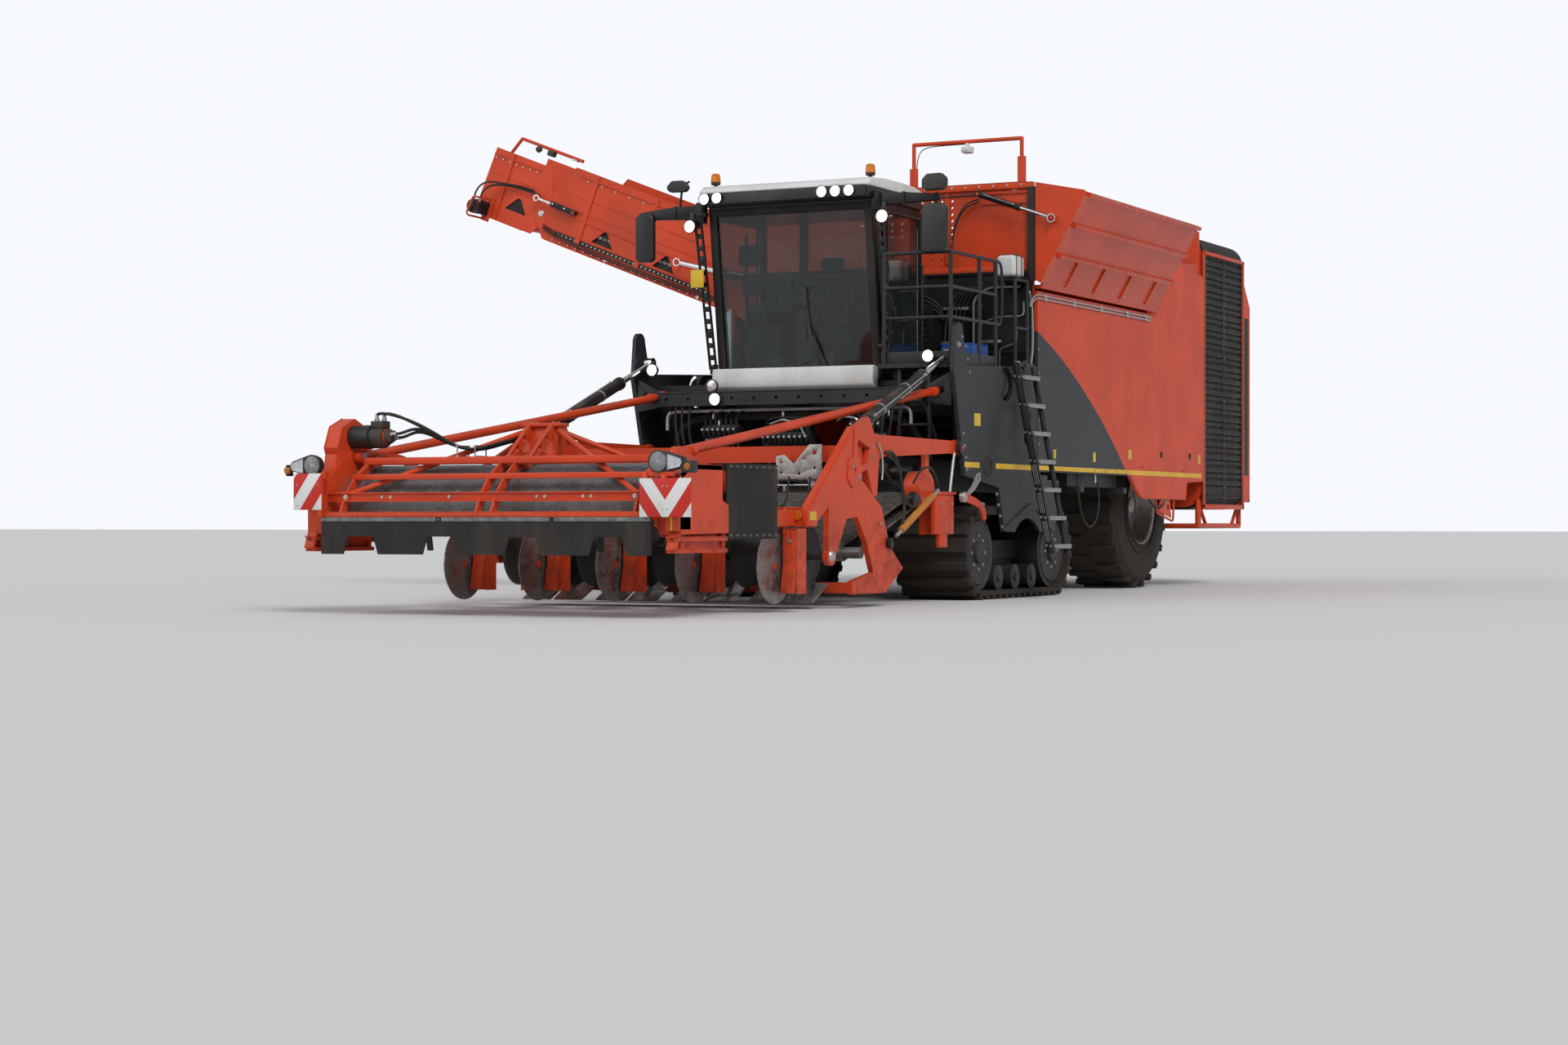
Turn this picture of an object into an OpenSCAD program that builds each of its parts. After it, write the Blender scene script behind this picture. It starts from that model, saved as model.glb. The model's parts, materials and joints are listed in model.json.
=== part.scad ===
// Self-propelled four-row potato harvester.
// X points to the machine's left, Y to its rear and Z up, and the ground is Z = 0. The modules are drawn
// with the midplane at X = 0 and the centre of the track units at Y = 0. The whole is then moved so that
// its origin is the middle of the ground that it covers, with the unloading elevator out to the right.

/* [Machine] */
// Half width over the side covers
half_w = 1700; // [1640:10:1740]
// Distance between neighbouring potato ridges
ridge_pitch = 750; // [720:10:780]
// Height of the bunker rim and of the hinge line under it
rim_z = 4080; // [3950:10:4150]
// Height of the bunker wing's hinge line
wing_z = 3026; // [2980:2:3080]
// Height of the lower edge of the side covers
sill_z = 1230; // [1200:5:1260]
// Y of the front edge of the side plates, ahead of the track centre
plate_y = -1450; // [-1480:5:-1420]
// Y of the front edge of the side covers and the bunker
cover_y = 306; // [280:2:340]
// Y of the front face of the ring elevator
ring_y = 5594; // [5560:2:5640]
// Width of the ring elevator along the machine
ring_w = 1485; // [1400:5:1520]
// Thickness of the side covers
cover_t = 30; // [20:1:40]
// Thickness of the side plates
plate_t = 40; // [30:1:50]

/* [Tracks and wheels] */
// Distance between the two large wheels of a track
track_base = 1900; // [1700:10:2000]
// Radius of a large track wheel
track_wheel_r = 360; // [330:5:380]
// Thickness of the track band
track_band_t = 42; // [30:1:50]
// Height of the track lugs
track_lug_h = 43; // [30:1:50]
// Width of a track
track_w = 740; // [600:10:750]
// Number of lugs round a track
track_lugs = 40; // [30:1:44]
// Radius of the rear tyres
tyre_r = 925; // [880:5:940]
// Width of the rear tyres
tyre_w = 710; // [600:10:715]
// Y of the rear axle
axle_y = 4250; // [4200:5:4300]
// Distance of the steering pivot from the midplane
kingpin_x = 955; // [940:1:970]

/* [Digging unit] */
// Y of the pivot of the digging unit
digger_y = -1550; // [-1560:1:-1545]
// Height of the pivot of the digging unit
digger_z = 1420; // [1400:2:1440]
// Diameter of the large linkage pins
pin_d = 50; // [40:1:60]
// Radius of the coulter discs
disc_r = 310; // [280:5:320]
// Largest radius of a ridge roller
roller_r = 270; // [240:5:290]
// Diameter of the lift cylinders
lift_d = 110; // [90:1:120]
// Diameter of the long push tubes
push_d = 76; // [60:1:90]

/* [Topper] */
// Radius of the topper rotor at the flail tips
rotor_r = 300; // [260:5:310]
// Height of the topper rotor's axis
rotor_z = 800; // [790:2:830]
// Half length of the topper hood
hood_half = 1500; // [1450:5:1560]
// Thickness of the topper's sheet metal
hood_t = 8; // [5:1:12]

/* [Cab] */
// Half width of the cab
cab_half = 860; // [820:5:880]
// Height of the cab floor
cab_floor_z = 2070; // [2064:2:2090]
// Height of the underside of the cab roof
cab_roof_z = 3740; // [3700:5:3780]
// Y of the back of the cab
cab_rear_y = -640; // [-700:5:-600]
// Thickness of the cab pillars
pillar = 70; // [50:1:80]

/* [Unloading elevator] */
// Slope of the unloading elevator
elev_slope = 21; // [18:0.5:24]
// Depth of the elevator's side walls
elev_depth = 850; // [800:5:880]
// Width of the inner elevator section over its side walls
elev_w = 1100; // [1040:5:1120]
// Length of the inner section from its pivot to the knee
elev_inner_l = 2420; // [2350:5:2480]
// Length of the outer section from the knee to its tip
elev_outer_l = 830; // [780:5:900]

/* [Hidden] */
red = [0.86, 0.2, 0.1];
dark = [0.2, 0.21, 0.22];
black = [0.08, 0.08, 0.09];
steel = [0.7, 0.71, 0.72];
grey = [0.5, 0.51, 0.5];
white = [0.92, 0.92, 0.9];
yellow = [0.95, 0.75, 0.1];
round_fn = 48;
small_fn = 24;

// Running clearance of a wheel or roller on its axle
fit = 0.05;
// Extra diameter of a rod's eye over its pin, because the rod swings a little off the pin's path
lift_play = 16;
wing_play = 34;
elev_play = 22;
knee_play = 18;
// Least gap between two pieces that move past each other
gap = 8;
// Height of the walkway beside the cab
walk_z = 2200;
// Seat gap between two pieces that are bolted face to face
seat = 0.3;

cover_x = half_w - cover_t;
plate_x = half_w - plate_t;
rows = [-1.5, -0.5, 0.5, 1.5];
furrows = [-2, -1, 0, 1, 2];

// Frame beams
beam_x = 800;
beam_t = 60;
beam_z = 1900;
beam_h = 160;
lower_z = 1040;
lower_h = 310;
lower_end_y = 3100;
frame_front_y = plate_y - 60;
frame_rear_y = ring_y - 44;

// Middle of the ground that the machine covers, seen from its midplane and its track units
footprint = [-1310, 180, 0];

// Linkage points of the front tools, as [Y, Z]
lift_top = [-1620, 2275];
lift_eye = [-3540, 1560];
push_rear = [-1600, 1955];
push_front = [-6580, 1259];
// The lower links run parallel to the push tubes, so the topper stays level
topper_pivot = [digger_y, digger_z] + push_front - push_rear;
arm_x = 1600;
arm_t = 50;
lift_x = 1572;
push_x = 1455;
link_x = hood_half + 30;

module block(lo, hi) {
    translate(lo)
        cube(hi - lo);
}

// Both sides of the machine
module pair() {
    children();
    mirror([1, 0, 0])
        children();
}

// A flat outline of [Y, Z] points, thickened along X from x0 to x1
module slab_x(x0, x1) {
    translate([x0, 0, 0])
        rotate([90, 0, 90])
            linear_extrude(x1 - x0)
                children();
}

// A flat outline of [X, Z] points, thickened along Y from y0 to y1
module slab_y(y0, y1) {
    translate([0, y1, 0])
        rotate([90, 0, 0])
            linear_extrude(y1 - y0)
                children();
}

// A round bar from a to b
module rod(a, b, d, fn = small_fn) {
    v = b - a;
    translate(a)
        rotate([0, acos(v[2] / norm(v)), atan2(v[1], v[0])])
            cylinder(h = norm(v), d = d, $fn = fn);
}

// Round bars along a list of points, with a ball at each inner corner
module pipe(points, d) {
    for (i = [0 : len(points) - 2])
        rod(points[i], points[i + 1], d, 16);
    for (i = [1 : 1 : len(points) - 2])
        translate(points[i])
            sphere(d = d, $fn = 16);
}

// A cylinder along X
module pin_x(x0, x1, y, z, d, fn = round_fn) {
    translate([x0, y, z])
        rotate([0, 90, 0])
            cylinder(h = x1 - x0, d = d, $fn = fn);
}

// A cylinder along Y
module pin_y(x, y0, y1, z, d, fn = round_fn) {
    translate([x, y1, z])
        rotate([90, 0, 0])
            cylinder(h = y1 - y0, d = d, $fn = fn);
}

// A closed loop round two equal wheels, as points, with a tooth of height h on every pitch
function loop_point(s, base, r) =
    let (turn = PI * r, whole = 2 * (base + turn), t = s - whole * floor(s / whole))
    t < base ? [[-base / 2 + t, r], [0, 1]]
    : t < base + turn ? let (a = 90 - (t - base) / r * 180 / PI) [[base / 2 + r * cos(a), r * sin(a)], [cos(a), sin(a)]]
    : t < 2 * base + turn ? [[base / 2 - (t - base - turn), -r], [0, -1]]
    : let (a = -90 - (t - 2 * base - turn) / r * 180 / PI) [[-base / 2 + r * cos(a), r * sin(a)], [cos(a), sin(a)]];

function toothed_loop(base, r, count, h, land) =
    let (whole = 2 * (base + PI * r), pitch = whole / count)
    [for (i = [0 : count - 1], k = [[0, 0], [land * 0.15, h], [land * 0.85, h], [land, 0]])
        let (p = loop_point((i + k[0]) * pitch, base, r)) p[0] + p[1] * k[1]];

// The outline of a belt round two rollers
module belt_outline(a, b, r) {
    v = b - a;
    turn = atan2(v[1], v[0]);
    translate(a)
        rotate(turn) {
            circle(r, $fn = round_fn);
            translate([norm(v), 0])
                circle(r, $fn = round_fn);
            translate([0, -r])
                square([norm(v), 2 * r]);
        }
}

module frame_post(y) {
    block([beam_x, y, lower_z + lower_h], [beam_x + beam_t, y + 140, beam_z]);
}

module cross_beam(y, reach) {
    block([-reach, y, beam_z], [reach, y + 140, beam_z + beam_h]);
}

module main_frame() color(dark) {
    pair() {
        block([beam_x, frame_front_y, beam_z], [beam_x + beam_t, frame_rear_y, beam_z + beam_h]);
        block([beam_x, frame_front_y, lower_z], [beam_x + beam_t, lower_end_y, lower_z + lower_h]);
        for (y = [frame_front_y, 306, 1700, 2960])
            frame_post(y);
        for (y = [1600, 2900])
            block([beam_x + beam_t, y, lower_z], [cover_x - seat, y + 100, lower_z + 60]);
        // Plate that carries the track unit's cross tube
        block([beam_x, -120, 480], [beam_x + beam_t, 120, lower_z]);
        // Hangers of the rear axle and of the web's rear roller
        block([hanger_x, axle_y - 110, 1025 + seat], [hanger_x + beam_t, axle_y + 110, beam_z + 1]);
        block([hanger_x, frame_rear_y - 140, 1240], [hanger_x + beam_t, frame_rear_y - 60, beam_z + 1]);
        // Arm that carries the web's front roller
        block([beam_x, web_front[0][0] - 70, web_front[0][1] - 70], [beam_x + beam_t, frame_front_y + 200, lower_z + 90]);
    }
    cross_beam(frame_front_y, plate_x - seat);
    cross_beam(306, cover_x - seat);
    cross_beam(1700, cover_x - seat);
    cross_beam(2960, cover_x - seat);
    cross_beam(axle_y - 70, cover_x - seat);
    cross_beam(frame_rear_y - 140, cover_x - seat);
    pin_x(-beam_x - beam_t - 20, beam_x + beam_t + 20, 0, 560, 160);
    // Cross-beam and hand rail under the cab
    block([-1380, plate_y - 330, 1850], [1380, plate_y - 130, 1980]);
    pipe([[-1300, plate_y - 250, 1852], [-1300, plate_y - 250, 1800], [900, plate_y - 250, 1800],
        [900, plate_y - 250, 1852]], 34);
    // Links to the front cross-beam
    pair()
        block([beam_x, plate_y - 140, 1905], [beam_x + beam_t, frame_front_y + 10, 1975]);
}

module side_plate() {
    difference() {
        slab_x(plate_x, half_w)
            difference() {
                union() {
                    polygon([[plate_y - 60, 1160], [plate_y - 330, 2120], [plate_y - 290, 2480],
                        [plate_y - 110, 2480], [plate_y - 20, 2180], [cover_y - 4, 2260], [cover_y - 4, 1150],
                        [plate_y + 2350, 1150], [plate_y + 2250, 640], [plate_y + 900, 640],
                        [plate_y + 760, 1060]]);
                    translate([plate_y - 200, 2480])
                        circle(90, $fn = round_fn);
                    translate([digger_y, digger_z])
                        circle(80, $fn = round_fn);
                }
                translate([plate_y + 945, 2050])
                    circle(165, $fn = round_fn);
                for (z = [1560, 1740])
                    translate([plate_y + 1500, z])
                        circle(90, $fn = round_fn);
                translate([plate_y + 1410, 1560])
                    square([180, 180]);
                // Arch over the track's middle rollers
                translate([plate_y + 1500, 300])
                    circle(470, $fn = round_fn);
            }
        pin_x(plate_x - 1, half_w + 1, digger_y, digger_z, pin_d + 2 * fit);
    }
    // Tower pins of the lift cylinder and the push tube
    pin_x(lift_x - 54, plate_x + 1, lift_top[0], lift_top[1], pin_d);
    pin_x(push_x - 50, plate_x + 1, push_rear[0], push_rear[1], pin_d);
}

module side_plates() color(dark) {
    pair()
        side_plate();
    // Hinge pin of the ladder
    pin_x(half_w - 1, ladder_x + 24, ladder_hinge_y, ladder_top_z + 20, ladder_pin_d);
}

// Height of the covers' upper edge along the bunker
cover_top = wing_z - 20;

module cover_outline() {
    difference() {
        polygon([[cover_y, sill_z], [plate_y + 4460, sill_z], [plate_y + 4620, 1110],
            [plate_y + 4780, 1020], [plate_y + 4910, 985], [plate_y + 6360, 985],
            [plate_y + 6400, 1180], [ring_y - 44, 1200], [ring_y - 44, 3560], [plate_y + 6243, 3660],
            [plate_y + 5729, 3309], [plate_y + 5260, cover_top], [cover_y, cover_top]]);
        translate([plate_y + 5500, 1480])
            circle(28, $fn = small_fn);
        translate([plate_y + 6500, 1480])
            circle(28, $fn = small_fn);
    }
}

// The dark area ends on a long arc from the cover's front edge down to its sill
dark_centre = [plate_y - 740, sill_z - 6640];
dark_r = 8400;

module dark_area() {
    intersection() {
        cover_outline();
        translate(dark_centre)
            circle(dark_r, $fn = 360);
    }
}

module side_cover() {
    color(red)
        slab_x(cover_x, half_w)
            difference() {
                cover_outline();
                dark_area();
            }
    color(dark)
        slab_x(cover_x, half_w)
            dark_area();
}

module side_cover_left() side_cover();

module side_cover_right() mirror([1, 0, 0]) side_cover();

// Bunker
tub_t = 30;
tub_front = cover_y;
tub_rear = ring_y - 74;
floor_half = 700;
floor_z = 2260;
wall_x = half_w - cover_t - 8;

module tub_section() {
    polygon([[wall_x, wing_z - 30], [wall_x, 2900], [floor_half, floor_z - tub_t], [-floor_half, floor_z - tub_t],
        [-wall_x, 2900], [-wall_x, rim_z - 40], [-wall_x + tub_t, rim_z - 40], [-wall_x + tub_t, 2915],
        [-floor_half + 12, floor_z], [floor_half - 12, floor_z], [wall_x - tub_t, 2915],
        [wall_x - tub_t, wing_z - 30]]);
}

module end_wall() {
    polygon([[wall_x, wing_z - 30], [wall_x, rim_z], [-wall_x, rim_z], [-wall_x, 2900],
        [-floor_half, floor_z - tub_t], [floor_half, floor_z - tub_t], [wall_x, 2900]]);
}

hinge_pin_d = 20;
ear_t = 14;
ear_r = 60;

// A bored ear beside the elevator, from the bunker's right wall over the cover's edge out to the pivot
module elevator_ear(y) {
    slab_y(y, y + ear_t)
        difference() {
            union() {
                translate(elev_pivot)
                    circle(ear_r, $fn = round_fn);
                translate([elev_pivot[0], cover_top + gap])
                    square([-wall_x + tub_t - elev_pivot[0], elev_pivot[1] + ear_r - cover_top - gap]);
            }
            translate(elev_pivot)
                circle(d = elev_pivot_d + 2 * fit, $fn = round_fn);
        }
}

module bunker_tub() color(red) {
    // Pressed ribs beside the perforated panel
    for (z = [rim_z - 190, rim_z - 90])
        block([1118, tub_front - 20, z - 12], [wall_x - 8, tub_front + 1, z + 12]);
    difference() {
        union() {
            slab_y(tub_front, tub_rear)
                tub_section();
            // Front wall, with its perforated panel behind the cab
            slab_y(tub_front, tub_front + tub_t)
                difference() {
                    end_wall();
                    for (i = [0 : 13], j = [0 : 9])
                        translate([-640 + i * 110, 3340 + j * 66])
                            circle(19, $fn = 4);
                }
            slab_y(tub_rear - tub_t, tub_rear)
                difference() {
                    end_wall();
                    // Mouth that the ring elevator throws through
                    translate([-1250, 3000])
                        square([2500, 900]);
                }
            // Rim of the front wall
            block([-wall_x, tub_front - 40, rim_z - 50], [wall_x, tub_front + 30, rim_z]);
        }
        // Gap in the right wall that the unloading elevator leaves through
        block([-wall_x - 1, tub_front + tub_t, 2700], [-wall_x + tub_t + 1, elev_y1 + 30, rim_z - 1]);
    }
    // Ears that hold the elevator's pivot pins at both ends of the gap
    for (e = [[elev_y0 - gap - ear_t, tub_front + tub_t - 2, elev_y0 - gap], [elev_y1 + gap, elev_y1 + gap, elev_y1 + 32]]) {
        elevator_ear(e[0]);
        block([-wall_x, e[1], elev_pivot[1] - ear_r], [-wall_x + tub_t, e[2], elev_pivot[1] + ear_r]);
    }
    // Fixed shoulder of the left wall behind the wing
    slab_x(wall_x - tub_t, wall_x)
        polygon([[plate_y + 5300, wing_z - 32], [plate_y + 6243, 3660], [tub_rear, 3700], [tub_rear, wing_z - 32]]);
    // Ears of the wing's hinge
    for (y = [wing_y0 - 16, wing_y1 + 4]) {
        block([wall_x - tub_t, y, wing_z - 40], [wall_x, y + 12, wing_pin[1] + 18]);
        block([wall_x - 1, y, wing_pin[1] - 18], [wing_pin[0] + 18, y + 12, wing_pin[1] + 18]);
    }
    for (y = [wing_y0 - 16, wing_y1 - 60])
        pin_y(wing_pin[0], y, y + 76, wing_pin[1], hinge_pin_d, small_fn);
    // Camera hoop
    pipe([[370, tub_front + 20, rim_z - 10], [370, tub_front + 20, 4520], [1530, tub_front + 20, 4520],
        [1530, tub_front + 20, rim_z - 10]], 40);
    block([1490, tub_front + 5, rim_z - 10], [1570, tub_front + 35, rim_z + 260]);
    block([330, tub_front + 5, rim_z - 10], [410, tub_front + 35, rim_z + 200]);
    // Pins of the wing and elevator cylinders on the front wall
    pin_y(wing_anchor[0], wing_cyl_y - 30, tub_front + 1, wing_anchor[1], wing_pin_d, small_fn);
    pin_y(elev_anchor[0], elev_cyl_y - 48, tub_front + 1, elev_anchor[1], elev_pin_d, small_fn);
    // Feet on the frame
    for (y = [320, 1710, 2970, axle_y - 60], x = [-690, 600])
        block([x, y, beam_z + beam_h + seat], [x + 90, y + 110, floor_z - tub_t + 5]);
}

module bunker_floor() color(black) {
    // Moving floor of the bunker, a bar belt round two rollers
    slab_x(-floor_half + 40, floor_half - 40)
        translate([(tub_front + tub_rear) / 2, floor_z + seat + 32])
            polygon(toothed_loop(tub_rear - tub_front - 2 * tub_t - 220, 20, 60, 12, 0.4));
}

// Ring elevator
ring_out_x = half_w - 10;
ring_r = 220;
ring_low = 885;
ring_top = 4045;
ring_t = 40;

function ring_outline(inset) =
    let (x = ring_out_x - inset, lo = ring_low + inset, hi = ring_top - inset, r = ring_r - inset)
    [for (c = [[1, 1, 0], [-1, 1, 90], [-1, -1, 180], [1, -1, 270]], a = [0 : 15 : 90])
        [c[0] * (x - r) + r * cos(c[2] + a),
         (c[1] > 0 ? hi - r : lo + r) + r * sin(c[2] + a)]];

// Pitch, height and depth of the slots between the ring belt's bars
slot_pitch = 75;
slot_h = 34;
slot_d = 18;

module belt_slots() {
    for (s = [-1, 1], z = [ring_low + ring_r + 40 : slot_pitch : ring_top - ring_r - slot_h])
        translate([s > 0 ? ring_out_x - slot_d : -ring_out_x - 1, z])
            square([slot_d + 1, slot_h]);
    for (s = [0, 1], x = [ring_r - ring_out_x + 40 : slot_pitch : ring_out_x - ring_r - slot_h])
        translate([x, s > 0 ? ring_top - slot_d : ring_low - 1])
            square([slot_h, slot_d + 1]);
}

module ring_belt() color(black) {
    slab_y(ring_y, ring_y + ring_w)
        difference() {
            polygon(ring_outline(0));
            polygon(ring_outline(ring_t));
            belt_slots();
            // Joints between the straight sections and the corners
            for (x = [-1, 1])
                translate([x * (ring_out_x - ring_r) - seat / 2, ring_low - 1])
                    square([seat, ring_top - ring_low + 2]);
            for (z = [ring_low + ring_r, ring_top - ring_r])
                translate([-ring_out_x - 1, z - seat / 2])
                    square([2 * ring_out_x + 2, seat]);
        }
}

module ring_side(y0, y1) {
    slab_y(y0, y1)
        difference() {
            polygon(ring_outline(24));
            polygon(ring_outline(ring_r - 20));
        }
}

tow_y = 7380;
tow_z = 760;
tow_d = 40;
tow_t = 30;
tow_half = 80;

module ring_housing() color(red) {
    // Front side, with the web's entry below and the mouth to the bunker above
    slab_y(ring_y - 36, ring_y - 8)
        difference() {
            polygon(ring_outline(24));
            translate([-480, 1120])
                square([960, 640]);
            translate([-1250, 3000])
                square([2500, 850]);
        }
    ring_side(ring_y + ring_w + 8, ring_y + ring_w + 36);
    // Rests that carry the ring's loop
    for (s = [-1, 1], z = [ring_low + 480, ring_top - 540])
        block([s > 0 ? ring_out_x - 90 : -ring_out_x + ring_t + seat, ring_y - 10, z],
            [s > 0 ? ring_out_x - ring_t - seat : -ring_out_x + 90, ring_y + ring_w + 10, z + 60]);
    // Tubular guard under the ring
    pair()
        pipe([[ring_out_x - 60, ring_y - 40, 1000], [ring_out_x - 60, ring_y - 40, 690],
            [ring_out_x - 60, ring_y + ring_w + 40, 690], [ring_out_x - 60, ring_y + ring_w + 40, 1000]], 60);
    for (y = [ring_y - 40, ring_y + ring_w + 40])
        rod([-ring_out_x + 60, y, 690], [ring_out_x - 60, y, 690], 60);
    // Tie bars between the two sides, inside the loop
    for (x = [-1300, 1300], z = [1180, 3740])
        rod([x, ring_y - 20, z], [x, ring_y + ring_w + 20, z], 70);
    // Towing bracket, bored for a drop-in pin
    block([-tow_half, ring_y + ring_w + 8, tow_z - tow_t / 2], [tow_half, ring_y + ring_w + 36, tow_z + 170]);
    difference() {
        block([-tow_half, ring_y + ring_w + 8, tow_z - tow_t / 2], [tow_half, tow_y + 60, tow_z + tow_t / 2]);
        translate([0, tow_y, tow_z - tow_t])
            cylinder(h = 2 * tow_t, d = tow_d, $fn = round_fn);
    }
    // Rear bodywork
    difference() {
        slab_x(-half_w + 30, half_w - 30)
            polygon([[ring_y + ring_w + 35, 980], [ring_y + ring_w + 35, 3690], [ring_y + ring_w + 66, 3690],
                [7450, 3340], [7450, 1150], [7380, 980]]);
        slab_x(-half_w + 50, half_w - 50)
            polygon([[ring_y + ring_w + 34, 1000], [ring_y + ring_w + 34, 3660], [ring_y + ring_w + 60, 3660],
                [7430, 3328], [7430, 1160], [7368, 1000]]);
    }
    // Carriers that join the ring to the bunker frame
    pair()
        block([beam_x, frame_rear_y + seat, beam_z + 20], [beam_x + beam_t, ring_y - 30, beam_z + beam_h - 20]);
}

module engine_block() color(dark) {
    block([beam_x + beam_t + 40, 1500, lower_z + 60 + seat], [cover_x - 110, 2990, beam_z - 20]);
}

// Cab
cab_front_low = plate_y - 70;
cab_front_top = plate_y - 290;
function cab_front(z) = cab_front_low + (cab_front_top - cab_front_low) * (z - cab_floor_z) / (cab_roof_z - cab_floor_z);

module cab_side_outline(inset) {
    polygon([[cab_front(cab_floor_z) + inset * 1.2, cab_floor_z + inset], [cab_front(cab_roof_z) + inset, cab_roof_z - inset],
        [cab_rear_y - inset, cab_roof_z - inset], [cab_rear_y - inset, cab_floor_z + inset]]);
}

module cab_frame() color(black) {
    difference() {
        slab_x(-cab_half, cab_half)
            cab_side_outline(0);
        slab_x(-cab_half + pillar, cab_half - pillar)
            cab_side_outline(pillar);
        // Side openings, the left one over the door's sill
        slab_x(-cab_half - 1, 0)
            cab_side_outline(pillar + 20);
        slab_x(-1, cab_half + 1)
            intersection() {
                cab_side_outline(pillar + 20);
                translate([cab_front_top, door_low_z + 20])
                    square([cab_rear_y - cab_front_top, cab_roof_z - door_low_z]);
            }
        // Windscreen and rear window
        block([-cab_half + pillar, cab_front_top - 200, cab_floor_z + pillar + 10],
            [cab_half - pillar, cab_front_low + 150, cab_roof_z - pillar]);
        block([-cab_half + pillar, cab_rear_y - 200, cab_floor_z + 800],
            [cab_half - pillar, cab_rear_y + 10, cab_roof_z - pillar]);
    }
    // Door hinge pins on the left rear pillar
    for (z = [2400, 3400]) {
        translate([door_hinge[0], door_hinge[1], z - 20])
            cylinder(h = 160, d = 24, $fn = small_fn);
        for (dz = [-30, 125])
            block([cab_half - 1, door_hinge[1] - 14, z + dz], [door_hinge[0] + 14, door_hinge[1] + 14, z + dz + 25]);
    }
    // Mounts on the frame
    pair()
        block([beam_x, cab_front_low + 60, beam_z + beam_h + seat], [beam_x + beam_t, cab_rear_y - 60, cab_floor_z + 5]);
}

glass_t = 8;

module cab_glass() color([0.2, 0.25, 0.28, 0.6]) {
    // Windscreen, in the front opening
    slab_x(-cab_half + pillar + seat, cab_half - pillar - seat)
        polygon([for (p = [[0, 0], [1, 0], [1, glass_t], [0, glass_t]])
            let (z = p[0] > 0 ? cab_roof_z - pillar - seat : cab_floor_z + pillar + 10 + seat)
                [cab_front(z) + 12 + p[1], z]]);
    // Right window
    slab_x(-cab_half + 20, -cab_half + 20 + glass_t)
        cab_side_outline(pillar + 20 + seat);
    // Rear window
    block([-cab_half + pillar + seat, cab_rear_y - 30, cab_floor_z + 800 + seat],
        [cab_half - pillar - seat, cab_rear_y - 30 + glass_t, cab_roof_z - pillar - seat]);
}

// The door is upright at its front edge, so that it swings clear of the front rail
door_front_y = -1560;
door_low_z = walk_z + 2 * gap;
door_hinge = [cab_half + 30, cab_rear_y - 40];

module door_outline(inset) {
    translate([door_front_y + inset, door_low_z + inset])
        square([cab_rear_y - 70 - door_front_y - 2 * inset, cab_roof_z - 30 - door_low_z - 2 * inset]);
}

module cab_door() color(black) {
    slab_x(cab_half + gap, cab_half + gap + 40)
        difference() {
            door_outline(0);
            door_outline(60);
        }
    // Hinge barrels at the rear
    for (z = [2400, 3400]) {
        difference() {
            union() {
                translate([door_hinge[0], door_hinge[1], z])
                    cylinder(h = 120, d = 44, $fn = small_fn);
                block([cab_half + gap, cab_rear_y - 72, z + 10], [cab_half + gap + 30, door_hinge[1], z + 110]);
            }
            translate([door_hinge[0], door_hinge[1], z - 1])
                cylinder(h = 122, d = 24 + 2 * fit, $fn = small_fn);
        }
    }
}

module door_glass() color([0.2, 0.25, 0.28, 0.6]) {
    slab_x(cab_half + gap + 16, cab_half + gap + 16 + glass_t)
        door_outline(60 + seat);
}

module cab_roof() color(white) {
    slab_x(-cab_half - 30, cab_half + 30)
        polygon([[cab_front_top - 140, cab_roof_z + 120], [cab_front_top - 140, cab_roof_z + seat],
            [cab_rear_y + 30, cab_roof_z + seat], [cab_rear_y + 30, cab_roof_z + 190], [cab_rear_y - 200, cab_roof_z + 215],
            [cab_front_top + 100, cab_roof_z + 215]]);
}

module cab_apron() color(white) {
    // White panel under the windscreen
    slab_x(-cab_half - 10, cab_half - 30)
        polygon([[cab_front_low - 95, 1984], [cab_front_low - 145, 2080], [cab_front_low - 130, 2205],
            [cab_front(2205) - seat, 2205], [cab_front_low - seat, cab_floor_z], [cab_front_low - seat, 1984]]);
}

module driver_seat() color(dark) {
    block([-230, cab_rear_y - 560, cab_floor_z + pillar + seat], [230, cab_rear_y - 200, cab_floor_z + 420]);
    block([-250, cab_rear_y - 600, cab_floor_z + 419], [250, cab_rear_y - 130, cab_floor_z + 540]);
    slab_x(-240, 240)
        polygon([[cab_rear_y - 270, cab_floor_z + 530], [cab_rear_y - 150, cab_floor_z + 1250],
            [cab_rear_y - 90, cab_floor_z + 1250], [cab_rear_y - 140, cab_floor_z + 530]]);
}

module mirror_head(x, y, z, w, h) {
    block([x - w / 2, y - 35, z], [x + w / 2, y + 35, z + h]);
}

module mirrors() color(black) {
    // Right arm and heads
    block([-1560, cab_front_top - 60, 3620], [-cab_half - 30 - seat, cab_front_top + 10, 3780]);
    rod([-1520, cab_front_top - 42, 3640], [-1520, cab_front_top - 42, 3300], 36);
    mirror_head(-1520, cab_front_top - 60, 3240, 190, 480);
    rod([-1160, cab_front_top - 42, 3770], [-1160, cab_front_top - 42, 3910], 30);
    mirror_head(-1160, cab_front_top - 60, 3900, 220, 110);
    // Left arm and heads
    block([cab_half + 30 + seat, cab_front_top - 60, 3660], [1560, cab_front_top + 10, 3780]);
    rod([1520, cab_front_top - 42, 3700], [1520, cab_front_top - 42, 3300], 36);
    mirror_head(1520, cab_front_top - 60, 3200, 260, 480);
    mirror_head(1520, cab_front_top - 60, 3779, 260, 150);
}

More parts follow.
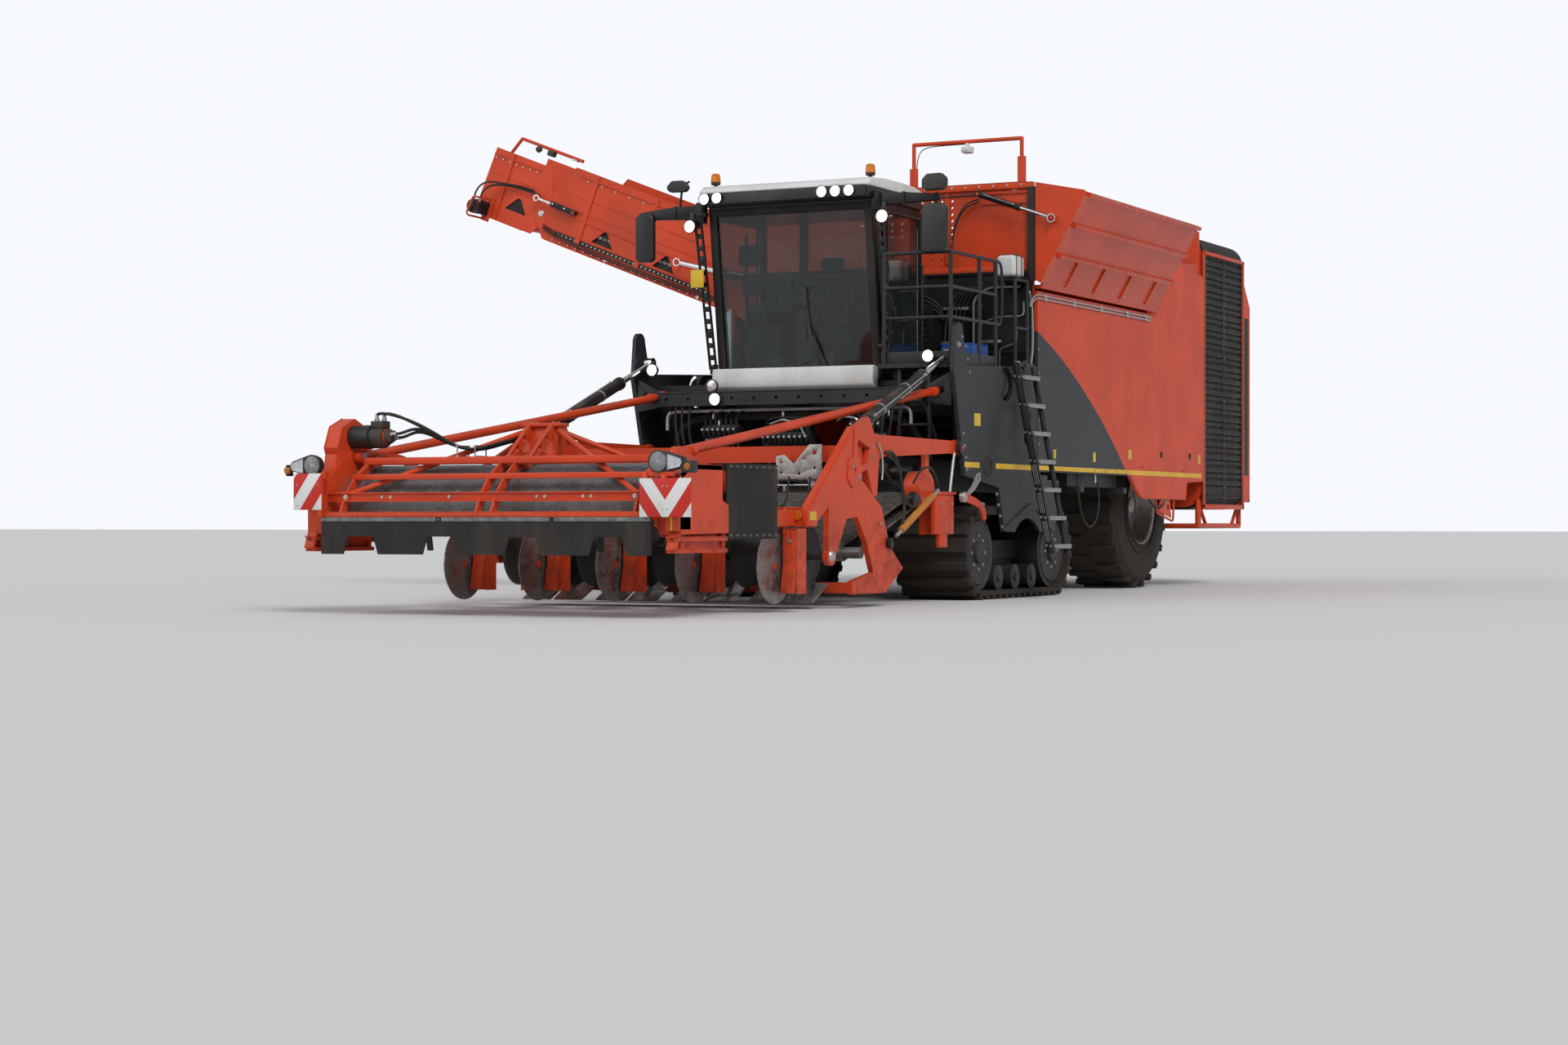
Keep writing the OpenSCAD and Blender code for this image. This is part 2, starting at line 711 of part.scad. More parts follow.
module work_lamps() color(steel) {
    // Roof lamps, lamps on the cross-beam and the beacons
    for (x = [-820, -700, 560, 700])
        pin_y(x, cab_front_top - 200, cab_front_top - 140 - seat, 3800, 110, small_fn);
    for (x = [-1010, 1010])
        pin_y(x, cab_front_top - 120, cab_front_top - 60.3, 3570, 120, small_fn);
    for (x = [-1010, 1010])
        block([x - 15, cab_front_top - 90, 3570], [x + 15, cab_front_top - 60.3, x < 0 ? 3619.7 : 3659.7]);
    for (x = [-880, 760])
        translate([x, cab_front_top + 180, cab_roof_z + 215 + seat])
            cylinder(h = 130, d = 110, $fn = small_fn);
}

rail_y = plate_y - 260;
rail_x = plate_x - 20;

module platform() color(dark) {
    // Walkway on the left of the cab
    block([cab_half + 62, rail_y + 15, walk_z - 40], [plate_x - 10, cover_y - 50, walk_z]);
    block([cab_half + 62, rail_y - 30, walk_z - 40], [push_x, rail_y + 16, walk_z]);
    for (y = [plate_y + 40, cover_y - 130])
        block([cab_half + 62, y, beam_z + beam_h + seat], [cab_half + 122, y + 80, walk_z - 39]);
    // Rails: front, side and the gate beside the ladder
    for (z = [2620, 2900, 3220])
        pipe([[cab_half + 110, rail_y, z], [rail_x, rail_y, z], [rail_x, plate_y + 820, z]], 34);
    for (p = [[cab_half + 110, rail_y], [rail_x, rail_y], [rail_x, plate_y + 420], [rail_x, plate_y + 820]])
        rod([p[0], p[1], 2190], [p[0], p[1], 3220], 38);
    for (z = [2620, 3090])
        rod([rail_x, plate_y + 1320, z], [rail_x, plate_y + 1640, z], 34);
    for (y = [plate_y + 1320, plate_y + 1640])
        rod([rail_x, y, 2190], [rail_x, y, 3090], 38);
}

module fluid_tank() color(white) {
    block([1400, cover_y - 330, 3128], [1590, cover_y - 44, 3360]);
    block([1370, cover_y - 340, 3090], [1615, cover_y - seat, 3129]);
}

// Tracks
track_r = track_wheel_r + track_band_t;
track_z = track_r + track_lug_h;
track_x0 = half_w - 50 - track_w;

module track_belt() color(black) {
    slab_x(track_x0, track_x0 + track_w)
        translate([0, track_z])
            difference() {
                polygon(toothed_loop(track_base, track_r, track_lugs, track_lug_h, 0.5));
                for (s = [-1, 1])
                    translate([s * track_base / 2, 0])
                        circle(track_wheel_r, $fn = round_fn);
                translate([-track_base / 2, -track_wheel_r])
                    square([track_base, 2 * track_wheel_r]);
            }
}

module track_belt_left() track_belt();

module track_belt_right() mirror([1, 0, 0]) track_belt();

module track_unit() {
    // Wheels inside the band, joined by the swing beam that carries them
    for (s = [-1, 1]) {
        pin_x(track_x0 + 60, track_x0 + track_w - 60, s * track_base / 2, track_z, 2 * track_wheel_r - 2 * seat);
    }
    for (y = [-430, 0, 430])
        pin_x(track_x0 + 60, track_x0 + track_w - 60, y, track_z - track_wheel_r + 120 + seat, 240, small_fn);
    block([track_x0 + 300, -track_base / 2, track_z - 70], [track_x0 + track_w - 300, track_base / 2, track_z + 110]);
    block([track_x0 + 320, -520, track_z - 250], [track_x0 + track_w - 320, 520, track_z]);
    // Hub on the cross tube
    pin_x(beam_x + beam_t + 20 + seat, track_x0 + 310, 0, 560, 200);
}

module track_frames() color(dark) {
    pair()
        track_unit();
}

// Rear axle and wheels
steer_z = tyre_r;
rim_r = 420;

module rear_axle() color(dark) {
    block([-860, axle_y - 105, steer_z - 100], [860, axle_y + 105, steer_z + 100]);
    block([-429.7, axle_y - 80, steer_z + 99], [429.7, axle_y + 80, 1160]);
    pair() {
        difference() {
            union()
                for (z = [steer_z + 90, steer_z - 180]) {
                    block([800, axle_y - 90, z], [kingpin_x, axle_y + 90, z + 90]);
                    translate([kingpin_x, axle_y, z])
                        cylinder(h = 90, r = 90, $fn = round_fn);
                }
            translate([kingpin_x, axle_y, steer_z - 190])
                cylinder(h = 380, d = 90 + 2 * fit, $fn = round_fn);
        }
    }
}

module knuckle() color(dark) {
    translate([kingpin_x, axle_y, steer_z - 185])
        cylinder(h = 370, d = 90, $fn = round_fn);
    translate([kingpin_x, axle_y, steer_z - 80])
        cylinder(h = 160, d = 160, $fn = round_fn);
    pin_x(kingpin_x, kingpin_x + 330, axle_y, steer_z, 130);
}

module knuckle_left() knuckle();

module knuckle_right() mirror([1, 0, 0]) knuckle();

wheel_x0 = kingpin_x - 255;
lug_n = 22;

module rear_wheel() color(black) {
    translate([wheel_x0, axle_y, tyre_r])
        rotate([0, 90, 0])
            difference() {
                union() {
                    rotate_extrude($fn = 72)
                        polygon([[rim_r, 30], [tyre_r - 260, 0], [tyre_r - 120, 10], [tyre_r - 45, 70], [tyre_r - 40, tyre_w - 70],
                            [tyre_r - 120, tyre_w - 10], [tyre_r - 260, tyre_w], [rim_r, tyre_w - 30]]);
                    // Tread lugs, in two staggered rows
                    for (i = [0 : lug_n - 1], s = [0, 1])
                        rotate(i * 360 / lug_n + s * 180 / lug_n)
                            translate([tyre_r - 60, -35, s * tyre_w / 2 + 30])
                                cube([52, 70, tyre_w / 2 - 60]);
                    // Wheel disc
                    translate([0, 0, tyre_w - 260])
                        cylinder(h = 30, r = rim_r + 20, $fn = round_fn);
                    translate([0, 0, tyre_w - 310])
                        cylinder(h = 130, r = 150, $fn = round_fn);
                }
                translate([0, 0, tyre_w - 400])
                    cylinder(h = kingpin_x + 330 - wheel_x0 - tyre_w + 400 + 5, d = 130 + 2 * fit, $fn = round_fn);
            }
}

module rear_wheel_left() rear_wheel();

module rear_wheel_right() mirror([1, 0, 0]) rear_wheel();

// Sieving webs, as [front roller, rear roller, half width]
web_front = [[-1800, 900], [1750, 1230], 760];
web_rear = [[1950, 1330], [5450, 1330], 380];
web_r = 75;
hanger_x = 430;

module web(spec) {
    slab_x(-spec[2], spec[2])
        belt_outline(spec[0], spec[1], web_r);
}

module sieving_webs() color(grey) {
    difference() {
        web(web_front);
        slab_x(-web_front[2] - 1, web_front[2] + 1)
            belt_outline(web_front[0], web_front[1], web_r - 25);
    }
    difference() {
        web(web_rear);
        slab_x(-web_rear[2] - 1, web_rear[2] + 1)
            belt_outline(web_rear[0], web_rear[1], web_r - 25);
    }
    // Rollers on their shafts, held by the frame
    for (p = [web_front[0], web_front[1], web_rear[0]])
        pin_x(-beam_x + seat, beam_x - seat, p[0], p[1], 2 * web_r - 50);
    pin_x(-hanger_x + seat, hanger_x - seat, web_rear[1][0], web_rear[1][1], 2 * web_r - 50);
}

// Ladder
ladder_x = half_w + 55;
ladder_top_z = 2230;

ladder_hinge_y = plate_y + 1275;
ladder_pin_d = 40;

module ladder() color(dark) {
    difference() {
        union() {
            block([ladder_x - 14, plate_y + 1050, ladder_top_z], [ladder_x + 14, plate_y + 1500, ladder_top_z + 40]);
            pin_x(ladder_x - 14, ladder_x + 14, ladder_hinge_y, ladder_top_z + 20, 90);
        }
        pin_x(ladder_x - 20, ladder_x + 20, ladder_hinge_y, ladder_top_z + 20, ladder_pin_d + 2 * fit);
    }
    for (y = [plate_y + 1060, plate_y + 1490])
        rod([ladder_x, y, ladder_top_z + 20], [ladder_x + 360, y, 430], 44);
    for (i = [0 : 6])
        let (f = 0.06 + i * 0.15, x = ladder_x + 360 * f, z = ladder_top_z - 1800 * f)
            block([x - 40, plate_y + 1060, z - 15], [x + 40, plate_y + 1490, z + 15]);
}

// Bunker wing, hinged on a line at the left of the bunker
wing_pin = [half_w + 26, wing_z + 22];
wing_tilt = 29;
wing_h = 1030;
wing_y0 = cover_y + 20;
wing_y1 = plate_y + 5220;

module bunker_wing() color(red) {
    translate([wing_pin[0], 0, wing_pin[1]])
        rotate([0, wing_tilt, 0]) {
            block([-12, wing_y0, 30], [12, wing_y1, wing_h]);
            // Ribs along the outside and the rolled top edge
            for (z = [330, 660])
                block([11, wing_y0, z], [51, wing_y1, z + 40]);
            block([-12, wing_y0, wing_h - 40], [40, wing_y1, wing_h]);
            difference() {
                union() {
                    pin_y(0, wing_y0, wing_y1, 0, 36, small_fn);
                    block([-12, wing_y0, 0], [12, wing_y1, 40]);
                }
                pin_y(0, wing_y0 - 1, wing_y1 + 1, 0, hinge_pin_d + 2 * fit, small_fn);
            }
        }
    // Front end panel, which passes ahead of the bunker's front wall
    slab_y(cover_y - 64, cover_y - 48)
        translate([wing_pin[0], wing_pin[1]])
            polygon([for (p = [[0, 40], [0, wing_h], [-14, wing_h + 10]])
                [p[0] * cos(wing_tilt) + p[1] * sin(wing_tilt), p[1] * cos(wing_tilt) - p[0] * sin(wing_tilt)],
                [-20, wing_h - 10], [-20, 60]]);
    translate([wing_pin[0], 0, wing_pin[1]])
        rotate([0, wing_tilt, 0])
            block([-12, cover_y - 64, 40], [12, wing_y0 + 1, wing_h]);
    // Lug for the wing's cylinder
    pin_y(wing_eye[0], wing_cyl_y - 30, cover_y - 63, wing_eye[1], wing_pin_d, small_fn);
}

wing_eye = [1895, 3700];
wing_anchor = [1120, 3975];
wing_cyl_y = cover_y - 110;

// Pins of the cylinders that lie across the machine: wing, elevator lift and knee
wing_pin_d = 30;
elev_pin_d = 40;
knee_pin_d = 28;

// A cylinder's barrel and rod in a plane across the machine: from anchor towards eye
module barrel_y(anchor, eye, y, d, share, hole) {
    v = eye - anchor;
    u = v / norm(v);
    e = anchor + v * share;
    difference() {
        union() {
            pin_y(anchor[0], y - d * 0.45, y + d * 0.45, anchor[1], hole + 32, small_fn);
            rod([anchor[0], y, anchor[1]], [e[0], y, e[1]], d);
        }
        pin_y(anchor[0], y - d, y + d, anchor[1], hole + 2 * fit, small_fn);
        rod([anchor[0] + u[0] * d, y, anchor[1] + u[1] * d], [e[0] + u[0], y, e[1] + u[1]], d * 0.6 + 1);
    }
}

module rod_y(anchor, eye, y, d, share, hole, play) {
    v = eye - anchor;
    s = anchor + v * share;
    difference() {
        union() {
            rod([s[0], y, s[1]], [eye[0], y, eye[1]], d * 0.6);
            pin_y(eye[0], y - d * 0.4, y + d * 0.4, eye[1], hole + play + 24, small_fn);
        }
        pin_y(eye[0], y - d, y + d, eye[1], hole + play, small_fn);
    }
}

module wing_barrel() color(dark) barrel_y(wing_anchor, wing_eye, wing_cyl_y, 60, 0.56, wing_pin_d);

module wing_rod() color(steel) rod_y(wing_anchor, wing_eye, wing_cyl_y, 60, 0.46, wing_pin_d, wing_play);

// Unloading elevator, drawn with its pivot at the origin, running towards -X
elev_pivot = [-1830, 3010];
elev_pivot_d = 60;
elev_y0 = cover_y + 60;
elev_y1 = elev_y0 + elev_w;
knee = [-elev_inner_l - 20, 190];
elev_t = 10;

module elevator_place() {
    translate([elev_pivot[0], 0, elev_pivot[1]])
        rotate([0, elev_slope, 0])
            children();
}

window_w = 280;
wall_rib = [60, 14];

// A side wall with three-cornered windows along the belt, at these places along the section
module trough_wall(y0, outline, windows) {
    slab_y(y0, y0 + elev_t)
        difference() {
            polygon(outline);
            for (u = windows)
                translate([u, 100])
                    polygon([[-window_w / 2, 0], [window_w / 2, 0], [20, 150], [-20, 150]]);
        }
}

// Upright ribs on a wall's outer face, at these places along the section
module wall_ribs(y0, y1, top, places) {
    for (u = places)
        block([u - wall_rib[0] / 2, y0, -50], [u + wall_rib[0] / 2, y1, top]);
}

inner_windows = [-800, -1600];
inner_ribs = [-1120, -1900];

module elevator_inner() color(red) {
    elevator_place() {
        for (y = [elev_y0, elev_y1 - elev_t])
            trough_wall(y, [[90, -60], [-elev_inner_l + 80, -60], [knee[0] - 60, knee[1] - 50], [knee[0] - 60, knee[1] + 40],
                [knee[0] + 20, knee[1] + 110], [-elev_inner_l + 230, elev_depth - 60], [90, elev_depth - 60]],
                inner_windows);
        wall_ribs(elev_y0 - wall_rib[1], elev_y0 + 1, elev_depth - 70, inner_ribs);
        wall_ribs(elev_y1 - 1, elev_y1 + wall_rib[1], elev_depth - 70, inner_ribs);
        // Belt with its flights
        slab_y(elev_y0 + 30, elev_y1 - 30)
            difference() {
                union() {
                    belt_outline([20, 20], [-elev_inner_l + 230, 20], 60);
                    for (x = [-elev_inner_l + 300 : 300 : -100])
                        translate([x, 79])
                            square([12, 70]);
                }
                belt_outline([20, 20], [-elev_inner_l + 230, 20], 48);
            }
        for (x = [20, -elev_inner_l + 230])
            pin_y(x, elev_y0 + 5, elev_y1 - 5, 20, 96);
        // Cross tubes under the belt and above its mouth
        for (x = [-300, -1500])
            pin_y(x, elev_y0 + 5, elev_y1 - 5, -30, 50, small_fn);
        // Knee pins, inside the two walls
        for (y = [elev_y0 + 5, elev_y1 - elev_t - 22])
            pin_y(knee[0], y, y + 27, knee[1], 50);
    }
    // Pivot pins into the bunker's gap
    for (y = [elev_y0 - gap - ear_t, elev_y1 - elev_t + 1])
        pin_y(elev_pivot[0], y, y + gap + ear_t + elev_t - 1, elev_pivot[1], elev_pivot_d);
    // Pins of the lift and knee cylinders
    pin_y(elev_eye[0], elev_cyl_y - 45, elev_y0 + 1, elev_eye[1], elev_pin_d, small_fn);
    pin_y(knee_anchor[0], knee_cyl_y - 32, elev_y0 + 1, knee_anchor[1], knee_pin_d, small_fn);
}

tip_rib = -elev_inner_l - elev_outer_l + 240;
hoop_d = 36;
hoop_y = elev_y0 + 2 * elev_t + gap + hoop_d / 2 - 4;

module elevator_outer() color(red) {
    elevator_place() {
        difference() {
            for (y = [elev_y0 + elev_t + gap, elev_y1 - 2 * elev_t - gap])
                trough_wall(y, [[knee[0] + 80, knee[1] - 40], [-elev_inner_l - 90, -60], [-elev_inner_l - elev_outer_l, -60],
                    [-elev_inner_l - elev_outer_l - 20, 40], [-elev_inner_l - elev_outer_l + 10, elev_depth - 160],
                    [-elev_inner_l - 60, elev_depth - 160], [knee[0] + 80, knee[1] + 120]], [tip_rib + 240]);
            pin_y(knee[0], elev_y0, elev_y1, knee[1], 50 + 2 * fit);
        }
        wall_ribs(elev_y0 + elev_t + gap - wall_rib[1], elev_y0 + elev_t + gap + 1, elev_depth - 170, [tip_rib]);
        wall_ribs(elev_y1 - elev_t - gap - 1, elev_y1 - elev_t - gap + wall_rib[1], elev_depth - 170, [tip_rib]);
        slab_y(elev_y0 + 40, elev_y1 - 40)
            difference() {
                belt_outline([-elev_inner_l - 110, 20], [-elev_inner_l - elev_outer_l + 80, 20], 60);
                belt_outline([-elev_inner_l - 110, 20], [-elev_inner_l - elev_outer_l + 80, 20], 48);
            }
        for (x = [-elev_inner_l - 110, -elev_inner_l - elev_outer_l + 80])
            pin_y(x, elev_y0 + 20, elev_y1 - 20, 20, 96);
        // Drive motor and its guard at the tip
        pin_y(-elev_inner_l - elev_outer_l + 80, elev_y0 - 210, elev_y0 + 20, 20, 150);
        // Camera hoop
        pipe([[-elev_inner_l - 640, hoop_y, elev_depth - 170], [-elev_inner_l - 560, hoop_y, elev_depth + 20],
            [-elev_inner_l + 260, hoop_y, elev_depth + 20]], hoop_d);
    }
    // Pin of the knee cylinder
    pin_y(knee_eye[0], knee_cyl_y - 32, elev_y0 + elev_t + gap + 1, knee_eye[1], knee_pin_d, small_fn);
}

elev_cyl_y = cover_y - 62;
elev_eye = [-2290, 3450];
elev_anchor = [-900, 3110];
// The eye in the elevator's own tilted frame
elev_eye_u = let (d = elev_eye - elev_pivot)
    [d[0] * cos(elev_slope) - d[1] * sin(elev_slope), d[0] * sin(elev_slope) + d[1] * cos(elev_slope)];

module elevator_barrel() color(dark) barrel_y(elev_anchor, elev_eye, elev_cyl_y, 90, 0.62, elev_pin_d);

module elevator_rod() color(steel) rod_y(elev_anchor, elev_eye, elev_cyl_y, 90, 0.35, elev_pin_d, elev_play);

knee_anchor = [-3600, 4040];
knee_eye = [-4060, 4225];
knee_cyl_y = elev_y0 - 50;

module knee_barrel() color(dark) barrel_y(knee_anchor, knee_eye, knee_cyl_y, 60, 0.6, knee_pin_d);

module knee_rod() color(steel) rod_y(knee_anchor, knee_eye, knee_cyl_y, 60, 0.35, knee_pin_d, knee_play);

// Digging unit
module digger_side_outline() {
    difference() {
        union() {
            // Tapered rear arm, from the plate's eye to the pivot
            polygon([[digger_y - 40, digger_z - 50], [digger_y - 40, digger_z + 60], [-3400, 1490], [-3490, 1620],
                [-3600, 1620], [-3790, 1545], [-3850, 1120], [-3560, 1180], [-3230, 1300]]);
            translate([digger_y, digger_z])
                circle(75, $fn = round_fn);
            translate(lift_eye)
                circle(75, $fn = round_fn);
            translate([roller_y, roller_z])
                circle(80, $fn = round_fn);
            // Finger that reaches down
            polygon([[-3560, 1200], [-3430, 960], [-3350, 960], [-3300, 1290]]);
            // Arm that reaches forwards and down to the front beam
            polygon([[-3850, 1545], [-4790, 800], [-4790, 690], [-4600, 690], [-3850, 1130]]);
            // Leg and arc down to the share beam
            polygon([[-4300, 1000], [-4320, 440], [-4180, 440], [-3960, 760], [-3750, 780], [-3560, 560],
                [-3420, 300], [-3850, 230], [-3850, 120], [-3180, 120], [-2800, 330], [-3080, 520],
                [-3250, 860], [-3700, 1120], [-3850, 1180]]);
        }
        polygon([[-3730, 1440], [-3500, 1370], [-3560, 1230], [-3760, 1200]]);
        translate([roller_y, roller_z])
            circle(d = 70 + 2 * fit, $fn = round_fn);
    }
}

module digger_frame() color(red) {
    pair() {
        difference() {
            slab_x(arm_x, arm_x + arm_t)
                digger_side_outline();
        }
        pin_x(arm_x + 1, half_w - 2, digger_y, digger_z, pin_d);
        // Pin of the lift cylinder's lower eye
        pin_x(lift_x - 34, arm_x + 1, lift_eye[0], lift_eye[1], pin_d);
        // Chain guard and tension block of the web drive
        pin_x(drive_x, arm_x + 1, -2160, 1030, 330);
        block([drive_x + 20, -2020, 620], [arm_x - 10, -1700, 980]);
        block([arm_x - 40, -2020, 900], [arm_x + 1, -1760, 1000]);
        // Hanger of the chain guard
        block([arm_x - 40, -2200, 1150], [arm_x + 1, -2120, 1420]);
    }
    // Front beam, middle beam and share beam
    block([-half_w + 10, -4790, 700], [half_w - 10, -4640, 850]);
    block([-arm_x - 1, -3680, 1250], [arm_x + 1, -3540, 1390]);
    block([-arm_x - 1, -3860, 130], [arm_x + 1, -3760, 220]);
    // Lower links to the topper, beside its end plates
    pair()
        difference() {
            slab_x(link_x, link_x + 50)
                union() {
                    polygon([[-4650, 705], [-4650, 845], [topper_pivot[0], topper_pivot[1] + 50],
                        [topper_pivot[0], topper_pivot[1] - 50]]);
                    translate(topper_pivot)
                        circle(60, $fn = round_fn);
                }
            pin_x(link_x - 1, link_x + 51, topper_pivot[0], topper_pivot[1], pin_d + 2 * fit);
        }
}

disc_y = -5050;
disc_z = 380;
shield_x0 = 60;
shield_x1 = 190;
shield_t = 10;

module coulter_arms() color(red) {
    for (f = furrows)
        translate([f * ridge_pitch * 0.995, 0, 0]) {
            slab_x(-14, 14)
                polygon([[-4790.3, 690], [-4790.3, 850], [-5180, 620], [disc_y - 60, 440], [disc_y - 60, 330],
                    [disc_y + 60, 330], [-4900, 480]]);
            // Box-shaped shield beside the disc, open to the front, and its bracket
            difference() {
                block([shield_x0, -4970, 150], [shield_x1, -4800, 680]);
                block([shield_x0 + shield_t, -4971, 149], [shield_x1 - shield_t, -4800 - shield_t, 681]);
            }
            block([0, -4840, 640], [shield_x0 + 1, -4810, 680]);
            pin_x(13, 34, disc_y, disc_z, 60 - 2 * fit);
        }
}

module coulter_discs() color(steel) {
    for (f = furrows)
        translate([f * ridge_pitch * 0.995, 0, 0])
            difference() {
                pin_x(20, 30, disc_y, disc_z, 2 * disc_r);
                pin_x(19, 31, disc_y, disc_z, 60);
            }
}

roller_y = -4250;
roller_z = 450;

module ridge_rollers() color(dark) {
    translate([0, roller_y, roller_z])
        rotate([0, 90, 0]) {
            for (k = rows)
                translate([0, 0, k * ridge_pitch - 290])
                    rotate_extrude($fn = round_fn)
                        polygon([[0, 0], [roller_r, 0], [roller_r, 30], [170, 290], [roller_r, 550], [roller_r, 580], [0, 580]]);
            translate([0, 0, -arm_x - arm_t])
                cylinder(h = 2 * (arm_x + arm_t), d = 70, $fn = round_fn);
        }
}

module digging_shares() color(steel) {
    for (k = rows, s = [-1, 1])
        translate([k * ridge_pitch, 0, 0])
            slab_x(s > 0 ? 20 : -300, s > 0 ? 300 : -20)
                polygon([[-4180, 60], [-3860 - seat, 215], [-3860 - seat, 190], [-4160, 50]]);
}

dig_web_a = [-3560, 470];
dig_web_b = [-2080, 930];
drive_x = 1440;

module digging_webs() color(grey) {
    for (x = [-1430, 50])
        difference() {
            slab_x(x, x + 1380)
                belt_outline(dig_web_a, dig_web_b, web_r);
            slab_x(x - 1, x + 1381)
                belt_outline(dig_web_a, dig_web_b, web_r - 25);
        }
    pin_x(-arm_x + seat, arm_x - seat, dig_web_a[0], dig_web_a[1], 2 * web_r - 50);
    pin_x(-drive_x + seat, drive_x - seat, dig_web_b[0], dig_web_b[1], 2 * web_r - 50);
}

// Lift cylinders, in planes along the machine: the rod hangs on the tower and the barrel on the arm
lift_rod_d = 56;
lift_neck_d = 46;
lift_neck_l = 150;

module lift_line(from, to, d) {
    v = lift_eye - lift_top;
    a = lift_top + v * from;
    b = lift_top + v * to;
    rod([lift_x, a[0], a[1]], [lift_x, b[0], b[1]], d);
}

module lift_rods() color(steel) {
    pair()
        difference() {
            union() {
                lift_line(0, 0.62, lift_rod_d);
                pin_x(lift_x - 38, lift_x + 38, lift_top[0], lift_top[1], 110);
            }
            pin_x(lift_x - 60, lift_x + 60, lift_top[0], lift_top[1], pin_d + 2 * fit);
        }
}

module lift_barrels() color(dark) {
    long = norm(lift_eye - lift_top);
    pair()
        difference() {
            union() {
                lift_line(0.3, 1 - lift_neck_l / long, lift_d);
                lift_line(1 - (lift_neck_l + 10) / long, 1, lift_neck_d);
                pin_x(lift_x - 26, lift_x + 26, lift_eye[0], lift_eye[1], pin_d + lift_play + 30);
            }
            lift_line(0.299, 1 - (lift_neck_l + 20) / long, lift_rod_d + 1);
            pin_x(lift_x - 60, lift_x + 60, lift_eye[0], lift_eye[1], pin_d + lift_play);
        }
}

module push_tubes() color(red) {
    pair()
        difference() {
            union() {
                rod([push_x, push_rear[0], push_rear[1]], [push_x, push_front[0], push_front[1]], push_d);
                pin_x(push_x - 40, push_x + 40, push_rear[0], push_rear[1], 100);
                pin_x(push_x - 30, push_x + 30, push_front[0], push_front[1], 100);
            }
            pin_x(push_x - 50, push_x + 50, push_rear[0], push_rear[1], pin_d + 2 * fit);
            pin_x(push_x - 50, push_x + 50, push_front[0], push_front[1], pin_d + 2 * fit);
        }
}

// Topper
rotor_y = -6400;
hood_r = 390;
rib_centre = [-6300, 500];
rib_r = 790;

module hood_arc(r) {
    translate([rotor_y, rotor_z])
        circle(r, $fn = 72);
}

module topper_hood() color(grey) {
    slab_x(-hood_half, hood_half)
        intersection() {
            difference() {
                hood_arc(hood_r);
                hood_arc(hood_r - hood_t);
            }
            translate([rotor_y - 700, rotor_z])
                square([1400, 600]);
        }
}

module topper_frame() color(red) {
    // End plates that carry the hood and the rotor
    for (s = [-1, 1])
        difference() {
            slab_x(s > 0 ? hood_half + seat : -hood_half - seat - 14, s > 0 ? hood_half + seat + 14 : -hood_half - seat)
                polygon([[-7020, 760], [-6960, 1080], [-6640, 1310], [-6520, 1310], [-6200, 1190], [-5500, 1050],
                    [-5500, 620], [-6900, 620]]);
            pin_x(s > 0 ? hood_half : -hood_half - 20, s > 0 ? hood_half + 20 : -hood_half, rotor_y, rotor_z, 70 + 2 * fit);
        }
    // Bars along the front and over the hood
    block([-hood_half - 2, -7040, 745], [hood_half + 2, -6990, 800]);
    block([-hood_half - 2, -6960, 900], [hood_half + 2, -6900, 960]);
    block([-1360, -6660, 1189], [1360, -6600, 1240]);
    block([-hood_half - 2, -5640, 900], [hood_half + 2, -5520, 1010]);
    // Curved ribs over the hood
    for (x = [-1340, -70, 70, 1340])
        slab_x(x - 9, x + 9)
            intersection() {
                difference() {
                    translate(rib_centre)
                        circle(rib_r, $fn = 72);
                    translate(rib_centre)
                        circle(rib_r - 70, $fn = 72);
                }
                translate([rib_centre[0] - rib_r, 785])
                    square([2 * rib_r, rib_r]);
            }
    // Top bracket and the slanted tubes to it
    slab_x(-160, 160)
        polygon([[-6250, 1200], [-6150, 1500], [-6050, 1500], [-5800, 1150]]);
    for (s = [-1, 1]) {
        rod([s * 1320, -6938, 951], [s * 120, -6130, 1475], 44);
        rod([s * 1330, -5585, 950], [s * 120, -6085, 1462], 44);
    }
    // Pins of the lower links and the push tubes
    pair() {
        pin_x(hood_half + 14, hood_half + 91, topper_pivot[0], topper_pivot[1], pin_d);
        pin_x(push_x - 34, hood_half + 1, push_front[0], push_front[1], pin_d);
        // Guard box outside the link, on its front bracket
        block([hood_half + 14, -6960, 640], [hood_half + 91, -6760, 1080]);
        slab_x(hood_half + 90, half_w)
            polygon([[-6960, 640], [-6960, 1090], [-6800, 1170], [-6290, 1170], [-6290, 900], [-6190, 860],
                [-6190, 650]]);
        // Skid rails under the guard box
        for (z = [500, 590])
            block([hood_half + 100, -7000, z], [half_w - 10, -6190, z + 30]);
        for (y = [-6900, -6240])
            block([hood_half + 120, y, 510], [half_w - 30, y + 40, 651]);
    }
    // Drive box on the right end
    slab_x(-hood_half - 140, -hood_half - seat - 13)
        translate([push_front[0], 1330])
            circle(240, $fn = 8);
    // Drive motor, above the push tube's pin
    pin_x(-hood_half - 20, -hood_half + 320, push_front[0] - 20, 1420, 130, small_fn);
}

module topper_rubber() color(black) {
    // Front flap, with a cut-out over each ridge
    slab_y(-7054, -7040 - seat)
        difference() {
            translate([-hood_half, 480])
                square([2 * hood_half, 290]);
            for (k = rows)
                translate([k * ridge_pitch, 0])
                    polygon([[-170, 470], [-120, 620], [120, 620], [170, 470]]);
        }
    // Side panel behind the left guard
    block([half_w - 30, -6180, 600], [half_w - 18, -5320, 1190]);
    block([hood_half + 14 + 2 * seat, -5560, 900], [half_w - 29, -5520, 960]);
    block([hood_half + 14 + 2 * seat, -6120, 900], [half_w - 29, -6080, 960]);
}

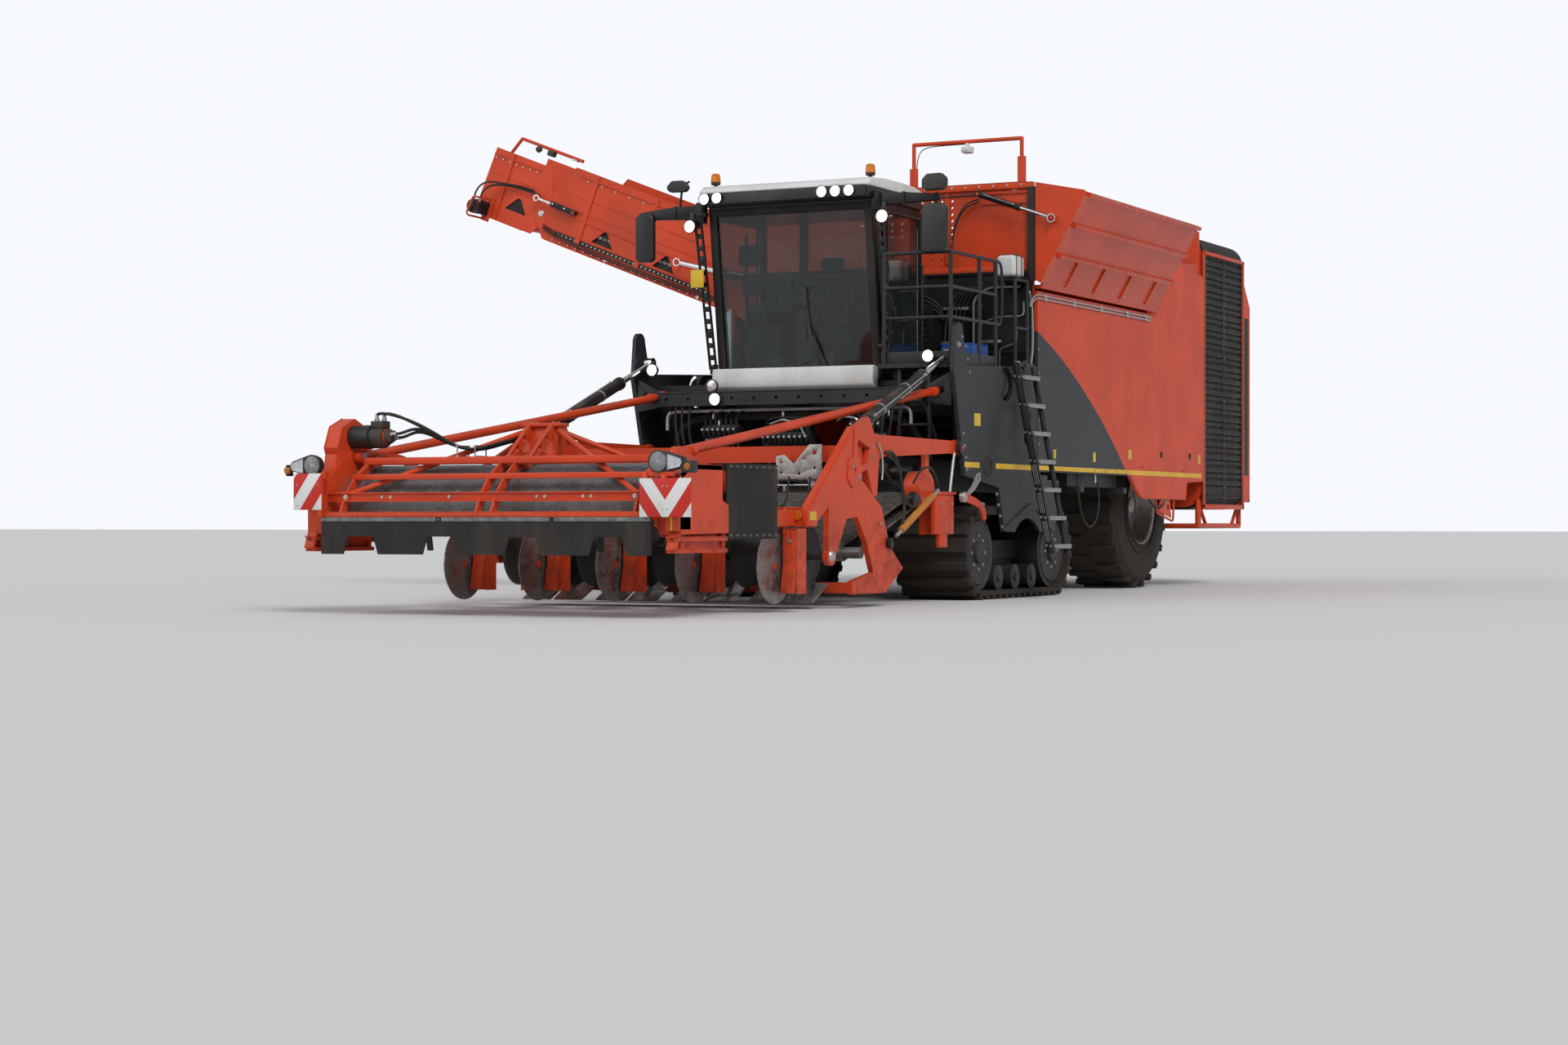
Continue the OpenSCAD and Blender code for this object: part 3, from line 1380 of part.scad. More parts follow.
module front_markers() color(white) {
    // Warning boards with their posts and lamps, on the front bar
    for (m = [[-1745, -1475, 830, -1590, -1480], [1420, 1860, 770, 1560, 1440]]) {
        block([m[0], -7090, m[2]], [m[1], -7082, m[2] + 290]);
        block([m[4], -7083, 772], [m[4] + 40, -7040 - seat, 1110]);
        block([min(m[3], m[4]), -7070, 1080], [max(m[3], m[4] + 40), -7040 - seat, 1110]);
        pin_y(m[3], -7090, -6990, 1175, 150, small_fn);
    }
}

module topper_rotor() color(dark) {
    pin_x(-hood_half - 10, hood_half + 10, rotor_y, rotor_z, 70);
    pin_x(-hood_half + 10, hood_half - 10, rotor_y, rotor_z, 170);
    for (i = [0 : 23])
        let (x = -hood_half + 60 + i * (2 * hood_half - 120) / 23)
            translate([x, rotor_y, rotor_z])
                rotate([i * 137.5, 0, 0])
                    translate([-25, -8, 60])
                        cube([50, 16, rotor_r - 60]);
}

translate(-footprint) {
    main_frame();
    side_plates();
    side_cover_left();
    side_cover_right();
    bunker_tub();
    bunker_floor();
    ring_belt();
    ring_housing();
    engine_block();
    cab_frame();
    cab_glass();
    cab_roof();
    cab_apron();
    driver_seat();
    mirrors();
    work_lamps();
    platform();
    fluid_tank();
    track_belt_left();
    track_belt_right();
    track_frames();
    rear_axle();
    sieving_webs();
    cab_door();
    door_glass();
    ladder();
    bunker_wing();
    wing_barrel();
    wing_rod();
    elevator_inner();
    elevator_outer();
    elevator_barrel();
    elevator_rod();
    knee_barrel();
    knee_rod();
    digger_frame();
    coulter_arms();
    coulter_discs();
    ridge_rollers();
    digging_shares();
    digging_webs();
    lift_barrels();
    lift_rods();
    push_tubes();
    topper_frame();
    topper_hood();
    topper_rubber();
    front_markers();
    topper_rotor();
    knuckle_left();
    knuckle_right();
    rear_wheel_left();
    rear_wheel_right();
}
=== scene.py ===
"""Dresses the potato harvester's CAD frame: detail pieces, finishes, stage, light and camera."""

import json
import math

import bmesh
import bpy
from bpy.props import FloatProperty, FloatVectorProperty, PointerProperty
from mathutils import Matrix, Vector


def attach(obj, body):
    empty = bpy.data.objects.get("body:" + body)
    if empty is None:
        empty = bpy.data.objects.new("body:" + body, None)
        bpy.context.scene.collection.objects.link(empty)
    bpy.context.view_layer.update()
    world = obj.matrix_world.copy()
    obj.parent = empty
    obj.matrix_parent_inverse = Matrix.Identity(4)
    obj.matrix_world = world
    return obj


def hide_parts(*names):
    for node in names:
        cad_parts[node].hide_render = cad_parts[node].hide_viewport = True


bl_info = {
    "name": "Potato harvester dressing",
    "version": (1, 0, 0),
    "blender": (4, 5, 0),
    "location": "View3D > Sidebar > Harvester",
    "description": "Builds the harvester's detail pieces, finishes and studio stage",
    "category": "Object",
}

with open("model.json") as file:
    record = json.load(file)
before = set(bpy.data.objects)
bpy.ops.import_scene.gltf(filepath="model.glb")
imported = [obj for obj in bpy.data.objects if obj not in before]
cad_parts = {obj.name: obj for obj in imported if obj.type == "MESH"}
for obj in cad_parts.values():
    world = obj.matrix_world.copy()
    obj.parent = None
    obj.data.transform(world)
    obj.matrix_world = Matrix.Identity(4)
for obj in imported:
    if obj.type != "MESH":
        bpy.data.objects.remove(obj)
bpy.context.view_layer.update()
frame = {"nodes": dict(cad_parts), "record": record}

# Places in metres that the source of the solids uses too
PLATE_Y = -1.45
SILL_Z = 1.23
AXLE_Y, AXLE_Z = 4.25, 0.925
# Spacing of the coulter discs along X, as on the solids
DISC_PITCH = 0.74625
# The details are modelled with the midplane at X = 0 and the tracks' centre at Y = 0, then moved by this
OFFSET = Vector((1.31, -0.18, 0))

# The side covers' dark field lies inside this circle, whose centre is ahead of PLATE_Y and below SILL_Z
FIELD_AHEAD, FIELD_DOWN, FIELD_RADIUS = 0.74, 6.64, 8.4
# Width of a red and a white stripe together, along X, and how far a stripe runs sideways per metre of height
STRIPE_RUN, STRIPE_SLANT = 0.235, 0.72
# Places along X of the ribs on the dark sheet of painted shade on the bunker's front wall
SHADE_SHEET_RIBS = (-0.74, -0.1, 0.52, 1.12, 1.62)


# Colours and sizes that a user would change

def colour_setting(name, description, default):
    return FloatVectorProperty(
        name=name, description=description, subtype="COLOR", size=3, default=default, min=0, max=1)


class FinishSettings(bpy.types.PropertyGroup):
    paint_red: colour_setting("Machine red", "Base colour of the red paint", (0.70, 0.065, 0.016))
    paint_dark: colour_setting("Chassis grey", "Base colour of the dark grey paint", (0.028, 0.03, 0.033))
    dust: colour_setting("Field dust", "Colour of the dry soil on the paint", (0.16, 0.12, 0.085))
    soil: colour_setting("Soil", "Colour of the damp soil on tracks, tyres and tools", (0.035, 0.026, 0.019))
    dust_amount: FloatProperty(
        name="Dust amount", description="How much dust lies on the paint", default=0.45, min=0, max=1,
        subtype="FACTOR")
    stripe_yellow: colour_setting("Stripe yellow", "Colour of the stripe along the sides", (0.85, 0.5, 0.02))


class StageSettings(bpy.types.PropertyGroup):
    camera_at: FloatVectorProperty(
        name="Camera place", description="Where the camera stands", subtype="XYZ", unit="LENGTH", size=3,
        default=(12.83, -25.002, 0.73))
    camera_turn: FloatProperty(
        name="Camera turn", description="Turn of the view away from the machine's length", default=math.radians(26.633),
        unit="ROTATION")
    camera_lens: FloatProperty(
        name="Lens", description="Focal length on a 36 mm wide sensor", default=62.81, min=10, max=300, unit="CAMERA")
    floor_size: FloatProperty(
        name="Floor size", description="Side of the square floor", default=400, min=20, unit="LENGTH")


# Small builders

def shade_of(colour, share):
    """The colour at a share of its brightness."""
    return tuple(c * share for c in colour)


def linear_mix(nodes, links, fac, a, b):
    """A colour mix whose inputs are sockets or plain colours."""
    mix = nodes.new("ShaderNodeMix")
    mix.data_type = "RGBA"
    for socket, value in ((mix.inputs["Factor"], fac), (mix.inputs["A"], a), (mix.inputs["B"], b)):
        if isinstance(value, bpy.types.NodeSocket):
            links.new(value, socket)
        elif isinstance(value, (int, float)):
            socket.default_value = value
        else:
            socket.default_value = (*value, 1) if len(value) == 3 else value
    return mix.outputs["Result"]


def calc(nodes, links, operation, a, b=None, c=None, clamp=False):
    """A Math node on sockets or numbers."""
    node = nodes.new("ShaderNodeMath")
    node.operation = operation
    node.use_clamp = clamp
    for socket, value in zip(node.inputs, (a, b, c)):
        if isinstance(value, bpy.types.NodeSocket):
            links.new(value, socket)
        elif value is not None:
            socket.default_value = value
    return node.outputs[0]


def ramp(nodes, links, fac, low, high):
    """Maps low..high of a socket smoothly to 0..1."""
    node = nodes.new("ShaderNodeMapRange")
    node.interpolation_type = "SMOOTHSTEP"
    node.inputs["From Min"].default_value = low
    node.inputs["From Max"].default_value = high
    links.new(fac, node.inputs["Value"])
    return node.outputs["Result"]


def object_point(nodes, links, scale=(1, 1, 1)):
    """The point on the object, in metres, scaled for a texture."""
    point = nodes.new("ShaderNodeTexCoord")
    mapping = nodes.new("ShaderNodeMapping")
    mapping.inputs["Scale"].default_value = scale
    links.new(point.outputs["Object"], mapping.inputs["Vector"])
    return mapping.outputs["Vector"]


def noise(nodes, links, vector, scale, detail=4, rough=0.55):
    node = nodes.new("ShaderNodeTexNoise")
    node.inputs["Scale"].default_value = scale
    node.inputs["Detail"].default_value = detail
    node.inputs["Roughness"].default_value = rough
    links.new(vector, node.inputs["Vector"])
    return node.outputs["Fac"]


def make_dirt_group():
    """Dust masks for every finish: cloudy dust, speckle, and a rise of soil towards the ground."""
    group = bpy.data.node_groups.new("field_dirt", "ShaderNodeTree")
    for name in ("Cloud", "Speckle", "Low", "Upward", "Edge"):
        group.interface.new_socket(name, in_out="OUTPUT", socket_type="NodeSocketFloat")
    nodes, links = group.nodes, group.links
    out = nodes.new("NodeGroupOutput")
    vector = object_point(nodes, links)
    streaks = object_point(nodes, links, (1, 1, 0.35))
    cloud = ramp(nodes, links, noise(nodes, links, streaks, 2.3, 6, 0.6), 0.42, 0.68)
    speckle = ramp(nodes, links, noise(nodes, links, vector, 55, 3, 0.7), 0.58, 0.72)
    point = nodes.new("ShaderNodeTexCoord")
    split = nodes.new("ShaderNodeSeparateXYZ")
    links.new(point.outputs["Object"], split.inputs[0])
    wobble = calc(nodes, links, "MULTIPLY", noise(nodes, links, vector, 5, 5), 0.7)
    height = calc(nodes, links, "SUBTRACT", split.outputs["Z"], wobble)
    low = calc(nodes, links, "SUBTRACT", 1, ramp(nodes, links, height, -0.1, 0.75))
    geometry = nodes.new("ShaderNodeNewGeometry")
    normal = nodes.new("ShaderNodeSeparateXYZ")
    links.new(geometry.outputs["Normal"], normal.inputs[0])
    upward = ramp(nodes, links, normal.outputs["Z"], 0.45, 0.95)
    edge = ramp(nodes, links, geometry.outputs["Pointiness"], 0.53, 0.6)
    for name, value in (("Cloud", cloud), ("Speckle", speckle), ("Low", low), ("Upward", upward), ("Edge", edge)):
        links.new(value, out.inputs[name])
    return group


class Finish:
    """A material with one Principled shader whose colour, roughness and bump are being wired."""

    def __init__(self, name, **constants):
        self.material = bpy.data.materials.new(name)
        self.material.use_nodes = True
        self.nodes = self.material.node_tree.nodes
        self.links = self.material.node_tree.links
        self.shader = self.nodes["Principled BSDF"]
        for key, value in constants.items():
            socket = self.shader.inputs[key.replace("_", " ").title().replace("Ior", "IOR")]
            socket.default_value = (*value, 1) if isinstance(value, tuple) and len(value) == 3 else value
        self.dirt = self.nodes.new("ShaderNodeGroup")
        self.dirt.node_tree = bpy.data.node_groups["field_dirt"]

    def mask(self, name, amount=1.0):
        return calc(self.nodes, self.links, "MULTIPLY", self.dirt.outputs[name], amount)

    def both(self, a, b):
        return calc(self.nodes, self.links, "MULTIPLY", a, b, clamp=True)

    def either(self, a, b):
        return calc(self.nodes, self.links, "MAXIMUM", a, b)

    def noise(self, scale, detail=4, rough=0.55, stretch=(1, 1, 1)):
        return noise(self.nodes, self.links, object_point(self.nodes, self.links, stretch), scale, detail, rough)

    def mix(self, fac, a, b):
        return linear_mix(self.nodes, self.links, fac, a, b)

    def ramp(self, value, low, high):
        return ramp(self.nodes, self.links, value, low, high)

    def colour(self, socket):
        self.links.new(socket, self.shader.inputs["Base Color"])

    def roughness(self, fac, clean, dirty):
        node = self.nodes.new("ShaderNodeMapRange")
        node.inputs["To Min"].default_value = clean
        node.inputs["To Max"].default_value = dirty
        self.links.new(fac, node.inputs["Value"])
        self.links.new(node.outputs["Result"], self.shader.inputs["Roughness"])

    def bump(self, height, strength, distance):
        node = self.nodes.new("ShaderNodeBump")
        node.inputs["Strength"].default_value = strength
        node.inputs["Distance"].default_value = distance
        self.links.new(height, node.inputs["Height"])
        self.links.new(node.outputs["Normal"], self.shader.inputs["Normal"])

    def place(self):
        """The point, measured from the midplane and the tracks' centre, as separate X, Y and Z sockets."""
        point = self.nodes.new("ShaderNodeTexCoord")
        mapping = self.nodes.new("ShaderNodeMapping")
        mapping.inputs["Location"].default_value = -OFFSET
        split = self.nodes.new("ShaderNodeSeparateXYZ")
        self.links.new(point.outputs["Object"], mapping.inputs["Vector"])
        self.links.new(mapping.outputs["Vector"], split.inputs[0])
        return split.outputs

    def calc(self, operation, a, b=None, c=None, clamp=False):
        return calc(self.nodes, self.links, operation, a, b, c, clamp)


def painted(name, colour, rough=0.32, dust_share=1.0, base=None):
    """Gloss paint with slow colour variation, cloudy dust and soil low down."""
    looks = bpy.context.scene.harvester_finish
    f = Finish(name, specular_ior_level=0.28, coat_weight=0.05, coat_roughness=0.25)
    shade = f.ramp(f.noise(1.7, 3), 0.3, 0.7)
    darker = shade_of(colour, 0.82)
    clean = f.mix(shade, darker, colour) if base is None else base(f, darker, colour)
    dust = f.either(f.both(f.mask("Cloud", 0.6), f.mask("Upward", 1.0)), f.mask("Cloud", 0.1))
    dust = f.either(dust, f.mask("Speckle", 0.1))
    dust = f.calc("MULTIPLY", dust, looks.dust_amount * 2 * dust_share, clamp=True)
    dusty = f.mix(dust, clean, tuple(looks.dust))
    muddy = f.both(f.mask("Low", 0.6), f.ramp(f.noise(9, 6, 0.7), 0.35, 0.75))
    f.colour(f.mix(muddy, dusty, tuple(looks.soil)))
    f.roughness(f.either(dust, muddy), rough, 0.85)
    f.bump(f.either(f.mask("Speckle", 0.5), muddy), 0.25, 0.002)
    return f.material


def side_cover_base(f, darker, colour):
    """Red panel whose front lower part is dark grey, up to a long arc."""
    place = f.place()
    dy = f.calc("SUBTRACT", place["Y"], PLATE_Y - FIELD_AHEAD)
    dz = f.calc("SUBTRACT", place["Z"], SILL_Z - FIELD_DOWN)
    reach = f.calc("SQRT", f.calc("ADD", f.calc("MULTIPLY", dy, dy), f.calc("MULTIPLY", dz, dz)))
    dark = f.calc("LESS_THAN", reach, FIELD_RADIUS)
    shade = f.ramp(f.noise(1.7, 3), 0.3, 0.7)
    body = f.mix(shade, darker, colour)
    looks = bpy.context.scene.harvester_finish
    return f.mix(dark, body, tuple(looks.paint_dark))


def striped_base(middle, top, mirrored=False):
    """Red and white stripes that slant away from a place on the top edge, mirrored about it on request."""
    def base(f, darker, colour):
        place = f.place()
        across = f.calc("SUBTRACT", place["X"], middle)
        if mirrored:
            across = f.calc("ABSOLUTE", across)
        down = f.calc("SUBTRACT", top, place["Z"])
        run = f.calc("ADD", across, f.calc("MULTIPLY", down, STRIPE_SLANT))
        stripe = f.calc("LESS_THAN", f.calc("FRACT", f.calc("DIVIDE", run, STRIPE_RUN)), 0.5)
        grain = f.ramp(f.noise(900, 2), 0.35, 0.65)
        white = f.mix(grain, (0.66, 0.66, 0.65), (0.78, 0.78, 0.77))
        red = f.mix(grain, (0.5, 0.02, 0.012), (0.62, 0.03, 0.018))
        return f.mix(stripe, white, red)
    return base


def worn_steel(name, colour, rough=0.38, soil_share=0.6):
    looks = bpy.context.scene.harvester_finish
    f = Finish(name, metallic=0.9)
    scratch = f.ramp(f.noise(60, 4, 0.6, (1, 0.1, 1)), 0.35, 0.7)
    bare = f.mix(scratch, shade_of(colour, 0.7), colour)
    soil = f.calc("MULTIPLY", f.ramp(f.noise(9, 6, 0.7), 0.4, 0.62), soil_share)
    f.colour(f.mix(soil, bare, tuple(looks.soil)))
    metal = f.calc("SUBTRACT", 0.9, f.calc("MULTIPLY", soil, 0.9))
    f.links.new(metal, f.shader.inputs["Metallic"])
    f.roughness(soil, rough, 0.9)
    f.bump(f.either(soil, scratch), 0.3, 0.002)
    return f.material


def rubbery(name, colour, soil_share=0.5, grain=220):
    looks = bpy.context.scene.harvester_finish
    f = Finish(name, specular_ior_level=0.35)
    soil = f.ramp(f.noise(8, 7, 0.7), 0.42, 0.6)
    soil = f.calc("MULTIPLY", f.either(soil, f.mask("Low", soil_share)), soil_share, clamp=True)
    dusty = f.mix(f.mask("Cloud", 0.35), colour, shade_of(looks.dust, 0.6))
    f.colour(f.mix(soil, dusty, tuple(looks.soil)))
    f.roughness(soil, 0.62, 0.95)
    f.bump(f.either(f.noise(grain, 3), soil), 0.3, 0.003)
    return f.material


def moulded(name, colour, rough=0.35, dust_share=0.5):
    looks = bpy.context.scene.harvester_finish
    f = Finish(name, specular_ior_level=0.5)
    dust = f.calc("MULTIPLY", f.either(f.mask("Cloud", 0.5), f.mask("Speckle", 0.3)), dust_share, clamp=True)
    f.colour(f.mix(dust, colour, tuple(looks.dust)))
    f.roughness(dust, rough, 0.8)
    f.bump(f.noise(400, 2), 0.06, 0.0006)
    return f.material


def tinted_glass(name, colour):
    f = Finish(name, roughness=0.03, transmission_weight=0.985, ior=1.45, specular_ior_level=0.5)
    dust = f.both(f.mask("Cloud", 0.1), f.mask("Speckle", 1.0))
    f.colour(f.mix(dust, colour, shade_of(colour, 0.6)))
    return f.material


def chrome_rod(name):
    f = Finish(name, metallic=1.0)
    smear = f.ramp(f.noise(22, 5, 0.6, (1, 1, 0.3)), 0.45, 0.75)
    f.colour(f.mix(f.calc("MULTIPLY", smear, 0.4), (0.78, 0.79, 0.8), (0.3, 0.27, 0.24)))
    f.roughness(smear, 0.12, 0.4)
    return f.material


def woven(name, colour):
    f = Finish(name, sheen_weight=0.3)
    weave = f.ramp(f.noise(420, 2, 0.5), 0.35, 0.65)
    f.colour(f.mix(weave, shade_of(colour, 0.6), colour))
    f.shader.inputs["Roughness"].default_value = 0.9
    f.bump(weave, 0.3, 0.001)
    return f.material


def clear_lens(name, colour, transmission=0.85):
    f = Finish(name, roughness=0.08, transmission_weight=transmission, ior=1.45)
    ribs = f.ramp(f.noise(130, 2, 0.5, (1, 1, 0.1)), 0.4, 0.6)
    f.colour(f.mix(ribs, shade_of(colour, 0.8), colour))
    f.bump(ribs, 0.2, 0.001)
    return f.material


def bright_metal(name, colour, rough, grain=70):
    """Zinc plate, bright steel or a lamp's mirror: fine mottling and a little dust."""
    looks = bpy.context.scene.harvester_finish
    f = Finish(name, metallic=0.95)
    spangle = f.ramp(f.noise(grain, 3, 0.6), 0.35, 0.65)
    dust = f.both(f.mask("Cloud", 0.35), f.ramp(f.noise(9, 5, 0.6), 0.45, 0.65))
    f.colour(f.mix(dust, f.mix(spangle, shade_of(colour, 0.78), colour), tuple(looks.dust)))
    f.roughness(f.either(dust, f.calc("MULTIPLY", spangle, 0.3)), rough, 0.75)
    f.bump(spangle, 0.1, 0.0008)
    return f.material


def screen(name):
    """A monitor's dark glass with a dim glow in blocks."""
    f = Finish(name, roughness=0.1, emission_strength=0.25)
    blocks = f.ramp(f.noise(26, 1, 0.3), 0.45, 0.5)
    f.colour(f.mix(blocks, (0.01, 0.012, 0.015), (0.03, 0.05, 0.06)))
    f.links.new(f.mix(blocks, (0.01, 0.02, 0.03), (0.12, 0.25, 0.3)), f.shader.inputs["Emission Color"])
    return f.material


def lit_lens(name, colour, strength):
    f = Finish(name, roughness=0.12, emission_strength=strength)
    ribs = f.ramp(f.noise(160, 2, 0.5), 0.4, 0.6)
    f.colour(f.mix(ribs, shade_of(colour, 0.85), colour))
    f.shader.inputs["Emission Color"].default_value = (*colour, 1)
    f.bump(ribs, 0.15, 0.001)
    return f.material


finishes = {}


def make_finishes():
    looks = bpy.context.scene.harvester_finish
    make_dirt_group()
    red, dark = tuple(looks.paint_red), tuple(looks.paint_dark)
    finishes.update({
        "red_panel": painted("red_paint", red),
        "side_cover": painted("side_cover_paint", red, 0.38, 0.45, side_cover_base),
        "frame_dark": painted("chassis_grey_paint", dark, 0.42),
        "belt_black": rubbery("belt_rubber", (0.02, 0.02, 0.021), 0.55),
        "cab_black": painted("cab_black_paint", (0.012, 0.012, 0.013), 0.25, 0.5),
        "glass": tinted_glass("cab_glass_tint", (0.44, 0.5, 0.51)),
        "white_plastic": moulded("white_moulding", (0.72, 0.72, 0.7), 0.3),
        "seat_fabric": woven("seat_cloth", (0.05, 0.05, 0.055)),
        "black_plastic": moulded("black_moulding", (0.014, 0.014, 0.015), 0.42),
        "lamp": moulded("lamp_shell", (0.02, 0.02, 0.02), 0.4),
        "track_rubber": rubbery("track_rubber", (0.022, 0.021, 0.02), 0.95, 160),
        "web_steel": worn_steel("web_bars", (0.3, 0.29, 0.27), 0.42, 0.75),
        "cylinder_dark": painted("cylinder_black_paint", (0.012, 0.012, 0.013), 0.3),
        "rod_chrome": chrome_rod("rod_chrome"),
        "tool_steel": worn_steel("tool_steel", (0.42, 0.4, 0.38), 0.3, 0.5),
        "grey_sheet": worn_steel("grey_sheet", (0.3, 0.3, 0.3), 0.5, 0.35),
        "rubber_flap": rubbery("flap_rubber", (0.012, 0.012, 0.013), 0.4, 120),
        "tyre": rubbery("tyre_rubber", (0.02, 0.02, 0.02), 0.9, 140),
        "marker_single": painted("marker_single_stripes", red, 0.4, 0.4, striped_base(-1.945, 1.12)),
        "marker_vee": painted("marker_vee_stripes", red, 0.4, 0.4, striped_base(1.64, 1.06, True)),
        "plate_yellow": painted("blank_plate_yellow", (0.75, 0.5, 0.04), 0.35, 0.3),
        "stripe_yellow": painted("stripe_yellow", tuple(looks.stripe_yellow), 0.35, 0.4),
        "ochre": painted("ochre_paint", (0.55, 0.2, 0.03), 0.45, 0.7),
        "zinc": bright_metal("zinc_fittings", (0.62, 0.61, 0.58), 0.3),
        "galvanised": bright_metal("galvanised_sheet", (0.5, 0.49, 0.46), 0.42, 40),
        "pipe_silver": bright_metal("silver_pipe", (0.66, 0.66, 0.65), 0.28, 120),
        "reflector": bright_metal("lamp_reflector", (0.85, 0.85, 0.86), 0.1, 160),
        "clear_lens": clear_lens("clear_lens", (0.9, 0.92, 0.93)),
        "amber_lens": clear_lens("amber_lens", (0.95, 0.32, 0.02), 0.55),
        "red_lens": clear_lens("red_lens", (0.7, 0.01, 0.01), 0.4),
        "lit_white": lit_lens("lit_lens", (1.0, 0.97, 0.9), 4.0),
        "screen_glass": screen("monitor_glass"),
        "hose_rubber": rubbery("hose_rubber", (0.013, 0.013, 0.014), 0.15, 300),
        "hose_dusty": rubbery("dusty_hose_rubber", (0.03, 0.029, 0.027), 0.5, 200),
        "crate_blue": moulded("blue_crate", (0.02, 0.12, 0.45), 0.45, 0.6),
        "grille": moulded("grille_black", (0.01, 0.01, 0.011), 0.5, 0.5),
    })


def dress_nodes():
    """Gives every CAD node the finish of its material slot."""
    slots = {row["node"]: row["material_slot"] for row in frame["record"]["subparts"]}
    for name, node in frame["nodes"].items():
        finish = finishes[slots[name]]
        if name in ("side_cover_left", "side_cover_right"):
            finish = finishes["side_cover"]
        node.data.materials.clear()
        node.data.materials.append(finish)


# Shape builder

AXES = {"X": (1, 2, 0), "Y": (0, 2, 1), "Z": (0, 1, 2)}


def bevel(bm, edges, width, segments=2):
    bmesh.ops.bevel(bm, geom=edges, offset=width, offset_type="OFFSET", segments=segments, profile=0.5,
                    affect="EDGES", material=-1, clamp_overlap=True)


def circle(a, b, radius, count, phase=0.0):
    """Points evenly round the centre (a, b); a phase of 0.5 turns them by half a step."""
    turns = [2 * math.pi * (i + phase) / count for i in range(count)]
    return [(a + radius * math.cos(turn), b + radius * math.sin(turn)) for turn in turns]


def spot(axis, a, b, along):
    """A point whose place along the axis is `along`, and whose other two coordinates are a and b."""
    point = [0.0, 0.0, 0.0]
    first, second, third = AXES[axis]
    point[first], point[second], point[third] = a, b, along
    return Vector(point)


def rounded(points, radius, steps=4):
    """The points of a path whose inner corners are rounded."""
    points = [Vector(p) for p in points]
    path = [points[0]]
    for before, corner, after in zip(points, points[1:], points[2:]):
        a, b = before - corner, after - corner
        reach = min(radius, a.length * 0.48, b.length * 0.48)
        a, b = corner + a.normalized() * reach, corner + b.normalized() * reach
        for i in range(steps + 1):
            t = i / steps
            path.append(a * (1 - t) ** 2 + corner * 2 * t * (1 - t) + b * t ** 2)
    return path + [points[-1]]


def curve_mesh(points, radius, sides, smooth):
    """The mesh of a round tube along the points; smooth makes a hose's easy curve of them."""
    curve = bpy.data.curves.new("path", "CURVE")
    curve.dimensions = "3D"
    curve.bevel_depth = radius
    curve.bevel_resolution = max(0, sides // 4 - 1)
    curve.use_fill_caps = True
    curve.resolution_u = 5
    spline = curve.splines.new("NURBS" if smooth else "POLY")
    spline.points.add(len(points) - 1)
    for target, point in zip(spline.points, points):
        target.co = (*point, 1)
    if smooth:
        spline.order_u = min(4, len(points))
        spline.use_endpoint_u = True
    holder = bpy.data.objects.new("path", curve)
    mesh = bpy.data.meshes.new_from_object(holder)
    bpy.data.objects.remove(holder)
    bpy.data.curves.remove(curve)
    return mesh


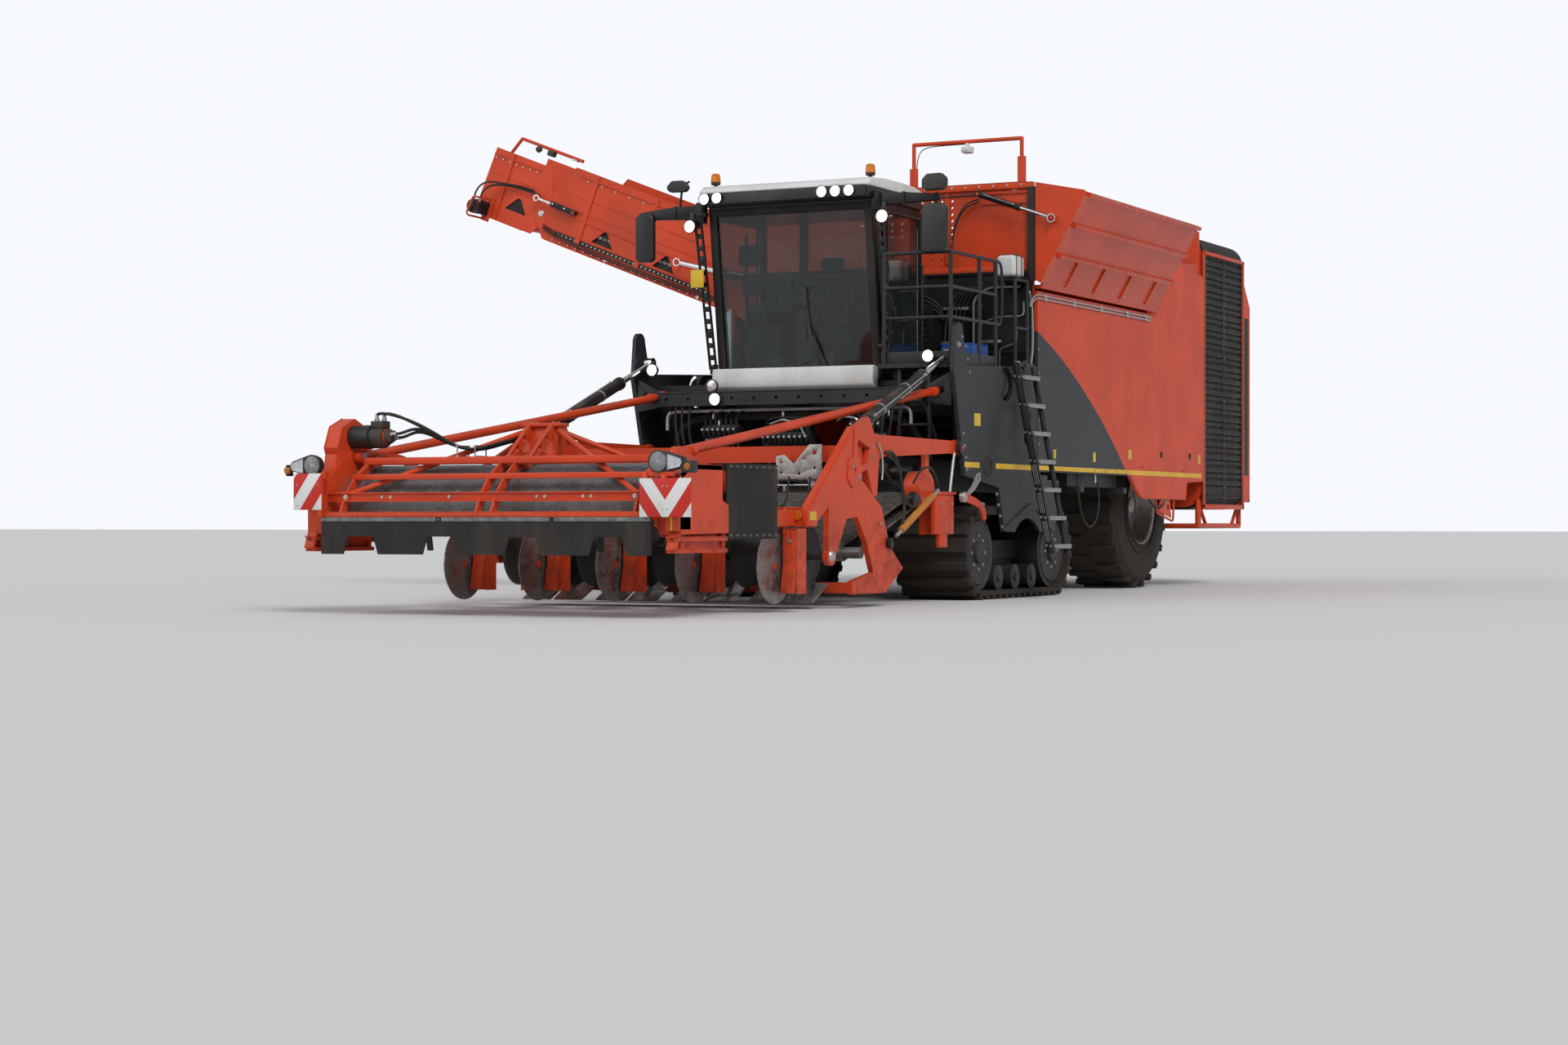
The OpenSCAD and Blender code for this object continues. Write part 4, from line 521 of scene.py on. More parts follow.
class Shape:
    """A mesh being built from bmesh operators, in metres in the machine's own frame."""

    def __init__(self):
        self.bm = bmesh.new()

    def soften(self, verts, edge, segments=2):
        if edge:
            edges = list(dict.fromkeys(e for v in verts for e in v.link_edges))
            bevel(self.bm, edges, edge, segments)

    def box(self, lo, hi, edge=0.0, segments=2):
        lo, hi = Vector(lo), Vector(hi)
        place = Matrix.Translation((lo + hi) / 2) @ Matrix.Diagonal((*(hi - lo), 1))
        made = bmesh.ops.create_cube(self.bm, size=1, matrix=place)["verts"]
        self.soften(made, edge, segments)
        return self

    def slab(self, x, half, low, high, edge=0.0, segments=2):
        """A box about x, half as wide to either side; low and high are its corners along Y and Z."""
        return self.box((x - half, *low), (x + half, *high), edge, segments)

    def bar(self, a, b, width, depth, up=(0, 0, 1), edge=0.0):
        """A flat bar from a to b; depth is measured along up."""
        a, b, up = Vector(a), Vector(b), Vector(up)
        along = (b - a).normalized()
        side = along.cross(up).normalized()
        up = side.cross(along)
        turn = Matrix((along, side, up)).transposed().to_4x4()
        size = Matrix.Diagonal(((b - a).length, width, depth, 1))
        made = bmesh.ops.create_cube(self.bm, size=1, matrix=Matrix.Translation((a + b) / 2) @ turn @ size)["verts"]
        self.soften(made, edge)
        return self

    def rod(self, a, b, radius, end_radius=None, sides=16, edge=0.0):
        a, b = Vector(a), Vector(b)
        turn = (b - a).to_track_quat("Z", "Y").to_matrix().to_4x4()
        made = bmesh.ops.create_cone(
            self.bm, cap_ends=True, cap_tris=False, segments=sides, radius1=radius,
            radius2=radius if end_radius is None else end_radius, depth=(b - a).length,
            matrix=Matrix.Translation((a + b) / 2) @ turn)["verts"]
        if edge:
            rims = list(dict.fromkeys(e for v in made for e in v.link_edges if len(e.link_faces) == 2
                                      and any(len(f.verts) > 4 for f in e.link_faces)))
            bevel(self.bm, rims, edge)
        return self

    def bolt(self, at, out, size=0.012):
        """A hexagon head on a washer, standing out of a face."""
        at, out = Vector(at), Vector(out).normalized()
        self.rod(at - out * size * 0.3, at + out * size * 0.22, size * 1.25, sides=12)
        self.rod(at + out * size * 0.2, at + out * size * 0.85, size * 0.9, sides=6)
        return self

    def bolts(self, first, last, count, out, size=0.012):
        first, last = Vector(first), Vector(last)
        for i in range(count):
            self.bolt(first.lerp(last, i / (count - 1)), out, size)
        return self

    def bolt_ring(self, centre, reach, count, side, size, phase=0.0):
        """Bolts round a line along X, standing out to the left (1) or the right (-1)."""
        for y, z in circle(centre[1], centre[2], reach, count, phase):
            self.bolt((centre[0], y, z), (side, 0, 0), size)
        return self

    def plate(self, outline, axis, t0, t1, holes=(), edge=0.0, segments=2):
        """A flat outline thickened along an axis; holes are (a, b, radius, sides)."""
        flat = bmesh.new()
        loops = [list(outline)] + [circle(*hole) for hole in holes]
        rims = []
        for loop in loops:
            verts = [flat.verts.new(spot(axis, a, b, t0)) for a, b in loop]
            rims += [flat.edges.new((verts[i - 1], verts[i])) for i in range(len(verts))]
        if holes:
            bmesh.ops.triangle_fill(flat, use_beauty=True, use_dissolve=False, edges=rims)
        else:
            bmesh.ops.contextual_create(flat, geom=rims)
        made = bmesh.ops.extrude_face_region(flat, geom=list(flat.faces))
        lifted = [g for g in made["geom"] if isinstance(g, bmesh.types.BMVert)]
        bmesh.ops.translate(flat, verts=lifted, vec=spot(axis, 0, 0, t1 - t0))
        bmesh.ops.recalc_face_normals(flat, faces=list(flat.faces))
        if edge:
            sharp = [e for e in flat.edges if len(e.link_faces) == 2 and e.calc_face_angle(0) > math.radians(30)]
            bevel(flat, sharp, edge, segments)
        self.take(flat)
        return self

    def take(self, other):
        """Adds another bmesh's faces and frees it."""
        mesh = bpy.data.meshes.new("part")
        other.to_mesh(mesh)
        other.free()
        self.bm.from_mesh(mesh)
        bpy.data.meshes.remove(mesh)

    def lathe(self, profile, centre, axis="X", steps=32):
        """Turns a profile of (radius, place along the axis) points round the axis through the centre."""
        part = bmesh.new()
        centre = Vector(centre)
        line = {"X": Vector((1, 0, 0)), "Y": Vector((0, 1, 0)), "Z": Vector((0, 0, 1))}[axis]
        out = {"X": Vector((0, 0, 1)), "Y": Vector((0, 0, 1)), "Z": Vector((1, 0, 0))}[axis]
        verts = [part.verts.new(centre + out * r + line * t) for r, t in profile]
        edges = [part.edges.new(pair) for pair in zip(verts, verts[1:])]
        bmesh.ops.spin(part, geom=verts + edges, cent=centre, axis=line, dvec=(0, 0, 0), angle=2 * math.pi,
                       steps=steps, use_merge=True, use_duplicate=False)
        bmesh.ops.remove_doubles(part, verts=list(part.verts), dist=1e-5)
        bmesh.ops.recalc_face_normals(part, faces=list(part.faces))
        self.take(part)
        return self

    def pipe(self, points, radius, bend=0.06, sides=8):
        """A rigid tube with rounded bends."""
        mesh = curve_mesh(rounded(points, bend), radius, sides, False)
        self.bm.from_mesh(mesh)
        bpy.data.meshes.remove(mesh)
        return self

    def hose(self, points, radius, sides=8):
        """A hose on one easy curve."""
        mesh = curve_mesh([Vector(p) for p in points], radius, sides, True)
        self.bm.from_mesh(mesh)
        bpy.data.meshes.remove(mesh)
        return self

    def ball(self, at, radius, squash=(1, 1, 1), rings=8):
        place = Matrix.Translation(at) @ Matrix.Diagonal((*[radius * s for s in squash], 1))
        bmesh.ops.create_uvsphere(self.bm, u_segments=rings * 2, v_segments=rings, radius=1, matrix=place)
        return self

    def turned(self, matrix):
        bmesh.ops.transform(self.bm, matrix=matrix, verts=list(self.bm.verts))
        return self

    def both_sides(self):
        """Adds the mirror image on the machine's other side."""
        bmesh.ops.mirror(self.bm, geom=list(self.bm.verts) + list(self.bm.edges) + list(self.bm.faces),
                         matrix=Matrix.Identity(4), merge_dist=0, axis="X")
        bmesh.ops.recalc_face_normals(self.bm, faces=list(self.bm.faces))
        return self

    def piece(self, name, body, finish, slot=None, angle=35, replaces=()):
        """Makes the object, gives it its finish and hangs it on its body."""
        mesh = bpy.data.meshes.new(name)
        bmesh.ops.translate(self.bm, verts=list(self.bm.verts), vec=OFFSET)
        for face in self.bm.faces:
            face.smooth = True
        self.bm.to_mesh(mesh)
        self.bm.free()
        mesh.set_sharp_from_angle(angle=math.radians(angle))
        mesh.materials.append(finishes[finish])
        piece = bpy.data.objects.new(name, mesh)
        bpy.context.scene.collection.objects.link(piece)
        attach(piece, body)
        if replaces:
            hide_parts(*replaces)
        return piece


def free_hose(name, body, finish, points, radius):
    """A free hose that goes back into the machine at both ends."""
    line = curve_mesh([Vector(p) for p in points], 0, 4, True)
    bpy.data.meshes.remove(line)
    piece = Shape().hose(points, radius).piece(name, body, finish)


# Pieces


def topper_sheets():
    """Strips, folded rails, guards and fixings of the leaf topper."""
    strip = Shape()
    for x0, x1 in ((-1.5, -0.41), (-0.36, 0.62), (0.66, 1.5)):
        strip.box((x0, -7.0605, 0.738), (x1, -7.0545, 0.77), 0.001)
    strip.bolts((-1.46, -7.0605, 0.754), (1.46, -7.0605, 0.754), 20, (0, -1, 0), 0.007)
    strip.piece("topper_flap_strip", "topper", "grey_sheet")
    # Folded rails over the hood, their lips and the slotted bracket plates
    rails = Shape()
    rails.box((-1.5, -7.056, 0.772), (1.5, -7.039, 0.815), 0.004)
    rails.box((-1.5, -7.056, 0.806), (1.5, -6.985, 0.815), 0.003)
    for z in (0.894, 0.957):
        rails.box((-1.49, -6.985, z), (1.49, -6.9, z + 0.009), 0.002)
    rails.box((-1.49, -6.963, 0.9), (1.49, -6.958, 0.96), 0.001)
    rails.box((-1.36, -6.84, 1.07), (1.36, -6.815, 1.115), 0.004)
    rails.box((-1.36, -6.83, 1.105), (1.36, -6.77, 1.115), 0.003)
    rails.box((-1.36, -6.675, 1.195), (1.36, -6.655, 1.25), 0.003)
    for x in (-1.33, 1.33):
        rails.bar((x, -6.83, 1.09), (x, -6.63, 1.21), 0.03, 0.02)
    for x in (-0.125, 0.085):
        rails.plate([(-6.62, 1.16), (-6.56, 1.14), (-6.12, 1.46), (-6.05, 1.53), (-6.17, 1.53), (-6.24, 1.475)],
                    "X", x, x + 0.035, [(-6.5, 1.226, 0.022, 14), (-6.38, 1.312, 0.025, 14), (-6.27, 1.392, 0.025, 14)],
                    0.004)
    rails.box((-0.175, -6.19, 1.495), (0.175, -6.03, 1.525), 0.006)
    rails.plate([(-0.42, 1.19), (0.42, 1.19), (0.28, 1.29), (0.17, 1.44), (-0.17, 1.44), (-0.28, 1.29)],
                "Y", -6.02, -6.008, [(-0.21, 1.25, 0.02, 12), (0.21, 1.25, 0.02, 12)], 0.003)
    # Rings and cone brackets that the slanted tubes end in
    for s in (-1, 1):
        rails.slab(s * 1.36, 0.05, (-6.975, 0.957), (-6.9, 0.975), 0.004)
        rails.rod((s * 1.32, -6.975, 0.93), (s * 1.32, -6.958, 0.93), 0.03, sides=20)
        rails.rod((s * 0.14, -6.13, 1.47), (s * 0.10, -6.11, 1.487), 0.034, sides=20, edge=0.006)
    # Stiffening ribs and hinge line behind the hood
    rails.box((-1.49, -5.66, 1.005), (1.49, -5.51, 1.018), 0.003)
    for i in range(7):
        x = -1.35 + i * 0.45
        rails.plate([(-5.66, 0.9), (-5.78, 0.86), (-5.66, 0.62)], "X", x - 0.006, x + 0.006, (), 0.001)
    rails.piece("topper_rails", "topper", "red_panel")
    fixings = Shape()
    for x in (-0.98, -0.9, -0.35, 0.45, 0.52, 0.86, 0.93):
        fixings.bolt((x, -6.963, 0.93), (0, -1, 0), 0.011)
    for s in (-1, 1):
        fixings.bolt((s * 1.32, -6.975, 0.93), (0, -1, 0), 0.016)
    fixings.bolts((-1.42, -5.585, 1.018), (1.42, -5.585, 1.018), 12, (0, 0, 1), 0.01)
    for x in (-0.1, 0.1):
        for y in (-6.15, -6.07):
            fixings.bolt((x, y, 1.525), (0, 0, 1), 0.013)
    # Hexagon bolts round the drive box and the link pins
    fixings.bolt_ring((-1.64, -6.58, 1.33), 0.2, 8, -1, 0.011, 0.5)
    for s in (-1, 1):
        fixings.bolt((s * 1.592, -6.53, 0.724), (s, 0, 0), 0.024)
        fixings.rod((s * 1.42, -6.58, 1.259), (s * 1.415, -6.58, 1.259), 0.034, sides=20)
    # Linchpins and bolt rows of the rubber panel
    fixings.bolts((1.682, -6.13, 1.165), (1.682, -5.36, 1.165), 8, (1, 0, 0), 0.009)
    fixings.bolts((1.682, -6.13, 0.63), (1.682, -5.36, 0.63), 8, (1, 0, 0), 0.009)
    fixings.piece("topper_fixings", "topper", "zinc")
    clamp_bars = Shape()
    clamp_bars.box((1.6822, -6.17, 1.148), (1.686, -5.33, 1.182), 0.001)
    clamp_bars.box((1.6822, -6.17, 0.613), (1.686, -5.33, 0.647), 0.001)
    clamp_bars.piece("rubber_panel_bars", "topper", "belt_black")
    guard = Shape()
    # Folded guard with its lower box, the skid's flanges and their webs
    guard.box((1.595, -7.005, 0.665), (1.7, -6.79, 0.865), 0.012)
    guard.plate([(-6.96, 0.865), (-6.79, 0.865), (-6.79, 0.93), (-6.955, 0.915)], "X", 1.6, 1.698, (), 0.004)
    guard.plate([(-6.965, 0.9), (-6.965, 1.088), (-6.802, 1.168), (-6.292, 1.168), (-6.292, 1.13), (-6.79, 1.13),
                 (-6.93, 1.06), (-6.93, 0.9)], "X", 1.694, 1.7, (), 0.001)
    for s in (-1, 1):
        for z in (0.525, 0.615):
            guard.slab(s * 1.65, 0.045, (-7.02, z), (-6.2, z + 0.008), 0.002)
        guard.plate([(-7.02, 0.53), (-7.0, 0.53), (-6.93, 0.65), (-6.965, 0.66)], "X", s * 1.65 - 0.045,
                    s * 1.65 + 0.045, (), 0.003)
        guard.slab(s * 1.65, 0.004, (-7.0, 0.53), (-6.2, 0.62))
    # Drive box on the right: its folded rim, cover and the chute under it
    guard.plate(circle(-6.58, 1.33, 0.247, 8), "X", -1.646, -1.636, (), 0.004)
    guard.plate([(-6.83, 1.28), (-6.33, 1.28), (-6.36, 0.9), (-6.6, 0.86), (-6.9, 0.92)], "X", -1.63, -1.515, (), 0.01)
    guard.piece("topper_guards", "topper", "red_panel")
    line = Shape()
    line.box((1.64, -7.0065, 0.67), (1.655, -7.0045, 0.86))
    line.box((1.7, -6.965, 0.93), (1.7012, -6.948, 1.08))
    line.plate([(-6.9665, 0.918), (-6.9645, 0.918), (-6.9645, 1.085), (-6.9665, 1.085)], "X", 1.64, 1.655)
    line.piece("guard_yellow_line", "topper", "stripe_yellow")


def topper_motor():
    """Drive motor on the right end with its fittings and the lines across the hood."""
    body = Shape()
    body.lathe([(0, -1.135), (0.05, -1.135), (0.058, -1.15), (0.058, -1.19), (0.085, -1.192), (0.094, -1.21),
                (0.094, -1.29), (0.085, -1.295), (0.085, -1.315), (0.096, -1.32), (0.096, -1.4), (0.086, -1.405),
                (0.086, -1.43), (0.092, -1.435), (0.092, -1.512), (0, -1.512)], (0, -6.6, 1.42), "X", 36)
    body.box((-1.3, -6.67, 1.49), (-1.18, -6.56, 1.545), 0.008)
    body.box((-1.185, -6.65, 1.38), (-1.12, -6.57, 1.47), 0.008)
    body.piece("topper_motor", "topper", "black_plastic")
    fittings = Shape()
    ends = [(-1.27, -6.62, 1.545), (-1.22, -6.59, 1.545), (-1.12, -6.63, 1.44), (-1.12, -6.59, 1.41)]
    for i, (x, y, z) in enumerate(ends):
        up = i < 2
        out = Vector((0, 0, 1)) if up else Vector((1, 0, 0))
        a = Vector((x, y, z))
        fittings.rod(a, a + out * 0.02, 0.021, sides=6)
        fittings.rod(a + out * 0.02, a + out * 0.05, 0.015, sides=12)
        b = a + out * 0.05
        lane = -6.56 + i * 0.035
        free_hose(f"topper_hose_{i + 1}", "topper", "hose_rubber", [
            b, b + out * 0.03 + Vector((0.03, 0, 0.0)), (-0.98, lane - 0.02, 1.56 - i * 0.02),
            (-0.74, lane + 0.02, 1.43 - i * 0.02), (-0.56, lane + 0.06, 1.315), (-0.42, lane + 0.1, 1.31),
            (-0.3, -6.36 + i * 0.03, 1.36), (-0.2, -6.1 + i * 0.03, 1.42), (-0.17, -6.02, 1.40 - i * 0.03),
            (-0.2, -5.97, 1.30), (-0.24 - i * 0.04, -5.9, 1.16), (-0.26 - i * 0.04, -5.75, 1.06),
            (-0.26 - i * 0.04, -5.6, 1.036)], 0.0135)
        fittings.rod((-0.26 - i * 0.04, -5.6, 1.036), (-0.26 - i * 0.04, -5.55, 1.036), 0.017, sides=12)
    for x, lane in ((-0.56, -6.5), (-0.42, -6.46)):
        fittings.slab(x, 0.012, (lane - 0.04, 1.24), (lane + 0.14, 1.262), 0.003)
        fittings.slab(x, 0.012, (lane - 0.04, 1.335), (lane + 0.14, 1.345), 0.003)
        fittings.rod((x, lane - 0.03, 1.25), (x, lane - 0.03, 1.342), 0.006, sides=8)
        fittings.rod((x, lane + 0.13, 1.25), (x, lane + 0.13, 1.342), 0.006, sides=8)
    fittings.box((-0.42, -5.64, 1.01), (-0.2, -5.53, 1.03), 0.004)
    fittings.piece("topper_hose_fittings", "topper", "zinc")
    # Small loops at the top bracket
    for i in range(3):
        r = 0.09 + 0.02 * i
        free_hose(f"bracket_hose_{i + 1}", "topper", "hose_rubber", [
            (-0.3 - i * 0.024, -6.0, 1.2), (-0.34 - i * 0.04, -6.0, 1.2 + r * 1.6), (-0.2, -6.02 + i * 0.02, 1.38 + r),
            (-0.05, -5.99, 1.5 + 0.015 * i), (0.06, -5.97, 1.44), (0.1 + i * 0.03, -5.93, 1.25)], 0.009)


def marker_boards():
    """Striped boards, their posts, headlamps and indicators, in place of the plain markers."""
    for name, x0, x1, z0, finish in (("marker_right", -1.745, -1.475, 0.83, "marker_single"),
                                     ("marker_left", 1.42, 1.86, 0.77, "marker_vee")):
        board = Shape().box((x0, -7.09, z0), (x1, -7.083, z0 + 0.29), 0.003)
        board.piece(name, "topper", finish, replaces=("front_markers",))
    posts = Shape()
    posts.box((-1.52, -7.083, 0.772), (-1.48, -7.0405, 1.11), 0.003)
    posts.box((1.44, -7.083, 0.772), (1.48, -7.0405, 1.11), 0.003)
    posts.box((-1.66, -7.07, 1.075), (-1.46, -7.0405, 1.11), 0.004)
    posts.box((1.44, -7.07, 1.075), (1.7, -7.0405, 1.11), 0.004)
    posts.box((1.6, -7.083, 0.9), (1.64, -7.06, 1.09), 0.003)
    posts.piece("marker_posts", "topper", "red_panel")
    rivets = Shape()
    for x in (-1.71, -1.51, 1.45, 1.62, 1.66, 1.83):
        for z in (0.86, 1.03):
            rivets.bolt((x, -7.09, z - (0.03 if x > 0 else 0)), (0, -1, 0), 0.005)
    rivets.piece("marker_rivets", "topper", "zinc")
    shells, bowls, lenses, bulbs, amber = Shape(), Shape(), Shape(), Shape(), Shape()
    for s in (-1, 1):
        x = s * 1.575
        shells.lathe([(0, 0.07), (0.05, 0.068), (0.072, 0.045), (0.082, 0.005), (0.084, -0.028), (0.078, -0.032),
                      (0.075, -0.024), (0.0, 0.03)], (x, -7.055, 1.185), "Y", 28)
        shells.plate([(x + s * 0.05, 1.105), (x + s * 0.19, 1.135), (x + s * 0.215, 1.175), (x + s * 0.2, 1.215),
                      (x + s * 0.05, 1.262)], "Y", -7.076, -7.0, (), 0.008)
        shells.slab(x, 0.02, (-7.06, 1.105), (-7.02, 1.12), 0.003)
        bowls.lathe([(0.012, 0.02), (0.045, 0.008), (0.07, -0.02), (0.073, -0.02), (0.05, 0.014), (0.012, 0.027)],
                    (x, -7.055, 1.185), "Y", 24)
        bowls.plate([(x + s * 0.085, 1.125), (x + s * 0.18, 1.145), (x + s * 0.2, 1.175), (x + s * 0.19, 1.2),
                     (x + s * 0.085, 1.235)], "Y", -7.0805, -7.0765, (), 0.001)
        lenses.lathe([(0, -0.046), (0.03, -0.044), (0.06, -0.036), (0.076, -0.026), (0.076, -0.022), (0.06, -0.03),
                      (0.03, -0.038), (0, -0.04)], (x, -7.055, 1.185), "Y", 28)
        lenses.plate([(x + s * 0.08, 1.12), (x + s * 0.185, 1.142), (x + s * 0.205, 1.175), (x + s * 0.195, 1.205),
                      (x + s * 0.08, 1.24)], "Y", -7.09, -7.083, (), 0.002)
        bulbs.ball((x, -7.065, 1.185), 0.014, (1, 1.6, 1))
        shells.box((x + s * 0.215 - 0.02, -7.08, 1.1), (x + s * 0.215 + 0.06 * s + 0.02, -7.0, 1.19), 0.006)
        amber.lathe([(0, -0.02), (0.02, -0.018), (0.03, -0.004), (0.03, 0.01), (0, 0.01)],
                    (x + s * 0.245, -7.072, 1.145), "Y", 20)
    shells.piece("headlamp_shells", "topper", "black_plastic")
    bowls.piece("headlamp_reflectors", "topper", "reflector")
    lenses.piece("headlamp_lenses", "topper", "clear_lens")
    bulbs.piece("headlamp_bulbs", "topper", "white_plastic")
    amber.piece("topper_indicators", "topper", "amber_lens")


def cab_shells():
    """Roof, visor and apron; the roof and the apron in place of their plain solids."""
    roof = Shape()
    roof.plate([(-1.88, 3.85), (-1.885, 3.885), (-1.8, 3.935), (-1.5, 3.955), (-1.1, 3.955), (-0.8, 3.945),
                (-0.64, 3.915), (-0.61, 3.88), (-0.61, 3.79), (-0.66, 3.79), (-0.66, 3.85)], "X", -0.89, 0.89, (),
               0.028, 4)
    roof.box((-0.52, -1.45, 3.949), (-0.28, -1.2, 3.9548), 0.002)
    roof.piece("cab_roof_shell", "chassis", "white_plastic", replaces=("cab_roof",))
    visor = Shape()
    visor.plate([(-1.875, 3.742), (-1.868, 3.862), (-0.62, 3.862), (-0.62, 3.742)], "X", -0.885, 0.885, (), 0.012, 3)
    visor.plate([(-1.9, 3.752), (-1.895, 3.86), (-1.86, 3.86), (-1.86, 3.745)], "X", -0.86, 0.86, (), 0.01, 3)
    visor.piece("cab_visor", "chassis", "black_plastic")
    apron = Shape()
    apron.plate([(-1.617, 1.985), (-1.66, 2.02), (-1.667, 2.08), (-1.655, 2.2), (-1.60, 2.204), (-1.53, 2.19),
                 (-1.525, 1.985)], "X", -0.87, 0.83, (), 0.016, 4)
    apron.piece("cab_apron_shell", "chassis", "white_plastic", replaces=("cab_apron",))


def cab_trim():
    """Window seals, door handle and wiper."""
    seals = Shape()
    # Windscreen's dark edge, hinges and lower frame
    front = lambda z: -1.52 - 0.22 * (z - 2.07) / 1.67
    for s in (-1, 1):
        seals.bar((s * 0.815, front(2.12) - 0.004, 2.12), (s * 0.815, front(3.72) - 0.004, 3.72), 0.075, 0.014,
                  (0, -1, 0), 0.003)
    for z, h in ((2.12, 0.09), (3.69, 0.06)):
        seals.bar((-0.85, front(z) - 0.004, z), (0.85, front(z) - 0.004, z), h, 0.014, (0, -1, 0), 0.003)
    for z in (2.155, 3.655):
        seals.bar((-0.78, front(z) + 0.004, z), (0.78, front(z) + 0.004, z), 0.018, 0.02, (0, -1, 0), 0.004)
    # Rear window's and side windows' rubber
    for x0, x1 in ((-0.86, -0.845), (0.912, 0.921)):
        y0, y1 = -1.5, -0.73
        corners = [(y0, 2.17), (y1, 2.17), (y1, 3.64), (y0 - 0.05 if x0 < 0 else y0, 3.64)]
        for a, b in zip(corners, corners[1:] + corners[:1]):
            seals.bar((x0, a[0], a[1]), (x0, b[0], b[1]), 0.02, abs(x1 - x0), (1, 0, 0), 0.003)
    seals.piece("cab_seals", "chassis", "hose_rubber")
    door = Shape()
    door.box((0.916, -1.535, 2.66), (0.935, -1.5, 2.86), 0.006)
    door.pipe([(0.925, -1.52, 2.7), (0.965, -1.52, 2.7), (0.965, -1.52, 2.83), (0.925, -1.52, 2.83)], 0.009, 0.02)
    door.pipe([(0.915, -0.8, 2.5), (0.955, -0.8, 2.5), (0.955, -0.8, 3.2), (0.915, -0.8, 3.2)], 0.012, 0.03)
    door.piece("door_handle", "cab_door", "black_plastic")
    # Wiper with its arm, motor cap and blade
    wiper = Shape()
    wiper.lathe([(0, -0.03), (0.022, -0.028), (0.03, -0.01), (0.03, 0.02), (0, 0.02)], (0.3, -1.545, 2.13), "Y", 20)
    wiper.bar((0.3, -1.575, 2.13), (0.12, -1.625, 2.62), 0.022, 0.012, (0, -1, 0), 0.003)
    wiper.bar((0.13, -1.612, 2.45), (0.11, -1.66, 2.95), 0.014, 0.02, (0, -1, 0), 0.003)
    wiper.bar((-0.12, -1.59, 2.2), (0.1, -1.606, 2.24), 0.012, 0.012, (0, -1, 0), 0.002)
    wiper.piece("wiper", "chassis", "black_plastic")


def cab_posts():
    """Slotted posts beside the windscreen, with the blank plate on the right one."""
    posts = Shape()
    for s, top, low in ((-1, (-0.955, -1.8, 3.7), (-0.885, -1.6, 2.2)), (1, (0.93, -1.72, 3.66), (0.945, -1.57, 2.35))):
        top, low = Vector(top), Vector(low)
        across = Vector((0.032, 0, 0))
        for side in (-1, 1):
            posts.bar(low + across * side, top + across * side, 0.02, 0.022, (0, -1, 0), 0.003)
        count = 13
        for i in range(count + 1):
            at = low.lerp(top, i / count)
            posts.bar(at - across, at + across, 0.05 if i % 3 else 0.09, 0.016, (0, -1, 0), 0.002)
        for end, z in ((low, 0.03), (top, -0.03)):
            x0, x1 = sorted((end.x, s * 0.85))
            posts.box((x0, end.y - 0.02, end.z + z - 0.02), (x1, end.y + 0.04, end.z + z + 0.02), 0.006)
    posts.piece("slotted_posts", "chassis", "cab_black")
    Shape().box((-1.04, -1.775, 2.98), (-0.9, -1.77, 3.15), 0.0015).piece("blank_plate", "chassis", "plate_yellow")


def cab_lamps():
    """Work lamps and beacons, in place of the plain ones."""
    shells, lit, unlit, amber, stalks = Shape(), Shape(), Shape(), Shape(), Shape()
    places = [(-0.82, -1.9, 3.805, 0.052, True), (-0.685, -1.9, 3.81, 0.052, True), (0.42, -1.9, 3.81, 0.052, True),
              (0.56, -1.9, 3.81, 0.052, True), (0.7, -1.9, 3.81, 0.052, True), (-1.01, -1.84, 3.56, 0.058, True),
              (1.01, -1.84, 3.56, 0.058, True), (-1.45, -1.79, 2.2, 0.055, True), (1.45, -1.79, 2.26, 0.055, True),
              (-0.8, -1.79, 2.035, 0.06, False), (-0.76, -1.8, 1.905, 0.058, True)]
    for x, y, z, r, on in places:
        shells.lathe([(0, 0.06), (r * 0.6, 0.055), (r * 0.95, 0.03), (r * 1.08, 0.0), (r * 1.08, -0.022), (r, -0.022),
                      (r * 0.96, -0.008), (0, -0.008)], (x, y, z), "Y", 24)
        (lit if on else unlit).lathe([(0, -0.018), (r * 0.6, -0.016), (r * 0.93, -0.01), (r * 0.93, -0.006),
                                      (0, -0.006)], (x, y, z), "Y", 24)
    for x, y, z in ((-1.01, -1.8, 3.56), (1.01, -1.8, 3.56)):
        stalks.slab(x, 0.02, (y - 0.01, z + 0.04), (y + 0.01, z + 0.14), 0.003)
    for x, z in ((-1.45, 2.2), (1.45, 2.26)):
        stalks.slab(x, 0.015, (-1.75, z - 0.02), (-1.72, z + 0.02), 0.003)
        stalks.rod((x, -1.735, z), (x * 1.13, -1.66, z), 0.014)
    stalks.box((-0.82, -1.77, 1.95), (-0.78, -1.74, 2.0), 0.003)
    stalks.box((-0.78, -1.79, 1.85), (-0.74, -1.76, 1.87), 0.003)
    stalks.rod((-0.8, -1.745, 1.99), (-0.8, -1.745, 2.03), 0.012)
    for x in (-0.88, 0.76):
        stalks.rod((x, -1.56, 3.93), (x, -1.56, 3.985), 0.02)
        stalks.rod((x, -1.56, 3.98), (x, -1.56, 4.01), 0.045, sides=24, edge=0.006)
        amber.lathe([(0, 0.085), (0.03, 0.083), (0.042, 0.07), (0.048, 0.0), (0, 0.0)], (x, -1.56, 4.005), "Z", 28)
    stalks.box((-0.93, -1.6, 3.9), (-0.84, -1.52, 3.935), 0.006)
    shells.piece("lamp_shells", "chassis", "lamp", replaces=("work_lamps",))
    lit.piece("lamp_lenses_lit", "chassis", "lit_white")
    unlit.piece("lamp_lens_unlit", "chassis", "reflector")
    amber.piece("beacon_domes", "chassis", "amber_lens")
    stalks.piece("lamp_brackets", "chassis", "black_plastic")


